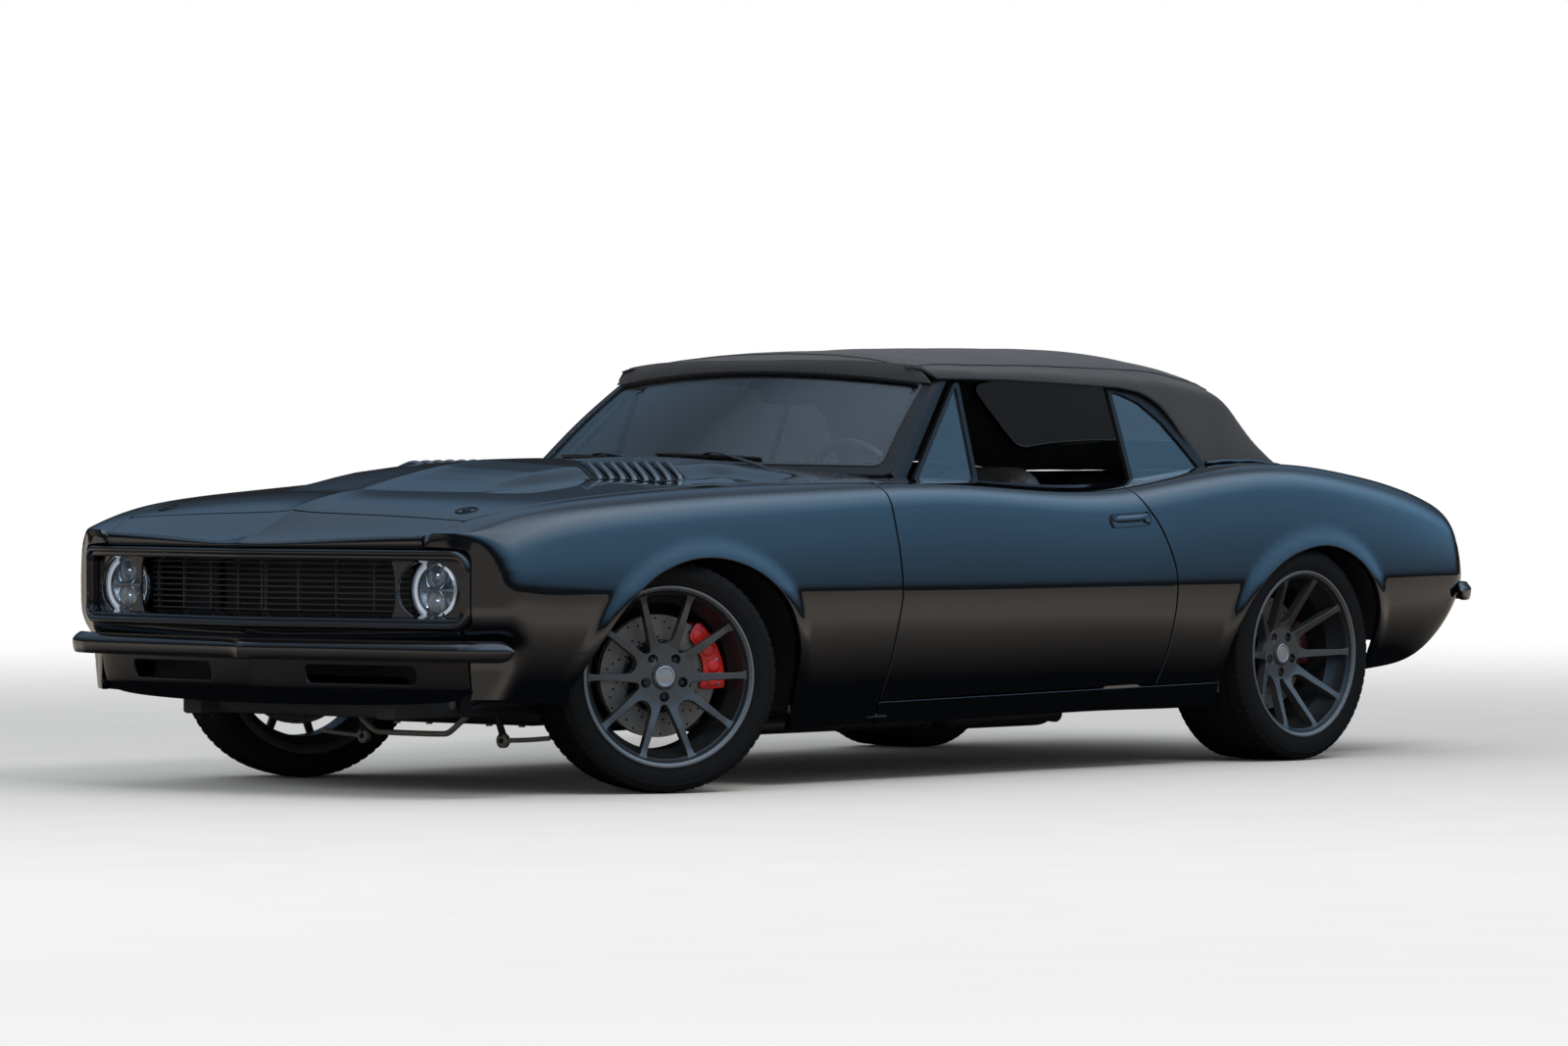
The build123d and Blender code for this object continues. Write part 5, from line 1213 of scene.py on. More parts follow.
# Name, axle's x, wheel's y, side, half of the tyre's and of the rim's width, dish, and the disc's inner face
WHEELS = [(end + "_" + word, x, y, side, *sizes)
          for end, x, y, sizes in (("front", FRONT_AXLE_X, FRONT_WHEEL_Y, (125.0, 118.0, 40.0, FRONT_DISC)),
                                   ("rear", REAR_AXLE_X, REAR_WHEEL_Y, (148.0, 143.0, 92.0, REAR_DISC)))
          for word, side in (("left", 1), ("right", -1))]
LIP = 256.0
TYRE_R = 327.0
TREAD_BLOCKS = 72
GROOVE_DEPTH = 7.0
NUT_CIRCLE = 58
SPOKE_TURNS = [math.pi / 2 + k * 2 * math.pi / 5 for k in range(5)]


def steer(points, side):
    """Points turned about the kingpin to where the front wheels are parked."""
    kingpin = (FRONT_AXLE_X, KINGPIN_Y * side, 0)
    p = points - kingpin
    c, q = math.cos(STEER), math.sin(STEER)
    return np.stack([p[:, 0] * c - p[:, 1] * q, p[:, 0] * q + p[:, 1] * c, p[:, 2]], 1) + kingpin


def wheel_place(name, axle_x, wheel_y, side):
    """A function from a wheel's own points to the car's."""
    def place(p):
        q = np.stack([axle_x + side * p[:, 0], wheel_y * side + side * p[:, 2], AXLE_Z - p[:, 1]], 1)
        return steer(q, side) if "front" in name else q
    return place


def star_outline():
    """The wheel face's outline: a hub with five pairs of spokes that widen where they meet the rim."""
    start, end = np.array([74.0, 20.0]), np.array([230.0, 75.5])
    way = (end - start) / np.linalg.norm(end - start)
    side = np.array([-way[1], way[0]])

    def edge(f, sign):
        wide = np.interp(f, [0, 0.3, 0.75, 0.88, 0.95, 1.0], [13.5, 11.2, 9.0, 10.0, 13.5, 20.0])
        return start + (end - start) * f + side * wide * sign
    inner = [(79.5, 0), (80.6, 5.0), (85.5, 9.6)] + [edge(f, -1) for f in (0.16, 0.3, 0.5, 0.75, 0.88, 0.95, 1.0)]
    outer = [edge(f, 1) for f in (1.0, 0.95, 0.88, 0.75, 0.5, 0.32)]
    bowl = [(r * math.cos(math.radians(a)), r * math.sin(math.radians(a))) for r, a in
            ((110, 22.4), (100, 24.6), (93.5, 28.2), (90, 32), (89, 36))]
    half = np.vstack([smooth_line(inner, 5.0), smooth_line(outer + bowl, 5.0)])
    whole = np.vstack([(half * (1, -1))[::-1][1:], half[1:-1]])
    loop = []
    for a in SPOKE_TURNS:
        c, q = math.cos(a), math.sin(a)
        loop.append(np.stack([whole[:, 0] * c - whole[:, 1] * q, whole[:, 0] * q + whole[:, 1] * c], 1))
    return np.vstack(loop)


def build_face(half, dish, place):
    """The wheel's hub and spokes: one dished plate with rolled edges and five holes for the nuts."""
    face = half - dish
    us = np.arange(-255.0, 256.0, 7.5)
    gx, gy = np.meshgrid(us, us, indexing="ij")
    r = np.hypot(gx, gy)
    z = np.interp(r, [0, 50, 84, 150, LIP - 40, LIP - 12],
                  [face, face, face + 1.5, face + 0.42 * (dish - 8), half - 21, half - 11])
    patch = Patch(us, us, np.stack([gx, gy, z], 2))
    if patch.normals[34, 34, 2] < 0:
        patch = Patch(us, us, np.stack([gx, gy, z], 2), -1)
    holes = []
    for a in SPOKE_TURNS:
        holes.append(np.array([(NUT_CIRCLE * math.cos(a) + 14 * math.cos(t),
                                NUT_CIRCLE * math.sin(a) + 14 * math.sin(t)) for t in circle(28)]))
    flat = sheet_metal(patch, star_outline(), 25.0, spacing=15.0, gap=0.0, hem=2.4, holes=holes, hole_hem=2.0)
    moved = Shell()
    moved.verts = [place(np.vstack(flat.verts))]
    moved.faces, moved.mats, moved.count = flat.faces, flat.mats, flat.count
    moved.normals = list(place(np.array(flat.normals)) - place(np.zeros((1, 3))))
    return moved


def build_rim(half, dish):
    """The rim's barrel, its outer step with a painted highlight and its well with painted shade, and the hub with its
    nuts.
    """
    form = Form()
    face = half - dish
    lip = LIP
    outer = [(lip - 50, -half + 58), (lip - 32, -half + 36), (lip - 24, -half + 6), (lip - 9, -half), (lip, -half),
             (lip, -half + 8), (lip - 15, -half + 12), (lip - 22, -half + 40), (lip - 40, -half + 60),
             (lip - 40, half - 74), (lip - 22, half - 46), (lip - 15, half - 13), (lip, half - 8), (lip, half - 2),
             (lip - 2, half)]
    form.turn(outer, n=120, mat=0)
    step = [(lip - 2, half), (lip - 7, half), (lip - 9, half - 1.5), (lip - 10, half - 5), (lip - 13, half - 6.5)]
    form.turn(step, n=120, mat=1)
    well = [(lip - 13, half - 6.5), (lip - 17, half - 8), (lip - 20, half - 14), (lip - 26, half - 18),
            (lip - 28, half - 30), (lip - 34, half - 52), (lip - 50, half - 76), (lip - 50, -half + 58)]
    form.turn(well, n=120, mat=2)
    for a in SPOKE_TURNS:
        c, s = math.cos(a), math.sin(a)
        form.turn([(0.1, face - 17), (15.0, face - 17), (15.0, face - 6)], (NUT_CIRCLE * c, NUT_CIRCLE * s, 0), n=28,
                  mat=2)
        form.turn([(0.1, face - 3.5), (6.5, face - 4), (8.5, face - 6.5), (8.8, face - 17)],
                  (NUT_CIRCLE * c, NUT_CIRCLE * s, 0), n=6, mat=2)
        form.turn([(11.5, face - 17), (11.5, face - 12), (8.9, face - 10.5)], (NUT_CIRCLE * c, NUT_CIRCLE * s, 0), n=24,
                  mat=2)
    hub = [(73, face - 40), (72, face - 22), (64, face - 13), (50, face - 8.5), (42, face - 5), (38, face - 1),
           (37, face + 3), (35.5, face + 5.5), (33, face + 6), (31.5, face + 4.5), (31, face + 1)]
    form.turn(hub, n=80, mat=0)
    return form


def build_cap(half, dish):
    """The centre cap: a raised ring with notches round a shallow bowl."""
    form = Form()
    face = half - dish
    form.turn([(30.5, face - 6), (30.5, face + 5), (29.5, face + 7.5), (27.5, face + 8.5), (25, face + 8.2),
               (24, face + 6.8), (22, face + 6.4), (12, face + 7.4), (0.1, face + 7.8)], n=64, mat=0)
    for k in range(15):
        a = k * 2 * math.pi / 15
        c, s = math.cos(a), math.sin(a)
        form.box(31.4 * c - 1.8, 31.4 * c + 1.8, 31.4 * s - 1.8, 31.4 * s + 1.8, face + 3.0, face + 7.2, 1, 0.7,
                 [[c, -s, 0], [s, c, 0], [0, 0, 1]])
    return form


def wall_profile(half, rim_half):
    """A tyre's wall as (radius, height) points, from the bead to the shoulder."""
    lip = LIP
    return [(lip - 8, rim_half - 12), (lip + 0.5, rim_half - 4), (lip + 2, rim_half - 0.5), (lip + 5, rim_half + 1.5),
            (lip + 8, rim_half + 1.0), (268, rim_half + 3), (276, half - 1.2), (283, half - 0.2), (292, half - 0.6),
            (301, half - 2.8), (303, half - 2.0), (305, half - 3.6), (313, half - 8.6), (319, half - 12.6),
            (323.2, half - 18)]


def build_tyre(half, rim_half):
    """A tyre with rounded walls, raised rings on them, four grooves round it and notched shoulders."""
    form = Form()
    side = wall_profile(half, rim_half)
    w = half - 20
    grooves = (0.62, 0.22)
    crown = lambda h: TYRE_R - 3.6 * (abs(h) / w) ** 2.2
    hs = [w]
    for g in grooves:
        c = g * w
        hs += [c + 5.0, c + 4.2, c - 4.2, c - 5.0]
    pts = [(crown(h) - (GROOVE_DEPTH if i in (2, 3, 6, 7) else 0.0), h) for i, h in enumerate(hs)]
    half_tread = pts + [(crown(0), 0.0)]
    full = side + half_tread + [(r, -h) for r, h in half_tread[:-1][::-1]] + [(r, -h) for r, h in side[::-1]]
    inner = [(LIP - 10, -rim_half + 40), (LIP - 10, rim_half - 40)]
    n = 5 * TREAD_BLOCKS
    a = circle(n)
    rings = []
    for r, h in full + inner:
        rr = np.full(n, r)
        hh = np.full(n, h)
        if abs(h) > w * 0.62 + 5.5 and r > 300 and abs(h) < half - 3.9:
            rr = np.where(np.arange(n) % 5 == 0, r - 3.0, r)
        rings.append(np.stack([rr * np.cos(a), rr * np.sin(a), hh], 1))
    rings.append(rings[0])
    form.loft(rings, 0, caps=(False, False))
    return form


def build_disc(back, front):
    """A drilled and slotted disc with vents at its edge, a hat and its small bolts."""
    form = Form()
    r0, r1 = 98.0, 172.0
    for z, up in ((back + 32.0, 1), (back, -1)):
        holes = []
        for k in range(12):
            for i, (rad, off) in enumerate(((110, 0.0), (124, 0.13), (138, 0.26), (153, 0.39), (163, 0.05))):
                t = k * math.pi / 6 + off
                holes.append((rad * math.cos(t), rad * math.sin(t)))
        n = 120
        outer = [(r1 * math.cos(t), r1 * math.sin(t)) for t in circle(n)]
        inner = [(r0 * math.cos(t), r0 * math.sin(t)) for t in circle(72)]
        loops = [outer, inner] + [[(x + 3.4 * math.cos(t), y + 3.4 * math.sin(t)) for t in circle(8)] for x, y in holes]
        pts, edges = [], []
        for loop in loops:
            b = len(pts)
            pts += loop
            if b:
                edges += [(b + i, b + (i + 1) % len(loop)) for i in range(len(loop))]
        made = delaunay_2d_cdt([Vector(q) for q in pts], edges, [list(range(n))], 1, 1e-4)
        p2 = np.array([tuple(q) for q in made[0]])
        tris = np.array([list(f) for f in made[2]])
        mids = p2[tris].mean(1)
        keep = np.linalg.norm(mids, axis=1) > r0 * 0.998
        for loop in loops[2:]:
            c = np.mean(loop, axis=0)
            keep &= np.linalg.norm(mids - c, axis=1) > 3.2
        form.add(np.column_stack([p2, np.full(len(p2), z)]), tris[keep].tolist(), 0)
        for loop in loops[2:]:
            ring = np.array(loop)
            form.loft([np.column_stack([ring, np.full(len(ring), z)]),
                       np.column_stack([ring, np.full(len(ring), z - up * 9.0)])], 1, caps=(False, True))
    form.turn([(r1, back + 32), (r1, back + 22), (r1 - 8, back + 21), (r1 - 8, back + 11), (r1, back + 10), (r1, back)],
              n=120, mat=0)
    for k in range(48):
        t = k * 2 * math.pi / 48
        c, s = math.cos(t), math.sin(t)
        form.box(165 * c - 6, 165 * c + 6, 165 * s - 1.2, 165 * s + 1.2, back + 10, back + 22, 0, 0,
                 [[c, -s, 0], [s, c, 0], [0, 0, 1]])
    form.turn([(r0, back), (r0, back + 32)], n=72, mat=0)
    form.turn([(36, front), (84, front), (88, front - 3), (91, front - 8), (94, back + 34), (104, back + 33.2),
               (104, back + 32)], n=80, mat=2)
    for k in range(10):
        t = k * math.pi / 5 + 0.2
        form.turn([(0.1, 5), (3.6, 5), (4.4, 3.8), (4.6, 0)], (98.5 * math.cos(t), 98.5 * math.sin(t), back + 33), n=6,
                  mat=3)
    return form


# Rim metal, a brighter copy of it as a painted highlight on the outer step, and a near-black copy as painted shade in
# the well, the nut pockets, on the nuts and behind the spokes
RIM_GREY = finish("rim_grey", (0.115, 0.111, 0.107), 0.42, metal=0.8, coat=0.1, vary=0.12, spread=0.05)
RIM_LIT = finish("rim_painted_highlight", (0.22, 0.215, 0.21), 0.4, metal=0.8, vary=0.08)
RIM_SHADED = finish("rim_painted_shade", (0.02, 0.021, 0.023), 0.35, metal=0.5)
CAP_GREY = finish("cap_grey", (0.42, 0.42, 0.43), 0.3, metal=0.8, vary=0.1)
RUBBER = finish("rubber", (0.006, 0.006, 0.0062), 0.75, vary=0.3, bump=0.25, bump_scale=500, specular=0.12)
IRON = finish("iron", (0.20, 0.18, 0.16), 0.42, metal=0.6, vary=0.18, scale=160)
# near black on the walls of the disc's drilled holes: painted shade inside them
DRILLING_SHADE = finish("hole", (0.03, 0.03, 0.03), 0.6)
BOLT = finish("bolt", (0.4, 0.4, 0.4), 0.3, metal=0.9)
CALIPER_RED = finish("caliper_red", (0.5, 0.012, 0.01), 0.28, coat=0.4, vary=0.12)
# the rear calipers' red darkened almost to black: painted shade for their place deep inside the rear wheels
CALIPER_RED_SHADED = finish("caliper_red_painted_shade", (0.045, 0.008, 0.008), 0.4, coat=0.2, vary=0.2)

for name, axle_x, wheel_y, side, half, rim_half, dish, disc_back in WHEELS:
    place = wheel_place(name, axle_x, wheel_y, side)
    body = "wheel_" + name
    # the rims' step carries a painted highlight, and their well, nut pockets and the spokes' backs carry painted shade
    build_rim(rim_half, dish).moved(place).make("rim_" + name, body, [RIM_GREY, RIM_LIT, RIM_SHADED], "wheel_grey",
                                               ("wheel_" + name,), angle=32)
    build_face(rim_half, dish, place).make("face_" + name, body, [RIM_GREY, RIM_SHADED], "wheel_grey")
    build_cap(rim_half, dish).moved(place).make("cap_" + name, body, [CAP_GREY, RIM_GREY], "wheel_grey", angle=30)
    build_tyre(half, rim_half).moved(place).make("tread_" + name, body, [RUBBER], "tyre_rubber", ("tyre_" + name,),
                                                 angle=28)
    build_disc(disc_back, rim_half - dish - 46.5).moved(place).make("disc_" + name, body, [IRON, DRILLING_SHADE, TRIM, BOLT],
                                                                    "disc_iron", ("brake_disc_" + name,), angle=30)


FRONT_CALIPER = [(-196, -36), (-197, 0), (-190, 40), (-176, 80), (-152, 118), (-124, 146), (-108, 142), (-92, 108),
                 (-108, 84), (-124, 52), (-132, 20), (-126, -10), (-121, -34), (-140, -38)]
FRONT_BRIDGE = [(-198.5, -30), (-199, 0), (-192, 41), (-178, 80), (-154, 119), (-128, 147), (-123, 142), (-149, 114),
                (-172, 76), (-186, 38), (-190, 0), (-188, -30)]
REAR_CALIPER = [(-196, -36), (-197, 0), (-190, 40), (-176, 66), (-154, 96), (-140, 96), (-122, 80), (-126, 52),
                (-132, 20), (-126, -10), (-121, -34), (-140, -38)]
REAR_BRIDGE = [(-198.5, -30), (-199, 0), (-192, 41), (-178, 66), (-172, 62), (-186, 38), (-190, 0), (-188, -30)]


def build_caliper(axle_x, y0, y1, gap0, gap1, base, bridge, lobes):
    """A lobed caliper over the disc: two rounded halves, a bridge and its bolts."""
    form = Form()
    outline = smooth_line(base + base[:1], 7)[:-1]

    def put(p):
        return np.stack([axle_x + p[:, 0], p[:, 2], AXLE_Z + p[:, 1]], 1)
    for low, high in ((y0, gap0), (gap1, y1)):
        form.prism([tuple(q) for q in outline], lambda p, low=low: put(p + (0, 0, low)), high - low, 0, 5.0)
    form.prism([tuple(q) for q in smooth_line(bridge + bridge[:1], 8)[:-1]], lambda p: put(p + (0, 0, gap0 - 2)),
               gap1 - gap0 + 4, 0, 1.5)
    for u, v, r in lobes:
        form.turn([(r, 0), (r, 2.5), (r - 2, 4.5), (r - 6, 5.5), (0.1, 6)], (axle_x + u, y1 - 1.5, AXLE_Z + v),
                  (0, 1, 0), 32, 0)
    for u, v in ((-178, -24), (-181, 4), (-172, 44), (-134, 84)):
        form.turn([(5.5, 0), (5.5, 3), (4, 4), (0.1, 4)], (axle_x + u, y1 - 0.5, AXLE_Z + v), (0, 1, 0), 6, 1)
    return form


front_disc_y = FRONT_WHEEL_Y + FRONT_DISC
caliper = build_caliper(FRONT_AXLE_X, KINGPIN_Y + 8, front_disc_y + 46, front_disc_y - 5, front_disc_y + 37,
                        FRONT_CALIPER, FRONT_BRIDGE, ((-160, -14, 18), (-163, 28, 19), (-145, 72, 19), (-117, 112, 17)))
for side, word in ((1, "left"), (-1, "right")):
    flip = (1, side, 1)
    caliper.moved(lambda p: steer(p * flip, side)).make("caliper_front_" + word, "knuckle_" + word, [CALIPER_RED, BOLT],
                                                        "caliper_red", ("front_caliper_" + word,), angle=40)
rear_disc_y = REAR_WHEEL_Y + REAR_DISC
caliper = build_caliper(REAR_AXLE_X, rear_disc_y - 40, rear_disc_y + 46, rear_disc_y - 5, rear_disc_y + 37,
                        REAR_CALIPER, REAR_BRIDGE, ((-160, -14, 17), (-163, 24, 17), (-146, 60, 15)))
caliper.box(REAR_AXLE_X - 140, REAR_AXLE_X - 33, rear_disc_y - 40, rear_disc_y - 28, AXLE_Z - 30, AXLE_Z + 40, 1, 3)
pair(caliper, "caliper_rear", "root", [CALIPER_RED_SHADED, CHASSIS], "caliper_red", ("rear_calipers",), angle=40)

# Cloth top
ROOF = np.array([(240, 652, 630, 1172, 1206), (200, 660, 632, 1180, 1214), (60, 700, 638, 1188, 1246),
                 (-220, 730, 642, 1184, 1258), (-668, 735, 652, 1168, 1266), (-1000, 728, 656, 1150, 1261),
                 (-1250, 690, 642, 1110, 1230), (-1400, 655, 626, 988, 1112), (-1560, 625, 607, 902, 962),
                 (-1700, 602, 592, 880, 898), (-1760, 592, 584, 858, 864)], float)
CROWN_POWER = 2.7
ROOF_GIRTH = 2000.0
ROOF_FOOT = 862.0
SEAM_HALF = 560.0


def monotone(rows, xs):
    """Smoothed straight interpolation of a table, which doesn't overshoot as a spline can."""
    t, values = rows[::-1, 0], rows[::-1, 1:]
    shifts = np.linspace(-55, 55, 13)
    return np.mean([np.stack([np.interp(xs + d, t, values[:, k]) for k in range(values.shape[1])], 1) for d in shifts],
                   axis=0)


def roof_section(base, half, rail, crown, n=161):
    """One half-section from the foot over the rail to the middle, rounded at the rail."""
    side = spaced((base, ROOF_FOOT), (half, rail), 6)
    bow = 4.0 * np.sin(np.linspace(0, math.pi, len(side)))
    side = side + np.stack([bow, 0 * bow], 1)
    t = np.linspace(1, 0, 90)
    top = np.stack([half * t, rail + (crown - rail) * (1 - t ** CROWN_POWER)], 1)
    line = evenly(np.vstack([side, top[1:]]), 4.0)
    w = np.exp(-0.5 * (np.arange(-12, 13) * 4.0 / 14.0) ** 2)
    w /= w.sum()
    mirrored = line[::-1][1:13] * (-1, 1)
    padded = np.vstack([np.repeat(line[:1], 12, 0), line, mirrored])
    soft = np.stack([np.convolve(padded[:, k], w, "valid") for k in (0, 1)], 1)
    run = np.concatenate([[0], np.cumsum(np.linalg.norm(np.diff(soft, axis=0), axis=1))])
    at = np.linspace(0, run[-1], n)
    return np.stack([np.interp(at, run, soft[:, k]) for k in (0, 1)], 1)


def build_roof():
    """The cloth's outer surface over (x, girth): girth 0 is the left foot, 1000 the middle and 2000 the right foot."""
    xs = np.arange(-1758, 238, 6.0)
    rows = monotone(ROOF, xs)
    half = np.stack([roof_section(*r) for r in rows])
    whole = np.concatenate([half, half[:, ::-1][:, 1:] * (-1, 1)], axis=1)
    vs = np.linspace(0, ROOF_GIRTH, whole.shape[1])
    gx = np.repeat(xs[:, None], whole.shape[1], 1)
    y, z = whole[..., 0], whole[..., 1]
    ripple = 1.3 * np.sin(gx / 61 + y / 90) * np.sin(y / 47 + 1.3) + 0.8 * np.sin(gx / 23 + y / 140)
    taut = 2.6 * np.cos((gx + 660) / 220 * math.pi) * smoothstep(-1250, -1000, gx) * smoothstep(0, 300, z - 880)
    seam = 1.5 * np.exp(-((np.abs(y) - SEAM_HALF) / 7.0) ** 2) * smoothstep(1000, 1120, z)
    lift = ripple * 0.5 - taut * 0.5 + seam
    points = np.stack([gx, y, z + lift], 2)
    return Patch(xs, vs, points, -1)


roof_patch = build_roof()


def roof_v(x, z):
    """The left side's girth at a height z, at places x."""
    out = []
    for xi, zi in zip(x, z):
        i = int(np.clip(np.searchsorted(roof_patch.us, xi), 0, len(roof_patch.us) - 1))
        col = roof_patch.points[i]
        half = len(col) // 2
        out.append(np.interp(zi, np.maximum.accumulate(col[:half, 2]), roof_patch.vs[:half]))
    return np.array(out)


def body_top(x, y):
    """Heights of the body's top at plan places."""
    return top_patch.at(np.stack([x, y], 1))[:, 2]


def roof_place(x, y):
    """(x, girth) of a plan point on the cloth's left or right half."""
    i = int(np.searchsorted(roof_patch.us, x))
    col = roof_patch.points[i]
    v = np.interp(-abs(y), -col[:len(col) // 2 + 1, 1], roof_patch.vs[:len(col) // 2 + 1])
    return (x, v if y >= 0 else ROOF_GIRTH - v)


def roof_edge():
    """The cloth's edge over its left half, from the front middle to the rear middle, as (x, girth)."""
    front = [roof_place(196.0 - 80.0 * (y / 605.0) ** 2, y) for y in np.linspace(0, 600, 44)]
    edge = smooth_line([(96, 1166), (60, 1167), (-220, 1163), (-668, 1145), (-740, 1139), (-805, 1129), (-855, 1110),
                        (-896, 1086), (-940, 1040), (-979, 986), (-1015, 935), (-1040, 900)], 12)
    side = np.stack([edge[:, 0], roof_v(edge[:, 0], edge[:, 1])], 1)
    base = []
    for x in np.arange(-1048, -1668, -12.0):
        i = int(np.searchsorted(roof_patch.us, x))
        col = roof_patch.points[i]
        half = len(col) // 2
        gap = col[:half, 2] - body_top(np.full(half, x), np.abs(col[:half, 1])) - 3.0
        k = int(np.argmax(gap > 0))
        base.append((x, roof_patch.vs[k]))
    rear = []
    for v in np.linspace(base[-1][1] + 30, 1000, 40):
        j = int(np.searchsorted(roof_patch.vs, v))
        col = roof_patch.points[:, min(j, roof_patch.points.shape[1] - 1)]
        gap = col[:, 2] - body_top(col[:, 0], np.abs(col[:, 1])) - 3.0
        over = np.where(gap > 0)[0]
        rear.append((col[over[0], 0], v))
    rear = np.array(rear)
    rear[:, 0] = np.convolve(np.pad(rear[:, 0], 3, "edge"), np.ones(7) / 7, "valid")
    base = np.array(base)
    base[:, 1] = np.convolve(np.pad(base[:, 1], 2, "edge"), np.ones(5) / 5, "valid")
    return np.vstack([front, side, base]), rear


CLOTH_GREY = finish("cloth", (0.030, 0.030, 0.032), 0.92, vary=0.35, scale=420, bump=0.5, bump_scale=900, specular=0.25)
CLOTH_LINING = finish("cloth_lining", (0.05, 0.05, 0.052), 0.9, vary=0.2)
BINDING = finish("binding", (0.012, 0.012, 0.012), 0.6, vary=0.3, scale=300)


def weave(material):
    """Fine crossing threads over a finish, darker and lighter in turn."""
    tree = material.node_tree
    bsdf = tree.nodes["Principled BSDF"]
    coords = tree.nodes.new("ShaderNodeTexCoord")
    heather = node(tree, "ShaderNodeTexNoise", Scale=900.0, Detail=2.0)
    tree.links.new(coords.outputs["Object"], heather.inputs["Vector"])
    threads = colour_ramp(tree, heather.outputs["Fac"], [(0.35, (0.013, 0.0135, 0.015)), (0.68, (0.050, 0.051, 0.055))])
    tree.links.new(threads, bsdf.inputs["Base Color"])
    bsdf.inputs["Sheen Weight"].default_value = 0.12
    bsdf.inputs["Sheen Roughness"].default_value = 0.5


weave(CLOTH_GREY)
roof_half, roof_rear = roof_edge()
half = np.vstack([roof_half, roof_rear])
other_half = np.stack([half[:, 0], ROOF_GIRTH - half[:, 1]], 1)[::-1]
outline = join(half, other_half)[0]


window = np.array([roof_place(x, y) for y, x in rounded_rect(-440, 440, -1545, -1290, 40, 18)])
shell = sheet_metal(roof_patch, outline, 4.0, spacing=17.0, gap=0.0, hem=2.0, holes=[window], hole_hem=2.0)
cloth = shell.make("cloth_top", "root", [CLOTH_GREY, CLOTH_LINING], "cloth", ("soft_top",))

trimmed = Form()
trimmed.tube(roof_patch.raised(roof_half[40:], 0.6), 5.0, 0, 10, flat=1.0)
pair(trimmed, "cloth_binding", "root", [BINDING], "trim_black", angle=50)
foot = Form()
full_rear = np.vstack([half[-len(roof_rear) - 50:], other_half[:len(roof_rear) + 50]])
foot.tube(evenly(roof_patch.raised(full_rear, 3.0), 16), 8.0, 0, 10, flat=0.7)
foot.make("cloth_foot_moulding", "root", [GLOSS], "trim_black", angle=50)
seams = Form()


def sew(places, radius):
    """A seam's cord on the cloth, through (x, girth) places."""
    seams.tube(evenly(roof_patch.raised(np.array(places), 0.4), 14), radius, 0, 6)


for side in (1, -1):
    sew([roof_place(x, side * SEAM_HALF) for x in np.arange(150, -1270, -15.0)]
        + [roof_place(x, side * (SEAM_HALF - (-1270 - x) * 0.02)) for x in np.arange(-1270, -1600, -15.0)], 2.4)
sew([roof_place(-1215 - 40 * (1 - (y / 600) ** 2), y) for y in np.linspace(-600, 600, 60)], 2.4)
sew([roof_place(96 - 70 * (1 - (y / 590) ** 2) + 46, y) for y in np.linspace(-590, 590, 60)], 2.2)
seams.make("cloth_seams", "root", [BINDING], "cloth", angle=60)
ring = Form()
loop = window - window.mean(0)
border = [roof_patch.raised(window.mean(0) + loop * k, d)
          for k, d in ((1.055, 0.2), (1.05, 2.2), (1.0, 2.6), (0.965, 1.6), (0.955, -4.0))]
ring.loft(border, 0, caps=(False, False))
ring.make("rear_window_border", "root", [BINDING], "trim_black", angle=50)
shell = sheet_metal(set_back(roof_patch, 4.6), window.mean(0) + loop * 1.02, 3.0, spacing=30.0, gap=0.0, hem=0.5,
                    inner_mat=0)
shell.make("rear_glass", "root", [GLASS_CLEAR], "clear_glass", ("rear_window",))


# Windshield: glass, and a gloss frame that bends back at the pillars
def arc_across(corner, middle, a):
    """Points of an arc through (x, y, z), (middle x, 0, middle z) and its mirror, at fractions a of its half-turn."""
    rise = np.array([middle[0] - corner[0], 0.0, middle[2] - corner[2]])
    h = np.linalg.norm(rise)
    c = corner[1]
    radius = (c * c + h * h) / (2 * h)
    turn = math.asin(c / radius)
    deep = h - radius * (1 - np.cos(a * turn))
    out = np.array([corner[0], 0.0, corner[2]]) + deep[:, None] * rise / h
    out[:, 1] = radius * np.sin(a * turn)
    return out


SCREEN_HALF, SCREEN_HIGH = 700.0, 420.0
GLASS_TOP_ARC = ((113.0, 605.0, 1151.0), (188.0, 0.0, 1189.0))
GLASS_FOOT_ARC = ((400.0, 685.0, 905.0), (545.0, 0.0, 912.0))


def build_screen():
    us, vs = np.linspace(-1.12, 1.12, 97), np.linspace(-0.16, 1.14, 53)
    foot = arc_across(*GLASS_FOOT_ARC, us)
    top = arc_across(*GLASS_TOP_ARC, us)
    f = vs[None, :, None]
    points = foot[:, None] * (1 - f) + top[:, None] * f
    points[..., 2] += 10 * np.sin(np.clip(f[..., 0], 0, 1) * math.pi)
    return Patch(us * SCREEN_HALF, vs * SCREEN_HIGH, points, 1)


screen = build_screen()
if screen.normals[48, 26, 0] < 0:
    screen = Patch(screen.us, screen.vs, screen.points, -1)


def screen_loop(grow_side, grow_top, grow_foot, r):
    """The screen's outline, grown at its sides, top and foot, with a corner radius."""
    w = SCREEN_HALF + grow_side
    return rounded_rect(-w, w, -grow_foot, SCREEN_HIGH + grow_top, r, 16)


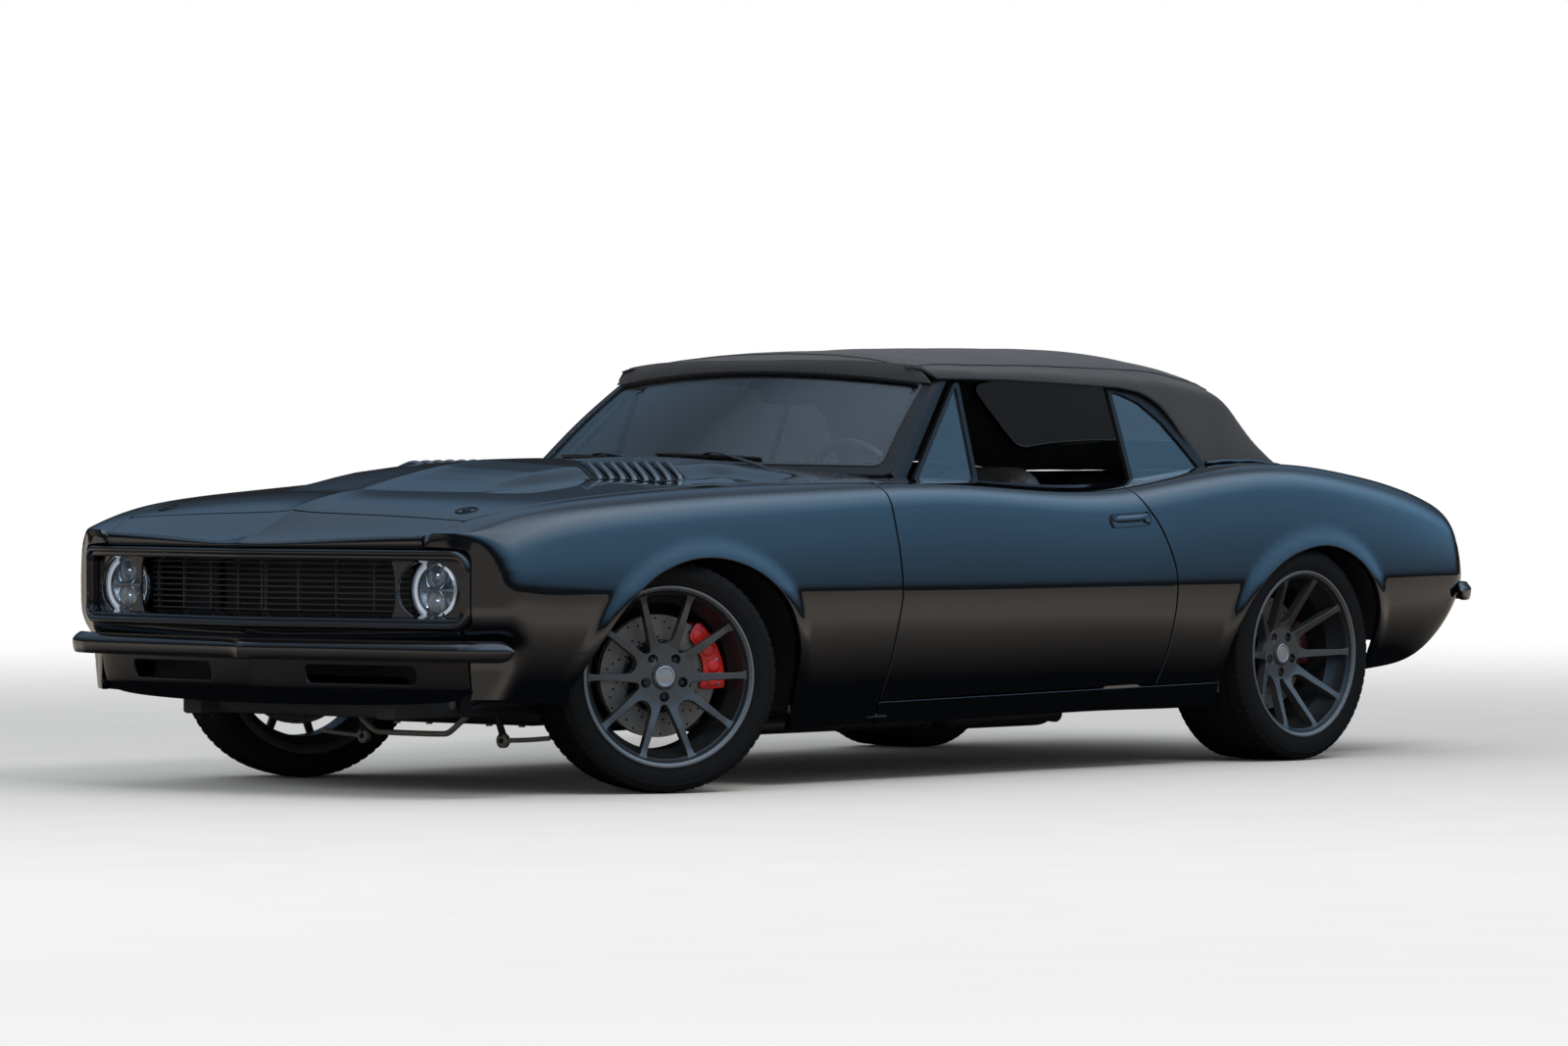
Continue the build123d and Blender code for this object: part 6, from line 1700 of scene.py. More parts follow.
WINDSHIELD = finish("windshield_glass", (0.74, 0.80, 0.79), 0.0, transmission=1.0, vary=0.01, spread=0.0, ior=1.45)
shell = sheet_metal(screen, screen_loop(-6, -4, -4, 26), 5.0, spacing=40.0, gap=0.0, hem=0.5, inner_mat=0)
shell.make("windshield_glass", "root", [WINDSHIELD], "clear_glass", ("windshield",))
frame_patch = set_back(screen, -5.0)
shell = sheet_metal(frame_patch, screen_loop(38, 16, 44, 30), 34.0, spacing=22.0, gap=0.0, hem=7.0,
                    holes=[screen_loop(-13, -14, -12, 26)], hole_hem=3.0)
shell.make("windshield_surround", "root", [FRAME_BLACK, TRIM], "trim_black", ("windshield_frame",))
shell = sheet_metal(set_back(screen, -7.5), screen_loop(0, 2, 2, 30), 6.0, spacing=22.0, gap=0.0, hem=1.6,
                    holes=[screen_loop(-11, -12, -10, 26)], hole_hem=1.6)
shell.make("windshield_moulding", "root", [TRIM, TRIM], "trim_black")


def build_flap():
    """The cloth's front flap, from the roof's edge down to the top of the windshield surround."""
    form = Form()
    rings = []
    for t in np.linspace(-1.05, 1.05, 67):
        h = min(0.985, max(-0.985, t))
        edge = np.array([roof_place(196.0 - 80.0 * h * h, 598.0 * h)])
        top = roof_patch.at(edge)[0]
        foot = set_screen.at(np.array([[700.0 * t * 0.985, 413.0]]))[0]
        way = (foot - top) / np.linalg.norm(foot - top)
        out = np.array([-way[2], 0.0, way[0]]) if way[0] > 0 else np.array([way[2], 0.0, -way[0]])
        back = top - way * 10.0
        rings.append(np.array([back - out * 3.0, top + out * 1.5, (top + foot) / 2 + out * 4.0, foot + out * 2.0,
                               foot + way * 5.0, foot - out * 5.0, (top + foot) / 2 - out * 5.0]))
    form.loft(rings, 0)
    return form


def build_pillar():
    """A painted cover over the pillar between the windshield surround and the door's vent window."""
    form = Form()
    low, high = np.array([359.0, 737.0, 863.0]), np.array([43.0, 632.0, 1168.0])
    rings = []
    for f in np.linspace(-0.06, 1.05, 36):
        a = frame_patch.at(np.array([[730.0, 428.0 * f]]))[0]
        b = low + (high - low) * f
        out = np.cross(high - low, b - a)
        out /= np.linalg.norm(out)
        if out[1] < 0:
            out = -out
        rings.append(np.array([a - out * 12.0, a + out * 0.5, a * 0.7 + b * 0.3 + out * 4.5,
                               a * 0.3 + b * 0.7 + out * 5.0, b + out * 1.0, b - out * 3.0, b - out * 12.0]))
    form.loft(rings, 0)
    return form


set_screen = set_back(screen, -13.0)
build_flap().make("cloth_flap", "root", [CLOTH_GREY], "cloth", angle=55)
pair(build_pillar(), "pillar_cover", "root", [FRAME_BLACK], "trim_black", angle=50)

# Side glass
LEAN = math.radians(19.0)
PLANE_Y, PLANE_Z = 735.0, 865.0


def build_side_plane(out):
    """The left side glass's plane over (x, distance up the glass), set outwards by a distance."""
    xs, ws = np.arange(-1080, 401, 20.0), np.arange(-60, 341, 20.0)
    gx, gw = np.meshgrid(xs, ws, indexing="ij")
    return Patch(xs, ws, np.stack([gx, PLANE_Y + out - gw * math.sin(LEAN), PLANE_Z + gw * math.cos(LEAN)], 2), -1)


def in_plane(points):
    """(x, z) points as the side plane's own (x, distance up the glass)."""
    return [(x, (z - PLANE_Z) / math.cos(LEAN)) for x, z in points]


def round_corners(points, r, n=6):
    """A closed outline with its corners rounded."""
    p = np.array(points, float)
    out = []
    for a, b, c in zip(np.roll(p, 1, axis=0), p, np.roll(p, -1, axis=0)):
        u, v = (a - b) / np.linalg.norm(a - b), (c - b) / np.linalg.norm(c - b)
        d = min(r, 0.45 * np.linalg.norm(a - b), 0.45 * np.linalg.norm(c - b))
        for t in np.linspace(0, 1, n):
            out.append((1 - t) ** 2 * (b + u * d) + 2 * t * (1 - t) * b + t * t * (b + v * d))
    return np.array(out)


def dense(loop, step=12.0):
    """The same closed outline with more points on its long sides."""
    loop = np.vstack([loop, loop[:1]])
    out = [loop[0]]
    for a, b in zip(loop[:-1], loop[1:]):
        n = max(1, int(np.linalg.norm(b - a) / step))
        out.extend(a + (b - a) * k / n for k in range(1, n + 1))
    return np.array(out[:-1])


side_plane, glass_plane = build_side_plane(8.0), build_side_plane(2.5)
VENT_OUT = in_plane([(336, 856), (34, 856), (4, 1154), (26, 1156)])
outer = dense(round_corners(VENT_OUT, 12))
inner = dense(round_corners(in_plane([(300, 870), (51, 870), (24, 1136), (26, 1139)]), 9))
shell = sheet_metal(side_plane, outer, 16.0, spacing=26.0, gap=0.0, hem=2.2, holes=[inner], hole_hem=2.2)
pair(shell, "vent_frame", "door_left", [FRAME_BLACK, TRIM], "trim_black", ("vent_window_left",))
shell = sheet_metal(glass_plane, dense(round_corners(in_plane([(308, 866), (46, 866), (20, 1142), (26, 1144)]), 8)),
                    4.0, spacing=40, gap=0.0, hem=0.4, inner_mat=0)
pair(shell, "vent_glass", "door_left", [GLASS_CLEAR], "clear_glass")
quarter_out = [(-676, 1156), (-716, 1152), (-826, 1132), (-916, 1078), (-990, 1000), (-1062, 884), (-1050, 872),
               (-969, 862), (-810, 836), (-668, 828)]
quarter_in = [(-694, 1126), (-728, 1122), (-808, 1095), (-889, 1038), (-953, 970), (-1020, 890), (-969, 876),
              (-810, 848), (-688, 842)]
shell = sheet_metal(side_plane, dense(round_corners(in_plane(quarter_out), 10)), 14.0, spacing=26.0, gap=0.0, hem=2.0,
                    holes=[dense(round_corners(in_plane(quarter_in), 12))], hole_hem=2.0)
pair(shell, "quarter_frame", "root", [FRAME_BLACK, TRIM], "trim_black", ("quarter_windows",))
shell = sheet_metal(glass_plane, dense(round_corners(in_plane([(-684, 1136), (-722, 1132), (-814, 1104), (-898, 1046),
                                                               (-962, 978), (-1032, 886), (-969, 868), (-810, 842),
                                                               (-680, 836)]), 8)), 4.0, spacing=40, gap=0.0, hem=0.4,
                    inner_mat=0)
pair(shell, "quarter_glass", "root", [GLASS_CLEAR], "clear_glass")

# Cushions
LEATHER = finish("leather", (0.022, 0.021, 0.021), 0.42, vary=0.25, bump=0.35, bump_scale=260, scale=30)
LEATHER_FLAT = finish("leather_flat", (0.028, 0.027, 0.027), 0.5, vary=0.2, bump=0.1, bump_scale=320)
PLASTIC = finish("plastic", (0.020, 0.020, 0.021), 0.5, vary=0.2, bump=0.2, bump_scale=500)
CARPET = finish("carpet", (0.016, 0.016, 0.016), 0.95, vary=0.45, scale=500, bump=0.9, bump_scale=900)


def pillow(size, power=5.0, n=14):
    """A closed rounded form: a cube pushed out to a superellipsoid of a size (length, width, height)."""
    form = Form()
    ticks = np.tan(np.linspace(-1, 1, n + 1) * math.pi / 4)
    for axis in range(3):
        for sign in (-1, 1):
            grid = np.zeros((n + 1, n + 1, 3))
            a, b = np.meshgrid(ticks, ticks, indexing="ij")
            grid[..., axis] = sign
            grid[..., (axis + 1) % 3], grid[..., (axis + 2) % 3] = a, b
            flat = grid.reshape(-1, 3)
            flat = flat / (np.abs(flat) ** power).sum(1)[:, None] ** (1 / power)
            faces = [[i * (n + 1) + j, (i + 1) * (n + 1) + j, (i + 1) * (n + 1) + j + 1, i * (n + 1) + j + 1]
                     for i in range(n) for j in range(n)]
            if sign < 0:
                faces = [f[::-1] for f in faces]
            form.add(flat * np.array(size) / 2, faces)
    return form


def inflate(mesh, voxel, cap, seconds=18):
    """Remeshes a closed mesh, blows it up as cloth under pressure, and holds each point within a cap of its start."""
    obj = bpy.data.objects.new("pad_work", mesh)
    bpy.context.scene.collection.objects.link(obj)
    mod = obj.modifiers.new("remesh", "REMESH")
    mod.mode = "VOXEL"
    mod.voxel_size = voxel
    graph = bpy.context.evaluated_depsgraph_get()
    solid = bpy.data.meshes.new_from_object(obj.evaluated_get(graph))
    obj.modifiers.clear()
    obj.data = solid
    start = np.array([tuple(v.co) for v in solid.vertices])
    cloth = obj.modifiers.new("cloth", "CLOTH")
    cloth.settings.use_pressure = True
    cloth.settings.uniform_pressure_force = 4.0
    cloth.settings.effector_weights.gravity = 0.0
    cloth.settings.quality = 4
    cloth.settings.tension_stiffness = 12
    cloth.settings.compression_stiffness = 12
    cloth.collision_settings.use_self_collision = False
    cloth.point_cache.frame_start, cloth.point_cache.frame_end = 1, seconds
    scene = bpy.context.scene
    for f in range(1, seconds + 1):
        scene.frame_set(f)
    graph = bpy.context.evaluated_depsgraph_get()
    done = bpy.data.meshes.new_from_object(obj.evaluated_get(graph))
    scene.frame_set(1)
    end = np.array([tuple(v.co) for v in done.vertices])
    move = end - start
    size = np.linalg.norm(move, axis=1)
    move *= (np.minimum(size, cap) / np.maximum(size, 1e-9))[:, None]
    done.vertices.foreach_set("co", (start + move).ravel())
    bpy.data.objects.remove(obj)
    return done


def cushion(name, size, matrix, grooves, materials, mirror_too=True, power=5.0, cap=0.010, taper=0.0, replaces=()):
    """A stuffed pad of a size in millimetres, placed by a 4 x 4 matrix. grooves are (axis, places, from, to) of sewn
    channels on its upper face, in its own millimetres."""

    def narrow(p):
        p[:, 1] *= 1 - taper * (p[:, 0] / size[0] + 0.5)
        return p
    # it starts smaller by about what the pressure adds
    form = pillow(np.array(size) - 2 * cap * 1000 * 0.7, power)
    form = form.moved(narrow)
    mesh = bpy.data.meshes.new(name)
    mesh.from_pydata((np.array(form.verts) * MM).tolist(), [], form.faces)
    bm = bmesh.new()
    bm.from_mesh(mesh)
    bmesh.ops.remove_doubles(bm, verts=bm.verts[:], dist=1e-5)
    bmesh.ops.recalc_face_normals(bm, faces=bm.faces[:])
    bm.to_mesh(mesh)
    bm.free()
    mesh = inflate(mesh, 0.012 if size[1] < 700 else 0.0145, cap)
    bm = bmesh.new()
    bm.from_mesh(mesh)
    bmesh.ops.subdivide_edges(bm, edges=bm.edges[:], cuts=1, use_grid_fill=True)
    for _ in range(2):
        bmesh.ops.smooth_vert(bm, verts=bm.verts[:], factor=0.5, use_axis_x=True, use_axis_y=True, use_axis_z=True)
    bm.normal_update()
    for v in bm.verts:
        p = v.co / MM
        if v.normal.z < 0.1:
            continue
        deep = 0.0
        for axis, places, low, high in grooves:
            other = p.y if axis == 0 else p.x
            here = p.x if axis == 0 else p.y
            if low - 6 < other < high + 6:
                fade = min(1.0, max(0.0, min(other - low + 6, high + 6 - other) / 12))
                for at in places:
                    deep = max(deep, fade * 6.5 * math.exp(-((here - at) / 5.5) ** 2))
        v.co -= v.normal * deep * MM
    bm.transform(matrix)
    bm.to_mesh(mesh)
    bm.free()
    mesh.polygons.foreach_set("use_smooth", [True] * len(mesh.polygons))
    for side in ((1, -1) if mirror_too else (1,)):
        data = mesh if side == 1 else mesh.copy()
        if side == -1:
            data.transform(Matrix.Scale(-1, 4, (0, 1, 0)))
            data.flip_normals()
        data.materials.clear()
        for m in materials:
            data.materials.append(m)
        word = name if not mirror_too else name + ("_left" if side == 1 else "_right")
        obj = bpy.data.objects.new(word, data)
        bpy.context.scene.collection.objects.link(obj)
        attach(obj, "root")
        if side == 1 and replaces:
            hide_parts(*replaces)


def placed(x, y, z, pitch=0.0):
    """The matrix of a place in millimetres and a pitch in degrees."""
    return Matrix.Translation((x * MM, y * MM, z * MM)) @ Matrix.Rotation(math.radians(pitch), 4, "Y")


SEAT_Y = 395.0
PLEATS = [-150, -100, -50, 0, 50, 100]
cushion("seat_cushion", (470, 490, 135), placed(-160, SEAT_Y, 372, -4),
        [(0, PLEATS, -150, 150), (1, (-158, 158), -190, 190)], [LEATHER], replaces=("front_seats",))
cushion("seat_back", (520, 480, 110), placed(-466, SEAT_Y, 664, -75),
        [(0, [-175, -125, -75, -25, 25, 75, 125], -145, 145), (1, (-152, 152), -205, 150)], [LEATHER], taper=0.12)
cushion("rear_bench", (370, 1070, 110), placed(-872, 0, 557, -4), [(1, (-500, -250, -30, 30, 250, 500), -160, 160)],
        [LEATHER], mirror_too=False, replaces=("rear_seat",))
cushion("rear_back", (250, 1070, 90), placed(-1040, 0, 712, -80), [(1, (-500, -250, -30, 30, 250, 500), -110, 110)],
        [LEATHER], mirror_too=False)

seat_base = Form()
seat_base.box(-385, 65, SEAT_Y - 215, SEAT_Y + 215, 240, 312, 0, 14)
for y in (SEAT_Y - 170, SEAT_Y + 170):
    seat_base.box(-375, 75, y - 14, y + 14, 222.5, 242, 1, 2)
seat_base.box(-590, -530, SEAT_Y - 200, SEAT_Y + 200, 440, 850, 0, 26,
              tilt(-15, "Y"))
pair(seat_base, "seat_frame", "root", [PLASTIC, CHASSIS], "cabin_plastic")


# Dashboard, console and column
def build_dash():
    form = Form()
    rings = []
    for y in np.linspace(-636, 636, 61):
        e = (abs(y) / 636.0) ** 6
        pod = 14.0 * math.exp(-((y - SEAT_Y) / 170.0) ** 4)
        ring = smooth_line([(530, 690), (532, 800), (515, 822), (470, 831 + pod * 0.7), (420, 828 + pod),
                            (388 - pod, 815 + pod * 0.6), (380 - pod, 800), (384, 786), (398, 770), (402, 735),
                            (400, 690), (408, 655), (430, 640), (500, 640), (528, 660), (530, 690)], 14)[:-1]
        rings.append(np.column_stack([ring[:, 0] + 20 * e, np.full(len(ring), y), ring[:, 1] - 26 * e]))
    n = min(len(r) for r in rings)
    rings = [np.array([r[int(round(i * (len(r) - 1) / (n - 1)))] for i in range(n)]) for r in rings]
    form.loft(rings, 0)
    for y, r in ((SEAT_Y - 75, 46), (SEAT_Y + 75, 46)):
        form.turn([(r + 5, -10), (r + 5, 6), (r + 1, 9), (r - 2, 6), (r - 3, 1), (0.1, 1)], (399, y, 740),
                  (-1, 0, 0.12), 40, 1)
        form.turn([(3, 0), (3, 7), (0.1, 8)], (399, y, 740), (-1, 0, 0.12), 16, 2)
        form.box(392, 394, y - 1.2, y + 1.2, 742, 776, 3, 0.4)
    for y in (-30, 30):
        form.box(388, 402, y - 24, y + 24, 700, 716, 1, 3)
    form.box(392, 404, -560, -230, 700, 765, 1, 6)
    form.box(386, 396, -420, -370, 754, 760, 2, 2)
    for y in (-590, 590):
        form.box(388, 402, y - 26, y + 26, 735, 768, 1, 8)
        for k in range(4):
            form.box(384, 392, y - 22, y + 22, 741 + 7 * k, 743 + 7 * k, 2, 0.5)
    form.box(430, 690, -300, 300, 560, 640, 1, 20)
    form.box(-420, 440, -108, 108, 404, 505, 1, 22)
    form.box(380, 440, -108, 108, 495, 650, 1, 16)
    form.box(-400, -120, -92, 92, 500, 522, 0, 10)
    form.turn([(46, 0), (44, 8), (34, 26), (22, 46), (12, 60)], (60, 0, 502), (0, 0, 1), 24, 4)
    form.tube([(60, 0, 540), (56, 0, 600), (50, 0, 640)], 5, 2, 12)
    form.turn([(r * 20 + 0.1, h) for r, h in ((0.5, -16), (0.9, -8), (1.0, 2), (0.9, 12), (0.55, 20), (0.02, 23))],
              (49, 0, 655), (0, 0, 1), 32, 1)
    form.tube([(500, SEAT_Y, 692), (400, SEAT_Y, 726), (300, SEAT_Y, 760)], [34, 34, 30], 1, 24)
    form.tube([(300, SEAT_Y, 760), (172.5, SEAT_Y, 804)], [24, 24], 1, 24)
    form.tube([(230, SEAT_Y + 20, 784), (225, SEAT_Y + 110, 800)], [4.5, 6], 1, 10)
    for y, w in ((SEAT_Y - 20, 30), (SEAT_Y + 80, 24)):
        form.box(560, 572, y - w, y + w, 330, 400, 2, 4, tilt(-28, "Y"))
    return form


CHROME_DULL = finish("satin_metal", (0.45, 0.45, 0.46), 0.28, metal=0.95, vary=0.1)
NEEDLE = finish("needle", (0.75, 0.74, 0.7), 0.5)
build_dash().make("dashboard_trim", "root", [LEATHER_FLAT, PLASTIC, CHROME_DULL, NEEDLE, LEATHER], "cabin_plastic",
                  ("dashboard",), angle=30)


def build_hand_wheel():
    """A thick round rim with stitched grips, three slotted spokes and a padded hub."""
    ring_r, grip_r = 178, 13
    form = Form()
    z = Vector((-320.0, 0, 110.0)).normalized()
    across_dir = Vector((0, 1, 0))
    up = z.cross(across_dir)
    if up.z < 0:
        up = -up
    at = Vector((158.0, SEAT_Y, 809.0))

    def put(p):
        return np.array([tuple(at + across_dir * a + up * b + z * c) for a, b, c in p])
    rings = []
    for t in circle(96):
        grip = 1 + 0.10 * (math.exp(-((math.degrees(t) - 35) / 14) ** 2)
                           + math.exp(-((math.degrees(t) - 145) / 14) ** 2))
        rings.append(put([((ring_r + grip_r * grip * math.cos(a)) * math.cos(t),
                           (ring_r + grip_r * grip * math.cos(a)) * math.sin(t), grip_r * grip * math.sin(a))
                          for a in circle(16)]))
    rings.append(rings[0])
    form.loft(rings, 0, caps=(False, False))
    for angle in (0, 180, 270):
        c, q = math.cos(math.radians(angle)), math.sin(math.radians(angle))
        for off in (-9, 9):
            bar = []
            for r in np.linspace(26, 170, 9):
                w, h = 7.5, 3.2
                drop = -10 * math.sin((170 - r) / 144 * math.pi / 2)
                o = off * (0.7 + 0.5 * (r / 170))
                bar.append(put([((r * c - (o + w * sa) * q), (r * q + (o + w * sa) * c), drop + h * sb)
                                for sa, sb in ((-1, -0.6), (-0.7, -1), (0.7, -1), (1, -0.6), (1, 0.6), (0.7, 1),
                                               (-0.7, 1), (-1, 0.6))]))
            form.loft(bar, 1)
    form.turn([(30, -22), (38, -14), (39, 0), (34, 6), (22, 9), (0.1, 10)], tuple(at), tuple(z), 40, 2)
    return form


build_hand_wheel().make("hand_wheel", "steering_wheel", [LEATHER, CHROME_DULL, PLASTIC], "cabin_plastic",
                        ("steering_wheel",), angle=40)

mirror = pillow((30, 240, 62), 3.4, 12).moved(lambda p: p + (35, 0, 1120))
glass = Form()
glass.loft([np.array([(20.5, y * k, 1120 + z * k) for y, z in rounded_rect(-110, 110, -24, 24, 14)])
            for k in (1.0, 0.2)], 1)
mirror.join(glass)
mirror.tube([(45, 0, 1122), (90, 0, 1128), (160, 0, 1136), (224, 0, 1143)], [6, 5.5, 5, 5.5], 0, 14)
mirror.turn([(15, 0), (15, 3), (12, 6), (0.1, 7)], (231, 0, 1148), (-0.83, 0, -0.55), 28, 0)
mirror.make("cabin_mirror", "root", [PLASTIC, CHROME], "cabin_plastic", ("rear_view_mirror",), angle=40)


# Wipers
def build_wipers():
    """Two wipers parked low on the glass: a pivot cap, a bent arm and a blade with its rubber."""
    form = Form()
    for pivot, u0, u1 in (((684.0, 560.0, 872.0), 312.0, -92.0), ((706.0, 80.0, 894.0), -170.0, -574.0)):
        pivot = np.array(pivot)
        form.turn([(19, -16), (19, 0), (16, 5), (11, 8), (10, 16), (7, 19), (0.1, 20)], tuple(pivot + (0, 0, -2)),
                  (0, 0, 1), 28, 0)
        row = np.array([(u, 16.0 + 14.0 * (u0 - u) / (u0 - u1)) for u in np.linspace(u0, u1, 31)])
        on_glass, out = screen.at(row), screen.normal(row)
        rubber, back = on_glass + out * 6.0, on_glass + out * 14.0
        tip = back[15] + out[15] * 9.0
        lift = pivot + (0, 0, 14)
        arm = smooth_line([lift, lift + (-8, -46, 10), lift * 0.55 + tip * 0.45 + (6, 0, 12), tip + (12, 60, 3), tip],
                          12)
        form.tube(arm, np.linspace(10.5, 5.5, len(arm)), 0, 12, flat=0.5)
        form.tube(back, np.concatenate([np.linspace(3.0, 5.2, 8), np.full(15, 5.2), np.linspace(5.2, 3.0, 8)]), 0, 10,
                  flat=1.3)
        form.tube(rubber, 2.8, 1, 8, flat=2.2)
        for k in (7, 15, 23):
            q = back[k]
            form.box(q[0] - 9, q[0] + 5, q[1] - 8, q[1] + 8, q[2] - 8, q[2] + 6, 0, 2)
    return form


build_wipers().make("wiper_set", "root", [TRIM, RUBBER], "trim_black", ("wipers",), angle=40)


# Hood louvres: eight slats in a sunk frame on each side of the raised middle
LOUVRE_FRONT, LOUVRE_STEP = 1282.0, 48.0


def louvre_path(x, n):
    """Points down the hood's side slope, from its raised middle to its foot, swept forward."""
    f = np.linspace(0, 1, n)
    y = 316.0 + 122.0 * f
    return f, np.stack([x + 47.0 * f, y], 1)


def build_louvres():
    form = Form()
    for k in range(8):
        x = LOUVRE_FRONT - LOUVRE_STEP * k
        f, line = louvre_path(x, 17)
        at, out = top_patch.at(line), top_patch.normal(line)
        rise = (1 - np.abs(2 * f - 1) ** 5) * 0.85 + 0.15
        rings = []
        for p, n, r in zip(at, out, rise):
            rings.append(np.array([p + (dx, 0, 0) + n * dz * r
                                   for dx, dz in ((11, -1.5), (10.5, 4.0), (7.5, 11.5), (2.0, 15.5), (-4.0, 16.2),
                                                  (-7.5, 14.6), (-7.0, 12.4), (-1.0, 9.5), (3.5, 4.0), (5, -1.5))]))
        form.loft(rings, 0)
        # a near-black plate under each slat, painted shade for the opening behind it
        slot = [np.array([p + (4, 0, 0) - n * 0.8, p + (4, 0, 0) + n * 1.4, p + (-31, 0, 0) + n * 1.4,
                          p + (-31, 0, 0) - n * 0.8]) for p, n in zip(at[1:-1], out[1:-1])]
        form.loft(slot, 1)
    # a near-black plate ahead of the first slat, painted shade as well
    f, line = louvre_path(1310.0, 17)
    at, out = top_patch.at(line), top_patch.normal(line)
    form.loft([np.array([p + (4, 0, 0) - n * 0.8, p + (4, 0, 0) + n * 1.4, p + (-22, 0, 0) + n * 1.4,
                         p + (-22, 0, 0) - n * 0.8]) for p, n in zip(at, out)], 1)
    return form


# near black: painted shade under the louvres' slats, and the dark joint of the fender seam
JOINT_AND_SHADE_BLACK = finish("slot", (0.003, 0.003, 0.003), 0.8)
pair(build_louvres(), "hood_louvres", "hood", [PAINT, JOINT_AND_SHADE_BLACK], "body_paint", angle=38)


# Hood fastener, door handles, seam and small trim
def on_top(x, y, lift=0.0):
    """A point on the body's top raised by a lift, and the direction out of the surface there."""
    p = top_patch.at(np.array([[x, y]]))[0]
    n = top_patch.normal(np.array([[x, y]]))[0]
    return p + n * lift, n


button = Form()
p, n = on_top(2035, 595, -1)
button.turn([(34, -2), (34, 1.6), (32, 3.2), (28, 3.4), (26, 2.2), (25.5, 0.6), (13, 0.4), (12, 3.6), (10, 4.6),
             (0.1, 4.8)], tuple(p), tuple(n), 48, 0)
pair(button, "hood_pin", "hood", [FRAME_BLACK], "trim_black", angle=30)


def build_seam():
    """The joint between a front fender and the apron below it, a thin dark line level with the bumper."""
    form = Form()
    rings = []
    for x in np.linspace(2100, 1843, 30):
        uv = side_uv([(x, 404.0)])
        p, n = side_patch.at(uv)[0], side_patch.normal(uv)[0]
        rings.append(np.array([p + n * 0.35 + (0, 0, 1.6), p + n * 0.35 - (0, 0, 1.6), p - n * 2.0 - (0, 0, 1.6),
                               p - n * 2.0 + (0, 0, 1.6)]))
    form.loft(rings, 0)
    return form


pair(build_seam(), "fender_seam", "root", [JOINT_AND_SHADE_BLACK], "trim_black")


def build_handle():
    """A flush handle: a round-ended recess with a flap across its front."""
    form = Form()
    uv = side_uv([(-505, 745)])[0]
    rings = []
    loop = rounded_rect(-88, 88, -17, 17, 15, 8)
    for grow, out in ((1.08, -1.0), (1.07, 2.2), (1.02, 3.6), (0.96, 2.6), (0.93, -5.0), (0.9, -14.0), (0.01, -14.0)):
        pts = np.stack([uv[0] + loop[:, 0] * grow, uv[1] + loop[:, 1] * grow], 1)
        rings.append(side_patch.raised(pts, out))
    form.loft(rings, 0, caps=(False, False))
    rings = []
    for f in np.linspace(-80, 80, 21):
        ring = []
        e = math.sqrt(max(0.02, 1 - (abs(f) / 82) ** 6))
        for dv, out in ((9, -4), (10.5, 0.5), (8, 3.4), (0, 4.6), (-6 * e, 3.4), (-8 * e, 0.5), (-6, -4)):
            q = np.array([[uv[0] + f, uv[1] + 2 + dv * e]])
            ring.append(side_patch.raised(q, out * (0.5 + 0.5 * e))[0])
        rings.append(np.array(ring))
    form.loft(rings, 1)
    knob = uv + (-74, 0)
    q = side_patch.at(knob[None])[0]
    form.turn([(14, -2), (14, 5.0), (12.5, 6.4), (10.5, 6.6), (9.5, 5.4), (0.1, 5.2)], tuple(q),
              tuple(side_patch.normal(knob[None])[0]), 32, 1)
    return form


pair(build_handle(), "door_handle", "door_left", [FRAME_BLACK, PAINT], "trim_black", angle=38)


# Wheel-arch liners, and dark panels that close the engine bay behind the mouth
def build_liner(arch, y_in):
    form = Form()
    line = smooth_line(arch, 20)
    mid = np.array([line[:, 0].mean(), 327.0])
    line = line[line[:, 1] > np.where(line[:, 0] < -1600, 345, 215)]
    away = line - mid
    away = away / np.linalg.norm(away, axis=1)[:, None]
    lip = line
    line = line + away * 11.0
    uv = side_uv(np.stack([line[:, 0], np.clip(line[:, 1], 250, 700)], 1))
    skin = side_patch.at(uv)[:, 1]
    outer = skin - 26.0
    rings = []
    for grow, deep in ((1.5, 9.0), (7.0, 14.0)):
        edge = lip + away * grow
        rings.append(np.column_stack([edge[:, 0], skin - deep, edge[:, 1]]))
    for f in (0.0, 0.04, 0.35, 0.7, 0.96, 1.0):
        y = outer + (y_in - outer) * f
        bulge = 1 + 0.02 * math.sin(f * math.pi)
        rings.append(np.column_stack([mid[0] + (line[:, 0] - mid[0]) * bulge, y,
                                      mid[1] + (line[:, 1] - mid[1]) * bulge]))
    form.loft(rings, 0, closed=False, caps=(False, False))
    back = [rings[-1], rings[-1] * (1, 1, 0) + (0, 0, 225)]
    form.loft(back, 0, closed=False, caps=(False, False))
    return form


pair(build_liner(FRONT_ARCH, 440.0), "front_liner", "root", [INNER], "chassis_black", ("inner_fenders",), angle=40)
pair(build_liner(REAR_ARCH, 566.0), "rear_liner", "root", [INNER], "chassis_black", angle=40)


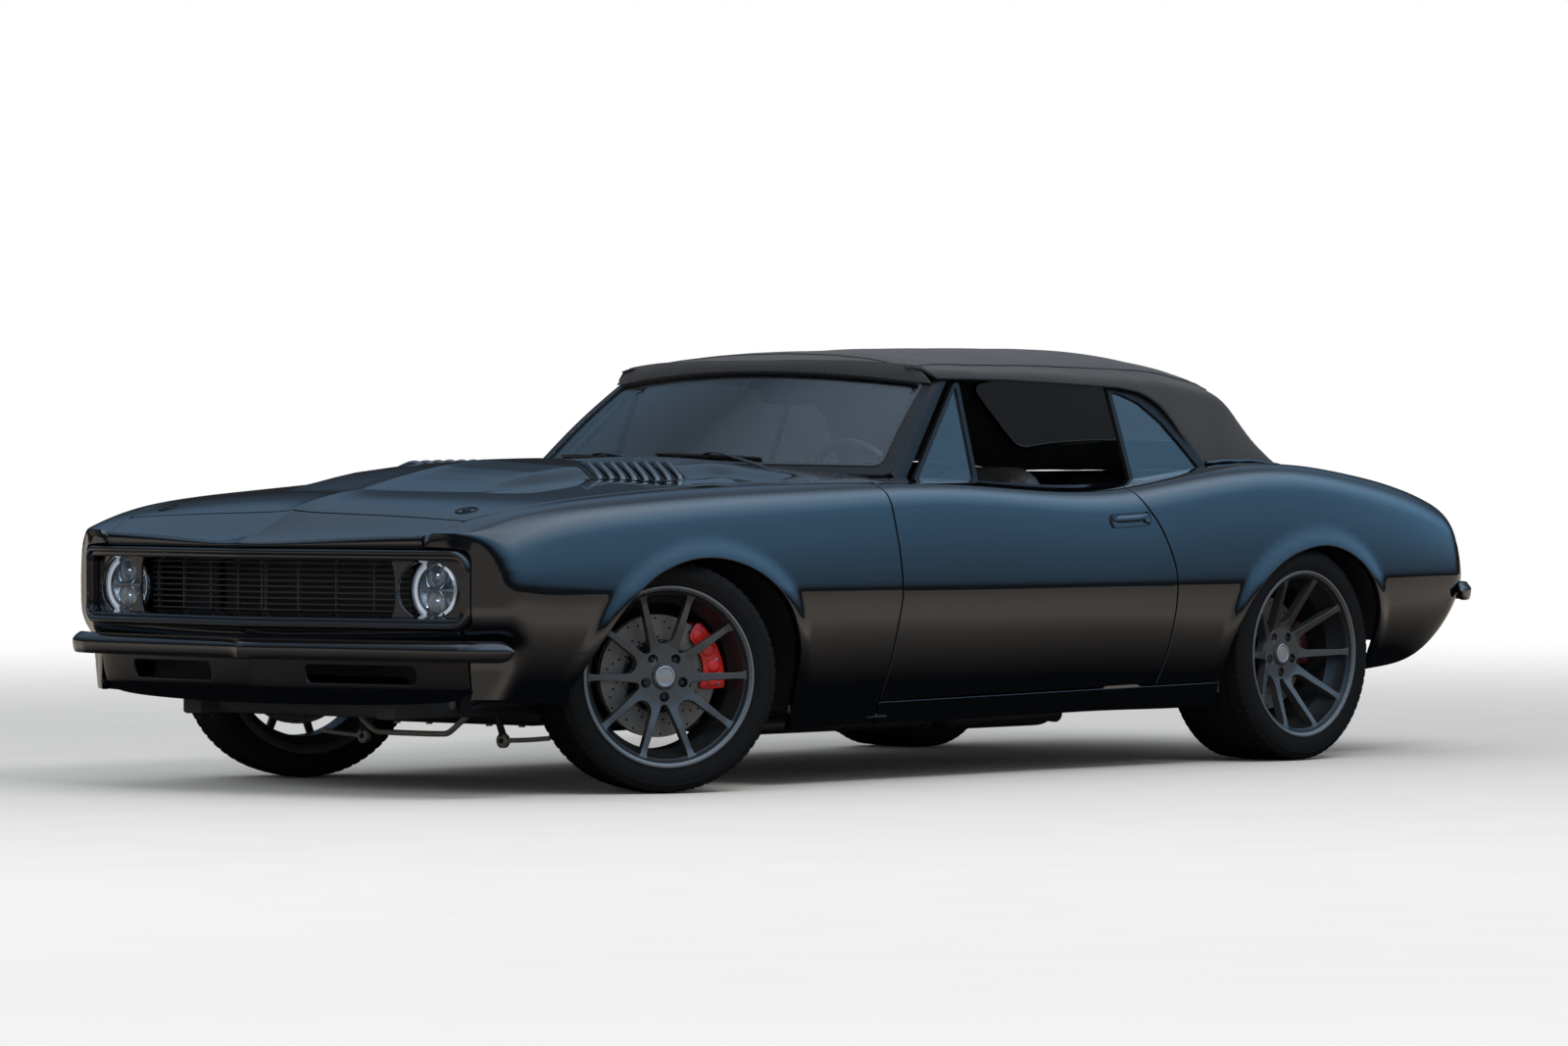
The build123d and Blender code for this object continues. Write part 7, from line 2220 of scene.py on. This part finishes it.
def build_radiator():
    form = Form()
    form.box(1988, 2022, -330, 330, 330, 660, 1, 2)
    for k in range(52):
        z = 334 + 6.2 * k
        form.box(2018, 2026, -328, 328, z, z + 1.6, 0, 0)
    for y in (-352, 352):
        form.box(1982, 2028, y - 26, y + 26, 322, 668, 0, 12)
    form.box(1975, 2060, -640, 640, 690, 708, 0, 5)
    form.box(2032, 2058, -336, 336, 268, 310, 0, 6)
    form.box(2030, 2050, -640, -380, 300, 690, 0, 4)
    form.box(2030, 2050, 380, 640, 300, 690, 0, 4)
    form.box(1968, 1986, -320, 320, 335, 655, 0, 10)
    for y in (-160, 160):
        form.turn([(142, 0), (142, -26), (136, -26), (136, 0)], (1970, y, 495), (1, 0, 0), 40, 0)
        for k in range(8):
            t = k * math.pi / 4
            c, q = math.cos(t), math.sin(t)
            form.box(1950, 1954, y + 80 * c - 58, y + 80 * c + 58, 495 + 80 * q - 16, 495 + 80 * q + 16, 0, 1,
                     np.array(Matrix.Rotation(t, 3, "X") @ Matrix.Rotation(math.radians(18), 3, "Y")))
        form.turn([(34, -6), (34, -30), (26, -34), (0.1, -34)], (1975, y, 495), (1, 0, 0), 28, 0)
    return form


FINS = finish("fins", (0.05, 0.05, 0.052), 0.4, metal=0.5, vary=0.3)
build_radiator().make("radiator_pack", "root", [CHASSIS, FINS], "chassis_black", ("radiator",), angle=35)

# Cabin floor, side trim and the shelf behind the seat
cabin = Form()
for side in (-1, 1):
    cabin.side_box(side, -636, 686, 134, 688, 222.2, 231, 0, 4)
    cabin.side_box(side, -1640, -650, 536, 549, 502, 800, 1, 4)
    cabin.side_box(side, -1040, -664, 545, 700, 728, 812, 1, 22)
    cabin.side_box(side, -560, -500, 250, 540, 232, 330, 0, 8)
cabin.box(-636, 690, -133, 133, 232, 406, 0, 12)
cabin.box(660, 688, -686, 686, 226, 600, 0, 6, tilt(-3, "Y"))
cabin.box(-676, -636, -545, 545, 232, 512, 0, 8)
cabin.box(-1640, -1100, -540, 540, 800, 814, 1, 6, tilt(1.5, "Y"))
cabin.make("cabin_trim", "root", [CARPET, LEATHER_FLAT], "cabin_plastic", angle=40)

# Folding frame under the cloth: bows, side rails and a header bow
bows = Form()


def under_cloth(path, depth, radius, flat=1.0):
    """A bow of the folding frame along (x, girth) places, a depth under the cloth."""
    bows.tube(evenly(roof_patch.raised(path, -depth), 20), radius, 0, 10, flat=flat)


for x in (-220.0, -660.0, -1000.0, -1230.0):
    under_cloth(np.array([roof_place(x, y) for y in np.linspace(-618, 618, 70)]), 14.0, 8.0)
for flip in (0, 1):
    path = np.stack([roof_half[46:118, 0], roof_half[46:118, 1] + 14], 1)
    if flip:
        path[:, 1] = ROOF_GIRTH - path[:, 1]
    under_cloth(path, 15.0, 10.0, 0.8)
under_cloth(np.array([roof_place(150.0 - 70.0 * (y / 605.0) ** 2, y) for y in np.linspace(-600, 600, 60)]), 15.0, 11.0,
            0.7)
bows.make("top_bows", "root", [CHASSIS], "chassis_black", ("top_frame",), angle=50)


# Front structure
SATIN_BAR = finish("satin_bar", (0.42, 0.39, 0.35), 0.35, metal=0.7, vary=0.25, scale=120)


def build_subframe():
    """The front rails with their cross-members and spring towers, and the front stabiliser bar."""
    form = Form()
    for side in (-1, 1):
        form.side_box(side, 712.3, 2148, 347, 423, 215, 290, 0, 9)
        for x in (800, 960, 1120, 1600, 1760, 1920):
            form.turn([(13, 0), (13, 3), (0.1, 3.2)], (x, side * 423.0, 252), (0, side, 0), 20, 1)
        form.side_box(side, 1334, 1476, 357, 427, 280, 545, 0, 14)
        form.turn([(58, -30), (58, 0), (52, 8), (24, 10), (0.1, 10)], (FRONT_AXLE_X, side * 392.0, 552),
                  (0, side * 0.4, 1), 36, 0)
    form.box(1322, 1488, -350, 350, 182, 240, 0, 16)
    form.box(1340, 1470, -300, 300, 176, 186, 0, 4)
    form.box(2022, 2088, -350, 350, 217, 263, 0, 10)
    for x in (1352, 1458):
        for y in (-250, -120, 0, 120, 250):
            form.turn([(10, 0), (10, -6), (0.1, -6.4)], (x, y, 177), (0, 0, 1), 6, 1)
    bar = smooth_line([(1560, 437, 254), (1780, 437, 250), (1850, 433, 242), (1888, 390, 236), (1897, 300, 234),
                       (1900, 0, 234)], 22)
    bar = np.vstack([bar, (bar * (1, -1, 1))[::-1][1:]])
    form.tube(bar, 11, 0, 14)
    for side in (-1, 1):
        form.side_box(side, 1876, 1918, 350, 398, 214, 252, 1, 6)
        form.tube([(1566, side * 437, 254), (1552, side * 437, 240)], 8, 1, 10)
    return form


build_subframe().make("front_frame", "root", [CHASSIS, BOLT], "chassis_black", ("front_subframe",), angle=35)


def wishbone(form, pivot_y, pivot_z, spread, ball_z, radius):
    """Two rods from their pivots on the frame to one ball joint at the knuckle."""
    ball = np.array([FRONT_AXLE_X, 700.0, ball_z])
    for hand in (-1, 1):
        root = np.array([FRONT_AXLE_X + hand * spread, pivot_y, pivot_z])
        mid = (root + ball) / 2 + (hand * spread * 0.16, 0, 0)
        form.tube(smooth_line([root, mid, ball], 16), radius, 0, 14)
        form.turn([(0.1, -20), (radius + 5, -20), (radius + 7, -16), (radius + 7, 16), (radius + 5, 20), (0.1, 20)],
                  tuple(root), (1, 0, 0), 22, 0)
        form.turn([(0.1, -26), (9, -26), (9, 26), (0.1, 26)], tuple(root), (1, 0, 0), 6, 1)
    form.turn([(0.1, -15), (17, -15), (19, -10), (19, 8), (14, 14), (9, 17), (0.1, 17)], tuple(ball), (0, 0, 1), 28, 1)


def build_arms():
    """The left upper and lower arms, and the spring with its damper between them."""
    form = Form()
    wishbone(form, 440.5, 232.0, 105.0, 207.0, 13.0)
    wishbone(form, 443.0, 470.0, 75.0, 447.0, 11.0)
    form.box(1340, 1470, 520, 600, 224, 236, 0, 4, tilt(-5, "X"))
    low, high = np.array([FRONT_AXLE_X, 560.0, 246.0]), np.array([FRONT_AXLE_X, 432.0, 530.0])
    way = (high - low) / np.linalg.norm(high - low)
    side = np.cross(way, (1.0, 0, 0))
    coil_r, coil_turns = 40, 7.5
    turns = np.linspace(0, 1, 150)
    a = turns * coil_turns * 2 * math.pi
    path = low + way * 26 + np.outer(turns * 205, way) + coil_r * (np.cos(a)[:, None] * np.array([1.0, 0, 0])
                                                                   + np.sin(a)[:, None] * side)
    form.tube(path, 6.4, 2, 8, up=(0.3, 0.1, 0.9))
    form.tube([low, low + way * 120], 21, 1, 20)
    form.tube([low + way * 110, high], 9, 3, 16)
    form.turn([(47, 0), (47, 5), (30, 8), (22, 12)], tuple(low + way * 20), tuple(way), 30, 1)
    form.turn([(47, 0), (47, -5), (30, -8), (12, -10)], tuple(low + way * 240), tuple(way), 30, 1)
    return form


COIL = finish("coil", (0.10, 0.10, 0.105), 0.35, coat=0.4, vary=0.2)
pair(build_arms(), "front_arms", "root", [CHASSIS, BOLT, COIL, CHROME_DULL], "chassis_black", ("front_suspension",),
     angle=40)


def build_upright():
    """The post between the two ball joints, with the stub for the hub and a steering arm."""
    form = Form()
    post = smooth_line([(FRONT_AXLE_X, 700, 246), (FRONT_AXLE_X, 708, 290), (FRONT_AXLE_X, 712, 327),
                        (FRONT_AXLE_X, 706, 370), (FRONT_AXLE_X, 700, 408)], 10)
    rings = []
    for k, q in enumerate(post):
        f = k / (len(post) - 1)
        w = 22 + 20 * math.exp(-((f - 0.5) / 0.24) ** 2)
        d = 15 + 6 * math.exp(-((f - 0.5) / 0.3) ** 2)
        rings.append(np.array([(q[0] + w * math.cos(t), q[1] + d * math.sin(t), q[2]) for t in circle(20)]))
    form.loft(rings, 0)
    for z in (246, 408):
        form.turn([(0.1, -13), (24, -13), (26, -8), (26, 8), (24, 13), (0.1, 13)],
                  (FRONT_AXLE_X, 700, z + (8 if z < 300 else -8)), (0, 0, 1), 28, 0)
    form.turn([(0.1, -6), (46, -6), (52, 0), (52, 12), (44, 16)], (FRONT_AXLE_X, 712, 327), (0, 1, 0), 40, 0)
    arm = smooth_line([(FRONT_AXLE_X + 10, 700, 262), (FRONT_AXLE_X + 60, 690, 256), (FRONT_AXLE_X + 112, 678, 254)],
                      12)
    form.tube(arm, [11, 11, 10, 10, 10, 10, 10, 9, 9, 9], 0, 12)
    return form


for word, side in (("left", 1), ("right", -1)):
    flip = np.array([1, side, 1])
    build_upright().moved(lambda p: steer(p * flip, side)).make("upright_" + word, "knuckle_" + word, [IRON],
                                                                "chassis_black", ("knuckle_" + word,), angle=40)


def build_sway_bar():
    """The bar with a dropped middle ahead of the front axle, and the ends of the strut rods beside it."""
    form = Form()
    bar = smooth_line([(1600, 420, 236), (1640, 300, 232), (1650, 232, 214), (1652, 190, 186), (1652, 150, 160),
                       (1652, 118, 155), (1652, 0, 154), (1652, -118, 155), (1652, -150, 160), (1652, -190, 186),
                       (1650, -232, 214), (1640, -300, 232), (1600, -420, 236)], 10)
    form.tube(bar, 8.5, 0, 14)
    for side in (1, -1):
        form.tube(smooth_line([(1565, side * 300, 138), (1562, side * 380, 142), (1556, side * 452, 148)], 14), 7.0, 0,
                  12)
        form.turn([(21, -7), (21, 7), (17, 9), (9, 9), (9, -9), (17, -9), (21, -7)], (1565, side * 279, 137), (1, 0, 0),
                  28, 0)
        form.turn([(0.1, -12), (8, -12), (8, 12), (0.1, 12)], (1565, side * 279, 137), (1, 0, 0), 6, 1)
        form.tube(np.array([(1565, side * 279, 150), (1575, side * 272, 190), (1585, side * 268, 250)], float),
                  [11, 10, 10], 1, 12)
    return form


build_sway_bar().make("sway_bar", "root", [SATIN_BAR, CHASSIS], "chassis_black", angle=40)


# Rear axle, springs, driveshaft
def build_axle():
    form = Form()
    x, z = -1335.0, 327.0
    form.turn([(0.1, -600), (38, -600), (38, -130), (58, -96), (58, 96), (38, 130), (38, 600), (0.1, 600)], (x, 0, z),
              (0, 1, 0), 32, 0)
    form.turn([(0.1, -66), (70, -64), (118, -48), (138, -14), (138, 14), (118, 44), (70, 58), (0.1, 62)], (x, 0, z),
              (1, 0, 0), 44, 0)
    form.turn([(134, -8), (134, -16), (112, -28), (96, -52), (60, -70), (0.1, -76)], (x, 0, z), (1, 0, 0), 44, 2)
    for k in range(10):
        t = k * math.pi / 5
        form.turn([(8, 0), (8, -8), (0.1, -8.4)], (x - 14, 125 * math.cos(t), z + 125 * math.sin(t)), (1, 0, 0), 6, 1)
    form.turn([(62, 40), (54, 120), (44, 190), (44, 240), (52, 250), (52, 262), (0.1, 262)], (x, 0, z), (1, 0, 0.038),
              32, 0)
    shaft = np.array([(x + 300, 0, z + 9), (520, 0, z)])
    form.tube(shaft, 36, 3, 28)
    for q in (shaft[0], shaft[1]):
        form.box(q[0] - 34, q[0] + 34, -13, 13, q[2] - 38, q[2] + 38, 1, 6)
        form.box(q[0] - 34, q[0] + 34, -38, 38, q[2] - 13, q[2] + 13, 1, 6)
    for side in (-1, 1):
        form.turn([(38, 0), (60, 4), (74, 8), (74, 20), (38, 22)], (x, side * 594.0, z), (0, side, 0), 32, 0)
        form.side_box(side, x - 70, x + 70, 478, 562, z - 74, z - 66, 1, 3)
        for dx in (-44, 44):
            for dy in (-36, 36):
                form.tube([(x + dx, side * 520 + dy, z - 88), (x + dx, side * 520 + dy, z + 24)], 5, 1, 8)
            form.tube(smooth_line([(x + dx, side * 520 - 36, z + 22), (x + dx, side * 520 - 26, z + 42),
                                   (x + dx, side * 520, z + 48), (x + dx, side * 520 + 26, z + 42),
                                   (x + dx, side * 520 + 36, z + 22)], 8), 5, 1, 8, up=(1, 0, 0))
    return form


build_axle().make("axle", "root", [CHASSIS, BOLT, IRON, CHROME_DULL], "chassis_black", ("rear_axle",), angle=35)


def build_springs():
    form = Form()
    for k, (x0, x1) in enumerate(((-1985, -705), (-1880, -800), (-1760, -910), (-1620, -1050))):
        top = 288.7 - 7.2 * k
        path = [(x, 520.0, top - 3.0) for x in np.linspace(x0, x1, 26)]
        rings = []
        for x, y, z in path:
            e = 1.0 if min(x - x0, x1 - x) > 30 else 0.75
            rings.append(np.array([(x, y - 31 * e, z - 3), (x, y + 31 * e, z - 3), (x, y + 31 * e, z + 3),
                                   (x, y - 31 * e, z + 3)]))
        form.loft(rings, 0)
    for x in (-1650, -1000):
        form.box(x - 14, x + 14, 484, 556, 262, 292, 1, 3)
    form.box(-738, -694, 488, 552, 262, 330, 0, 8)
    form.turn([(0.1, -36), (17, -36), (17, 36), (0.1, 36)], (-714, 520, 300), (0, 1, 0), 22, 1)
    for y in (484, 556):
        form.box(-1992, -1958, y - 4, y + 4, 262, 359, 0, 3)
    for z in (292, 344):
        form.turn([(0.1, -40), (13, -40), (13, 40), (0.1, 40)], (-1975, 520, z), (0, 1, 0), 20, 1)
    return form


pair(build_springs(), "leaf_spring", "root", [CHASSIS, BOLT], "chassis_black", ("leaf_springs",), angle=35)

# Fuel tank and exhaust
tank = Form()
tank.box(-2138, -1562, -418, 418, 400, 478, 0, 26)
tank.box(-2120, -1580, -400, 400, 292, 410, 0, 40)
tank.box(-2140, -1560, -420, 420, 398, 408, 0, 3)
for y in (-240, 240):
    tank.box(-2143, -1557, y - 20, y + 20, 287.5, 292.5, 1, 2)
    tank.box(-2143, -2138, y - 20, y + 20, 290, 478, 1, 2)
    tank.box(-1562, -1557, y - 20, y + 20, 290, 478, 1, 2)
for y in range(-340, 341, 85):
    tank.box(-2080, -1620, y - 10, y + 10, 288.5, 294, 0, 4)
tank.make("tank", "root", [CHROME_DULL, CHASSIS], "chassis_black", ("fuel_tank",), angle=35)


def build_exhaust():
    form = Form()
    form.tube(smooth_line([(990, 300, 222), (900, 292, 200), (760, 272, 160), (620, 262, 147), (400, 260, 146),
                           (-280, 260, 146)], 22), 27, 0, 22)
    rings = []
    for x, k in ((-300, 0.30), (-318, 0.72), (-332, 0.98), (-345, 1.0), (-760, 1.0), (-772, 0.98), (-786, 0.72),
                 (-802, 0.3)):
        rings.append(np.array([(x, 260 + 89 * k * math.cos(t) * abs(math.cos(t)) ** -0.3, 146 + 37 * k * math.sin(t))
                               for t in np.linspace(0.01, 2 * math.pi + 0.01, 36, endpoint=False)]))
    form.loft(rings, 0)
    form.tube(smooth_line([(-790, 260, 146), (-850, 260, 146), (-898, 260, 142)], 12), 27, 0, 22, caps=False)
    form.tube([(-898, 260, 142), (-880, 260, 143)], 23, 1, 22)
    for x in (600, 100, -270):
        form.turn([(30, -12), (32, -8), (32, 8), (30, 12)], (x, 260, 146.5), (1, 0, 0), 24, 0)
    form.box(-590, -570, 254, 266, 180, 202, 1, 2)
    return form


STEEL = finish("steel", (0.28, 0.27, 0.26), 0.38, metal=0.9, vary=0.35, scale=25)
pair(build_exhaust(), "exhaust_pipe", "root", [STEEL, CHASSIS], "chassis_black", ("exhaust",), angle=40)


# Engine: a plain block with its covers, pulleys and air cleaner
def build_engine():
    form = Form()
    form.box(1000, 1540, -150, 150, 330, 560, 0, 18)
    form.box(1010, 1530, -120, 120, 232, 336, 1, 24)
    form.box(1040, 1500, -110, 110, 556, 640, 2, 16)
    for side in (-1, 1):
        turn = tilt(-side * 38, "X")
        form.side_box(side, 1010, 1530, 120, 236, 440, 596, 0, 12, turn)
        form.side_box(side, 1020, 1520, 150, 250, 560, 630, 1, 18, turn)
        for k in range(4):
            x = 1080 + 128 * k
            form.tube(smooth_line([(x, side * 190, 520), (x, side * 250, 505), (x - 10, side * 285, 450),
                                   (x - 40, side * 290, 400)], 16), 19, 3, 14)
            form.tube(smooth_line([(x, side * 205, 600), (x + 20, side * 150, 668), (x + 60, side * 60, 664)], 16), 4,
                      1, 8)
        form.tube([(1500, side * 290, 395), (990, side * 290, 330)], 28, 3, 18)
        form.side_box(side, 1152, 1228, 240, 384, 291, 329, 1, 6)
    form.turn([(0.1, 0), (172, 0), (176, 4), (176, 12), (170, 16), (170, 62), (176, 66), (176, 74), (168, 80), (60, 88),
               (14, 90), (14, 98), (0.1, 99)], (1270, 0, 655), (0, 0, 1), 56, 2)
    form.turn([(171, 17), (171, 61)], (1270, 0, 655), (0, 0, 1), 56, 4)
    for y, z, r in ((0, 320, 82), (0, 470, 66), (-170, 520, 44), (170, 520, 52)):
        form.turn([(0.1, 0), (r, 0), (r, 6), (r - 9, 12), (r, 18), (r, 26), (r - 14, 28), (r - 18, 16), (20, 16),
                   (18, 34), (0.1, 34)], (1560, y, z), (1, 0, 0), 36, 1)
    for side in (-1, 1):
        form.turn([(0.1, -60), (46, -60), (56, -40), (56, 0), (46, 14), (0.1, 16)], (1550, side * 170, 520), (1, 0, 0),
                  30, 2)
    belt = smooth_line([(1576, -80, 330), (1576, -212, 505), (1576, -205, 545), (1576, -150, 560), (1576, 0, 538),
                        (1576, 150, 568), (1576, 215, 545), (1576, 220, 500), (1576, 84, 320), (1576, 0, 240),
                        (1576, -80, 330)], 16)
    form.tube(belt, 7, 4, 6, caps=False, up=(1, 0, 0))
    form.tube([(1000, 0, 340), (860, 0, 335), (700, 0, 330), (600, 0, 328)], [150, 110, 90, 60], 0, 30)
    return form


build_engine().make("engine_block", "root", [IRON, CHASSIS, CHROME_DULL, STEEL, RUBBER], "chassis_black", ("engine",),
                    angle=35)


# Engine-bay sides, hood hinges and latch posts
def build_apron():
    """The left side of the engine bay with its ribs, and the posts that carry the closed hood."""
    form = Form()
    form.box(713, 1950, 427.5, 434.5, 505, 790, 0, 2)
    for x in (900, 1140, 1640, 1880):
        form.box(x - 22, x + 22, 424, 430, 530, 760, 0, 3)
    for x in (820.0, 1780.0):
        form.box(x - 20, x + 20, 430, 490, 772, 789, 0, 4)
        top = top_patch.at(np.array([[x, 478.0]]))[0, 2] - 24.0
        form.box(x - 12, x + 12, 468, 488, 780, top, 0, 4)
        form.turn([(15, 0), (15, 6), (11, 9), (0.1, 9)], (x, 478, top - 3), (0, 0, 1), 20, 1)
    return form


pair(build_apron(), "apron", "root", [CHASSIS, RUBBER], "chassis_black", angle=35)

# Bracket with two bolts behind the front wheel, and floor ribs seen from below
under = Form()
for side in (-1, 1):
    under.side_box(side, 560, 690, 800, 846, 187, 199, 0, 4)
    for x in (590, 650):
        under.turn([(11, 0), (11, -7), (0.1, -7.4)], (x, side * 824.0, 187), (0, 0, 1), 6, 1)
    for y in (200, 300, 400, 500, 600):
        if abs(y - 260) < 90:
            continue
        under.side_box(side, -600, 660, y - 16, y + 16, 195, 201, 0, 3)
    under.side_box(side, -60, 0, 150, 690, 186, 201, 0, 5)
for y in (-420, -280, -140, 0, 140, 280, 420):
    under.box(-1540, -1460, y - 20, y + 20, 474, 481, 0, 3)
under.make("floor_ribs", "root", [CHASSIS, BOLT], "chassis_black", angle=35)

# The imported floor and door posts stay, with a finish of their own
UNDERCOAT = finish("undercoat", (0.012, 0.012, 0.012), 0.75, vary=0.4, scale=90, bump=0.6, bump_scale=240)
for name in ("floor_pan", "door_pillars"):
    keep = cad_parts[name]
    for place in keep.material_slots:
        place.material = UNDERCOAT

# Camera, light and floor
CAMERA_AT = (16.9731, 15.1767, 1.0265)
YAW, PITCH, ROLL = -2.4102, -0.0128, -0.0015
LENS = 36.0 * 7718.9 / 1600.0


def add_camera():
    look = Vector((math.cos(PITCH) * math.cos(YAW), math.cos(PITCH) * math.sin(YAW), math.sin(PITCH)))
    right = Vector((math.sin(YAW), -math.cos(YAW), 0.0))
    up = right.cross(look)
    r = right * math.cos(ROLL) + up * math.sin(ROLL)
    u = up * math.cos(ROLL) - right * math.sin(ROLL)
    data = bpy.data.cameras.new("camera")
    data.lens = LENS
    data.clip_end = 200.0
    cam = bpy.data.objects.new("camera", data)
    bpy.context.scene.collection.objects.link(cam)
    cam.matrix_world = Matrix(((r.x, u.x, -look.x, CAMERA_AT[0]), (r.y, u.y, -look.y, CAMERA_AT[1]),
                               (r.z, u.z, -look.z, CAMERA_AT[2]), (0, 0, 0, 1)))
    bpy.context.scene.camera = cam


def climb(tree, value, low, high, kind="SMOOTHSTEP"):
    """A socket that goes from 0 to 1 as a value goes from low to high."""
    made = tree.nodes.new("ShaderNodeMapRange")
    made.interpolation_type = kind
    made.inputs["From Min"].default_value = low
    made.inputs["From Max"].default_value = high
    tree.links.new(value, made.inputs["Value"])
    return made.outputs[0]


def add_world():
    """White to the camera, and to mirrors a blue dome over a dark band, lower and brighter on the left side."""
    world = bpy.data.worlds.new("world")
    bpy.context.scene.world = world
    world.use_nodes = True
    tree = world.node_tree
    back = tree.nodes["Background"]
    coords = tree.nodes.new("ShaderNodeTexCoord")
    split = tree.nodes.new("ShaderNodeSeparateXYZ")
    tree.links.new(coords.outputs["Generated"], split.inputs[0])
    near = colour_ramp(tree, split.outputs["Z"], [(0.0, (0.03, 0.035, 0.04)), (0.03, (0.04, 0.05, 0.06)),
                                                  (0.08, (0.13, 0.24, 0.37)), (0.17, (0.22, 0.47, 0.78)),
                                                  (0.36, (0.34, 0.70, 1.12)), (0.56, (0.62, 1.0, 1.45)),
                                                  (0.78, (1.05, 1.35, 1.7)), (1.0, (0.9, 1.1, 1.4))])
    far = colour_ramp(tree, split.outputs["Z"], [(0.0, (0.015, 0.016, 0.018)), (0.12, (0.02, 0.024, 0.03)),
                                                 (0.26, (0.04, 0.062, 0.09)), (0.38, (0.10, 0.165, 0.25)),
                                                 (0.52, (0.14, 0.21, 0.30)), (0.72, (0.16, 0.22, 0.30)),
                                                 (0.86, (0.5, 0.65, 0.85)), (1.0, (0.9, 1.1, 1.4))])
    dome = blend(tree, climb(tree, split.outputs["Y"], -0.22, 0.25), far, near)
    path = tree.nodes.new("ShaderNodeLightPath")
    lit = blend(tree, path.outputs["Is Glossy Ray"], (0.80, 0.81, 0.83), dome)
    tree.links.new(blend(tree, path.outputs["Is Camera Ray"], lit, (1, 1, 1)), back.inputs["Color"])
    back.inputs["Strength"].default_value = 1.0


def vector_math(tree, kind, first, second=None):
    """The output of a vector sum on a socket, with a fixed second value."""
    made = tree.nodes.new("ShaderNodeVectorMath")
    made.operation = kind
    tree.links.new(first, made.inputs[0])
    if second is not None:
        made.inputs[1].default_value = second
    return made.outputs["Value" if kind == "LENGTH" else "Vector"]


def add_floor():
    """A pale floor that fades into the white background. In mirrors it shows a painted shadow of the car: near black
    close to the car, brownish further out.
    """
    mesh = bpy.data.meshes.new("floor")
    bm = bmesh.new()
    bmesh.ops.create_grid(bm, x_segments=20, y_segments=20, size=60.0)
    bm.to_mesh(mesh)
    bm.free()
    floor = bpy.data.objects.new("floor", mesh)
    bpy.context.scene.collection.objects.link(floor)
    pale = finish("floor", (0.62, 0.62, 0.61), 0.9, scale=3.0, vary=0.04, specular=0.0)
    tree = pale.node_tree
    coords = tree.nodes.new("ShaderNodeTexCoord")
    flat = vector_math(tree, "ABSOLUTE", coords.outputs["Object"])
    flat = vector_math(tree, "SUBTRACT", flat, (2.2, 0.9, 0.0))
    flat = vector_math(tree, "MAXIMUM", flat, (0.0, 0.0, 0.0))
    # painted shadow for reflections: in glossy rays the floor runs from near black beside the car to brownish about 2.6
    # m out
    reach = climb(tree, vector_math(tree, "LENGTH", flat), 0.5, 2.6, "LINEAR")
    painted_car_shadow = blend(tree, reach, (0.012, 0.012, 0.012), (0.56, 0.50, 0.44))
    path = tree.nodes.new("ShaderNodeLightPath")
    shadowed_for_mirrors = blend(tree, path.outputs["Is Glossy Ray"], tree.nodes["colour"].outputs[0], painted_car_shadow, "MULTIPLY")
    tree.links.new(shadowed_for_mirrors, tree.nodes["Principled BSDF"].inputs["Base Color"])
    fade = climb(tree, vector_math(tree, "LENGTH", coords.outputs["Object"]), 3.2, 14.0)
    seen = tree.nodes.new("ShaderNodeMath")
    seen.operation = "MULTIPLY"
    below = tree.nodes.new("ShaderNodeNewGeometry")
    clear_side = tree.nodes.new("ShaderNodeMath")
    clear_side.operation = "MAXIMUM"
    tree.links.new(fade, clear_side.inputs[0])
    tree.links.new(below.outputs["Backfacing"], clear_side.inputs[1])
    tree.links.new(clear_side.outputs[0], seen.inputs[0])
    tree.links.new(path.outputs["Is Camera Ray"], seen.inputs[1])
    clear = tree.nodes.new("ShaderNodeBsdfTransparent")
    mix = tree.nodes.new("ShaderNodeMixShader")
    tree.links.new(seen.outputs[0], mix.inputs[0])
    tree.links.new(tree.nodes["Principled BSDF"].outputs[0], mix.inputs[1])
    tree.links.new(clear.outputs[0], mix.inputs[2])
    tree.links.new(mix.outputs[0], tree.nodes["Material Output"].inputs["Surface"])
    mesh.materials.append(pale)


def add_lights():
    for name, at, aim, size, power, colour in (
            ("key", (2.0, 7.0, 7.5), (0.0, 0.4, 0.5), (7.0, 2.0), 420.0, (1.0, 0.98, 0.95)),
            ("fill", (9.0, 1.0, 4.0), (1.0, 0.0, 0.6), (4.0, 2.0), 160.0, (0.93, 0.96, 1.0))):
        data = bpy.data.lights.new(name, "AREA")
        data.shape = "RECTANGLE"
        data.size, data.size_y = size
        data.energy = power
        data.color = colour
        light = bpy.data.objects.new(name, data)
        bpy.context.scene.collection.objects.link(light)
        light.location = at
        light.visible_glossy = False
        way = Vector(aim) - Vector(at)
        light.rotation_euler = way.to_track_quat("-Z", "Y").to_euler()


add_camera()
add_world()
add_floor()
add_lights()
bpy.context.scene.view_settings.view_transform = "Standard"
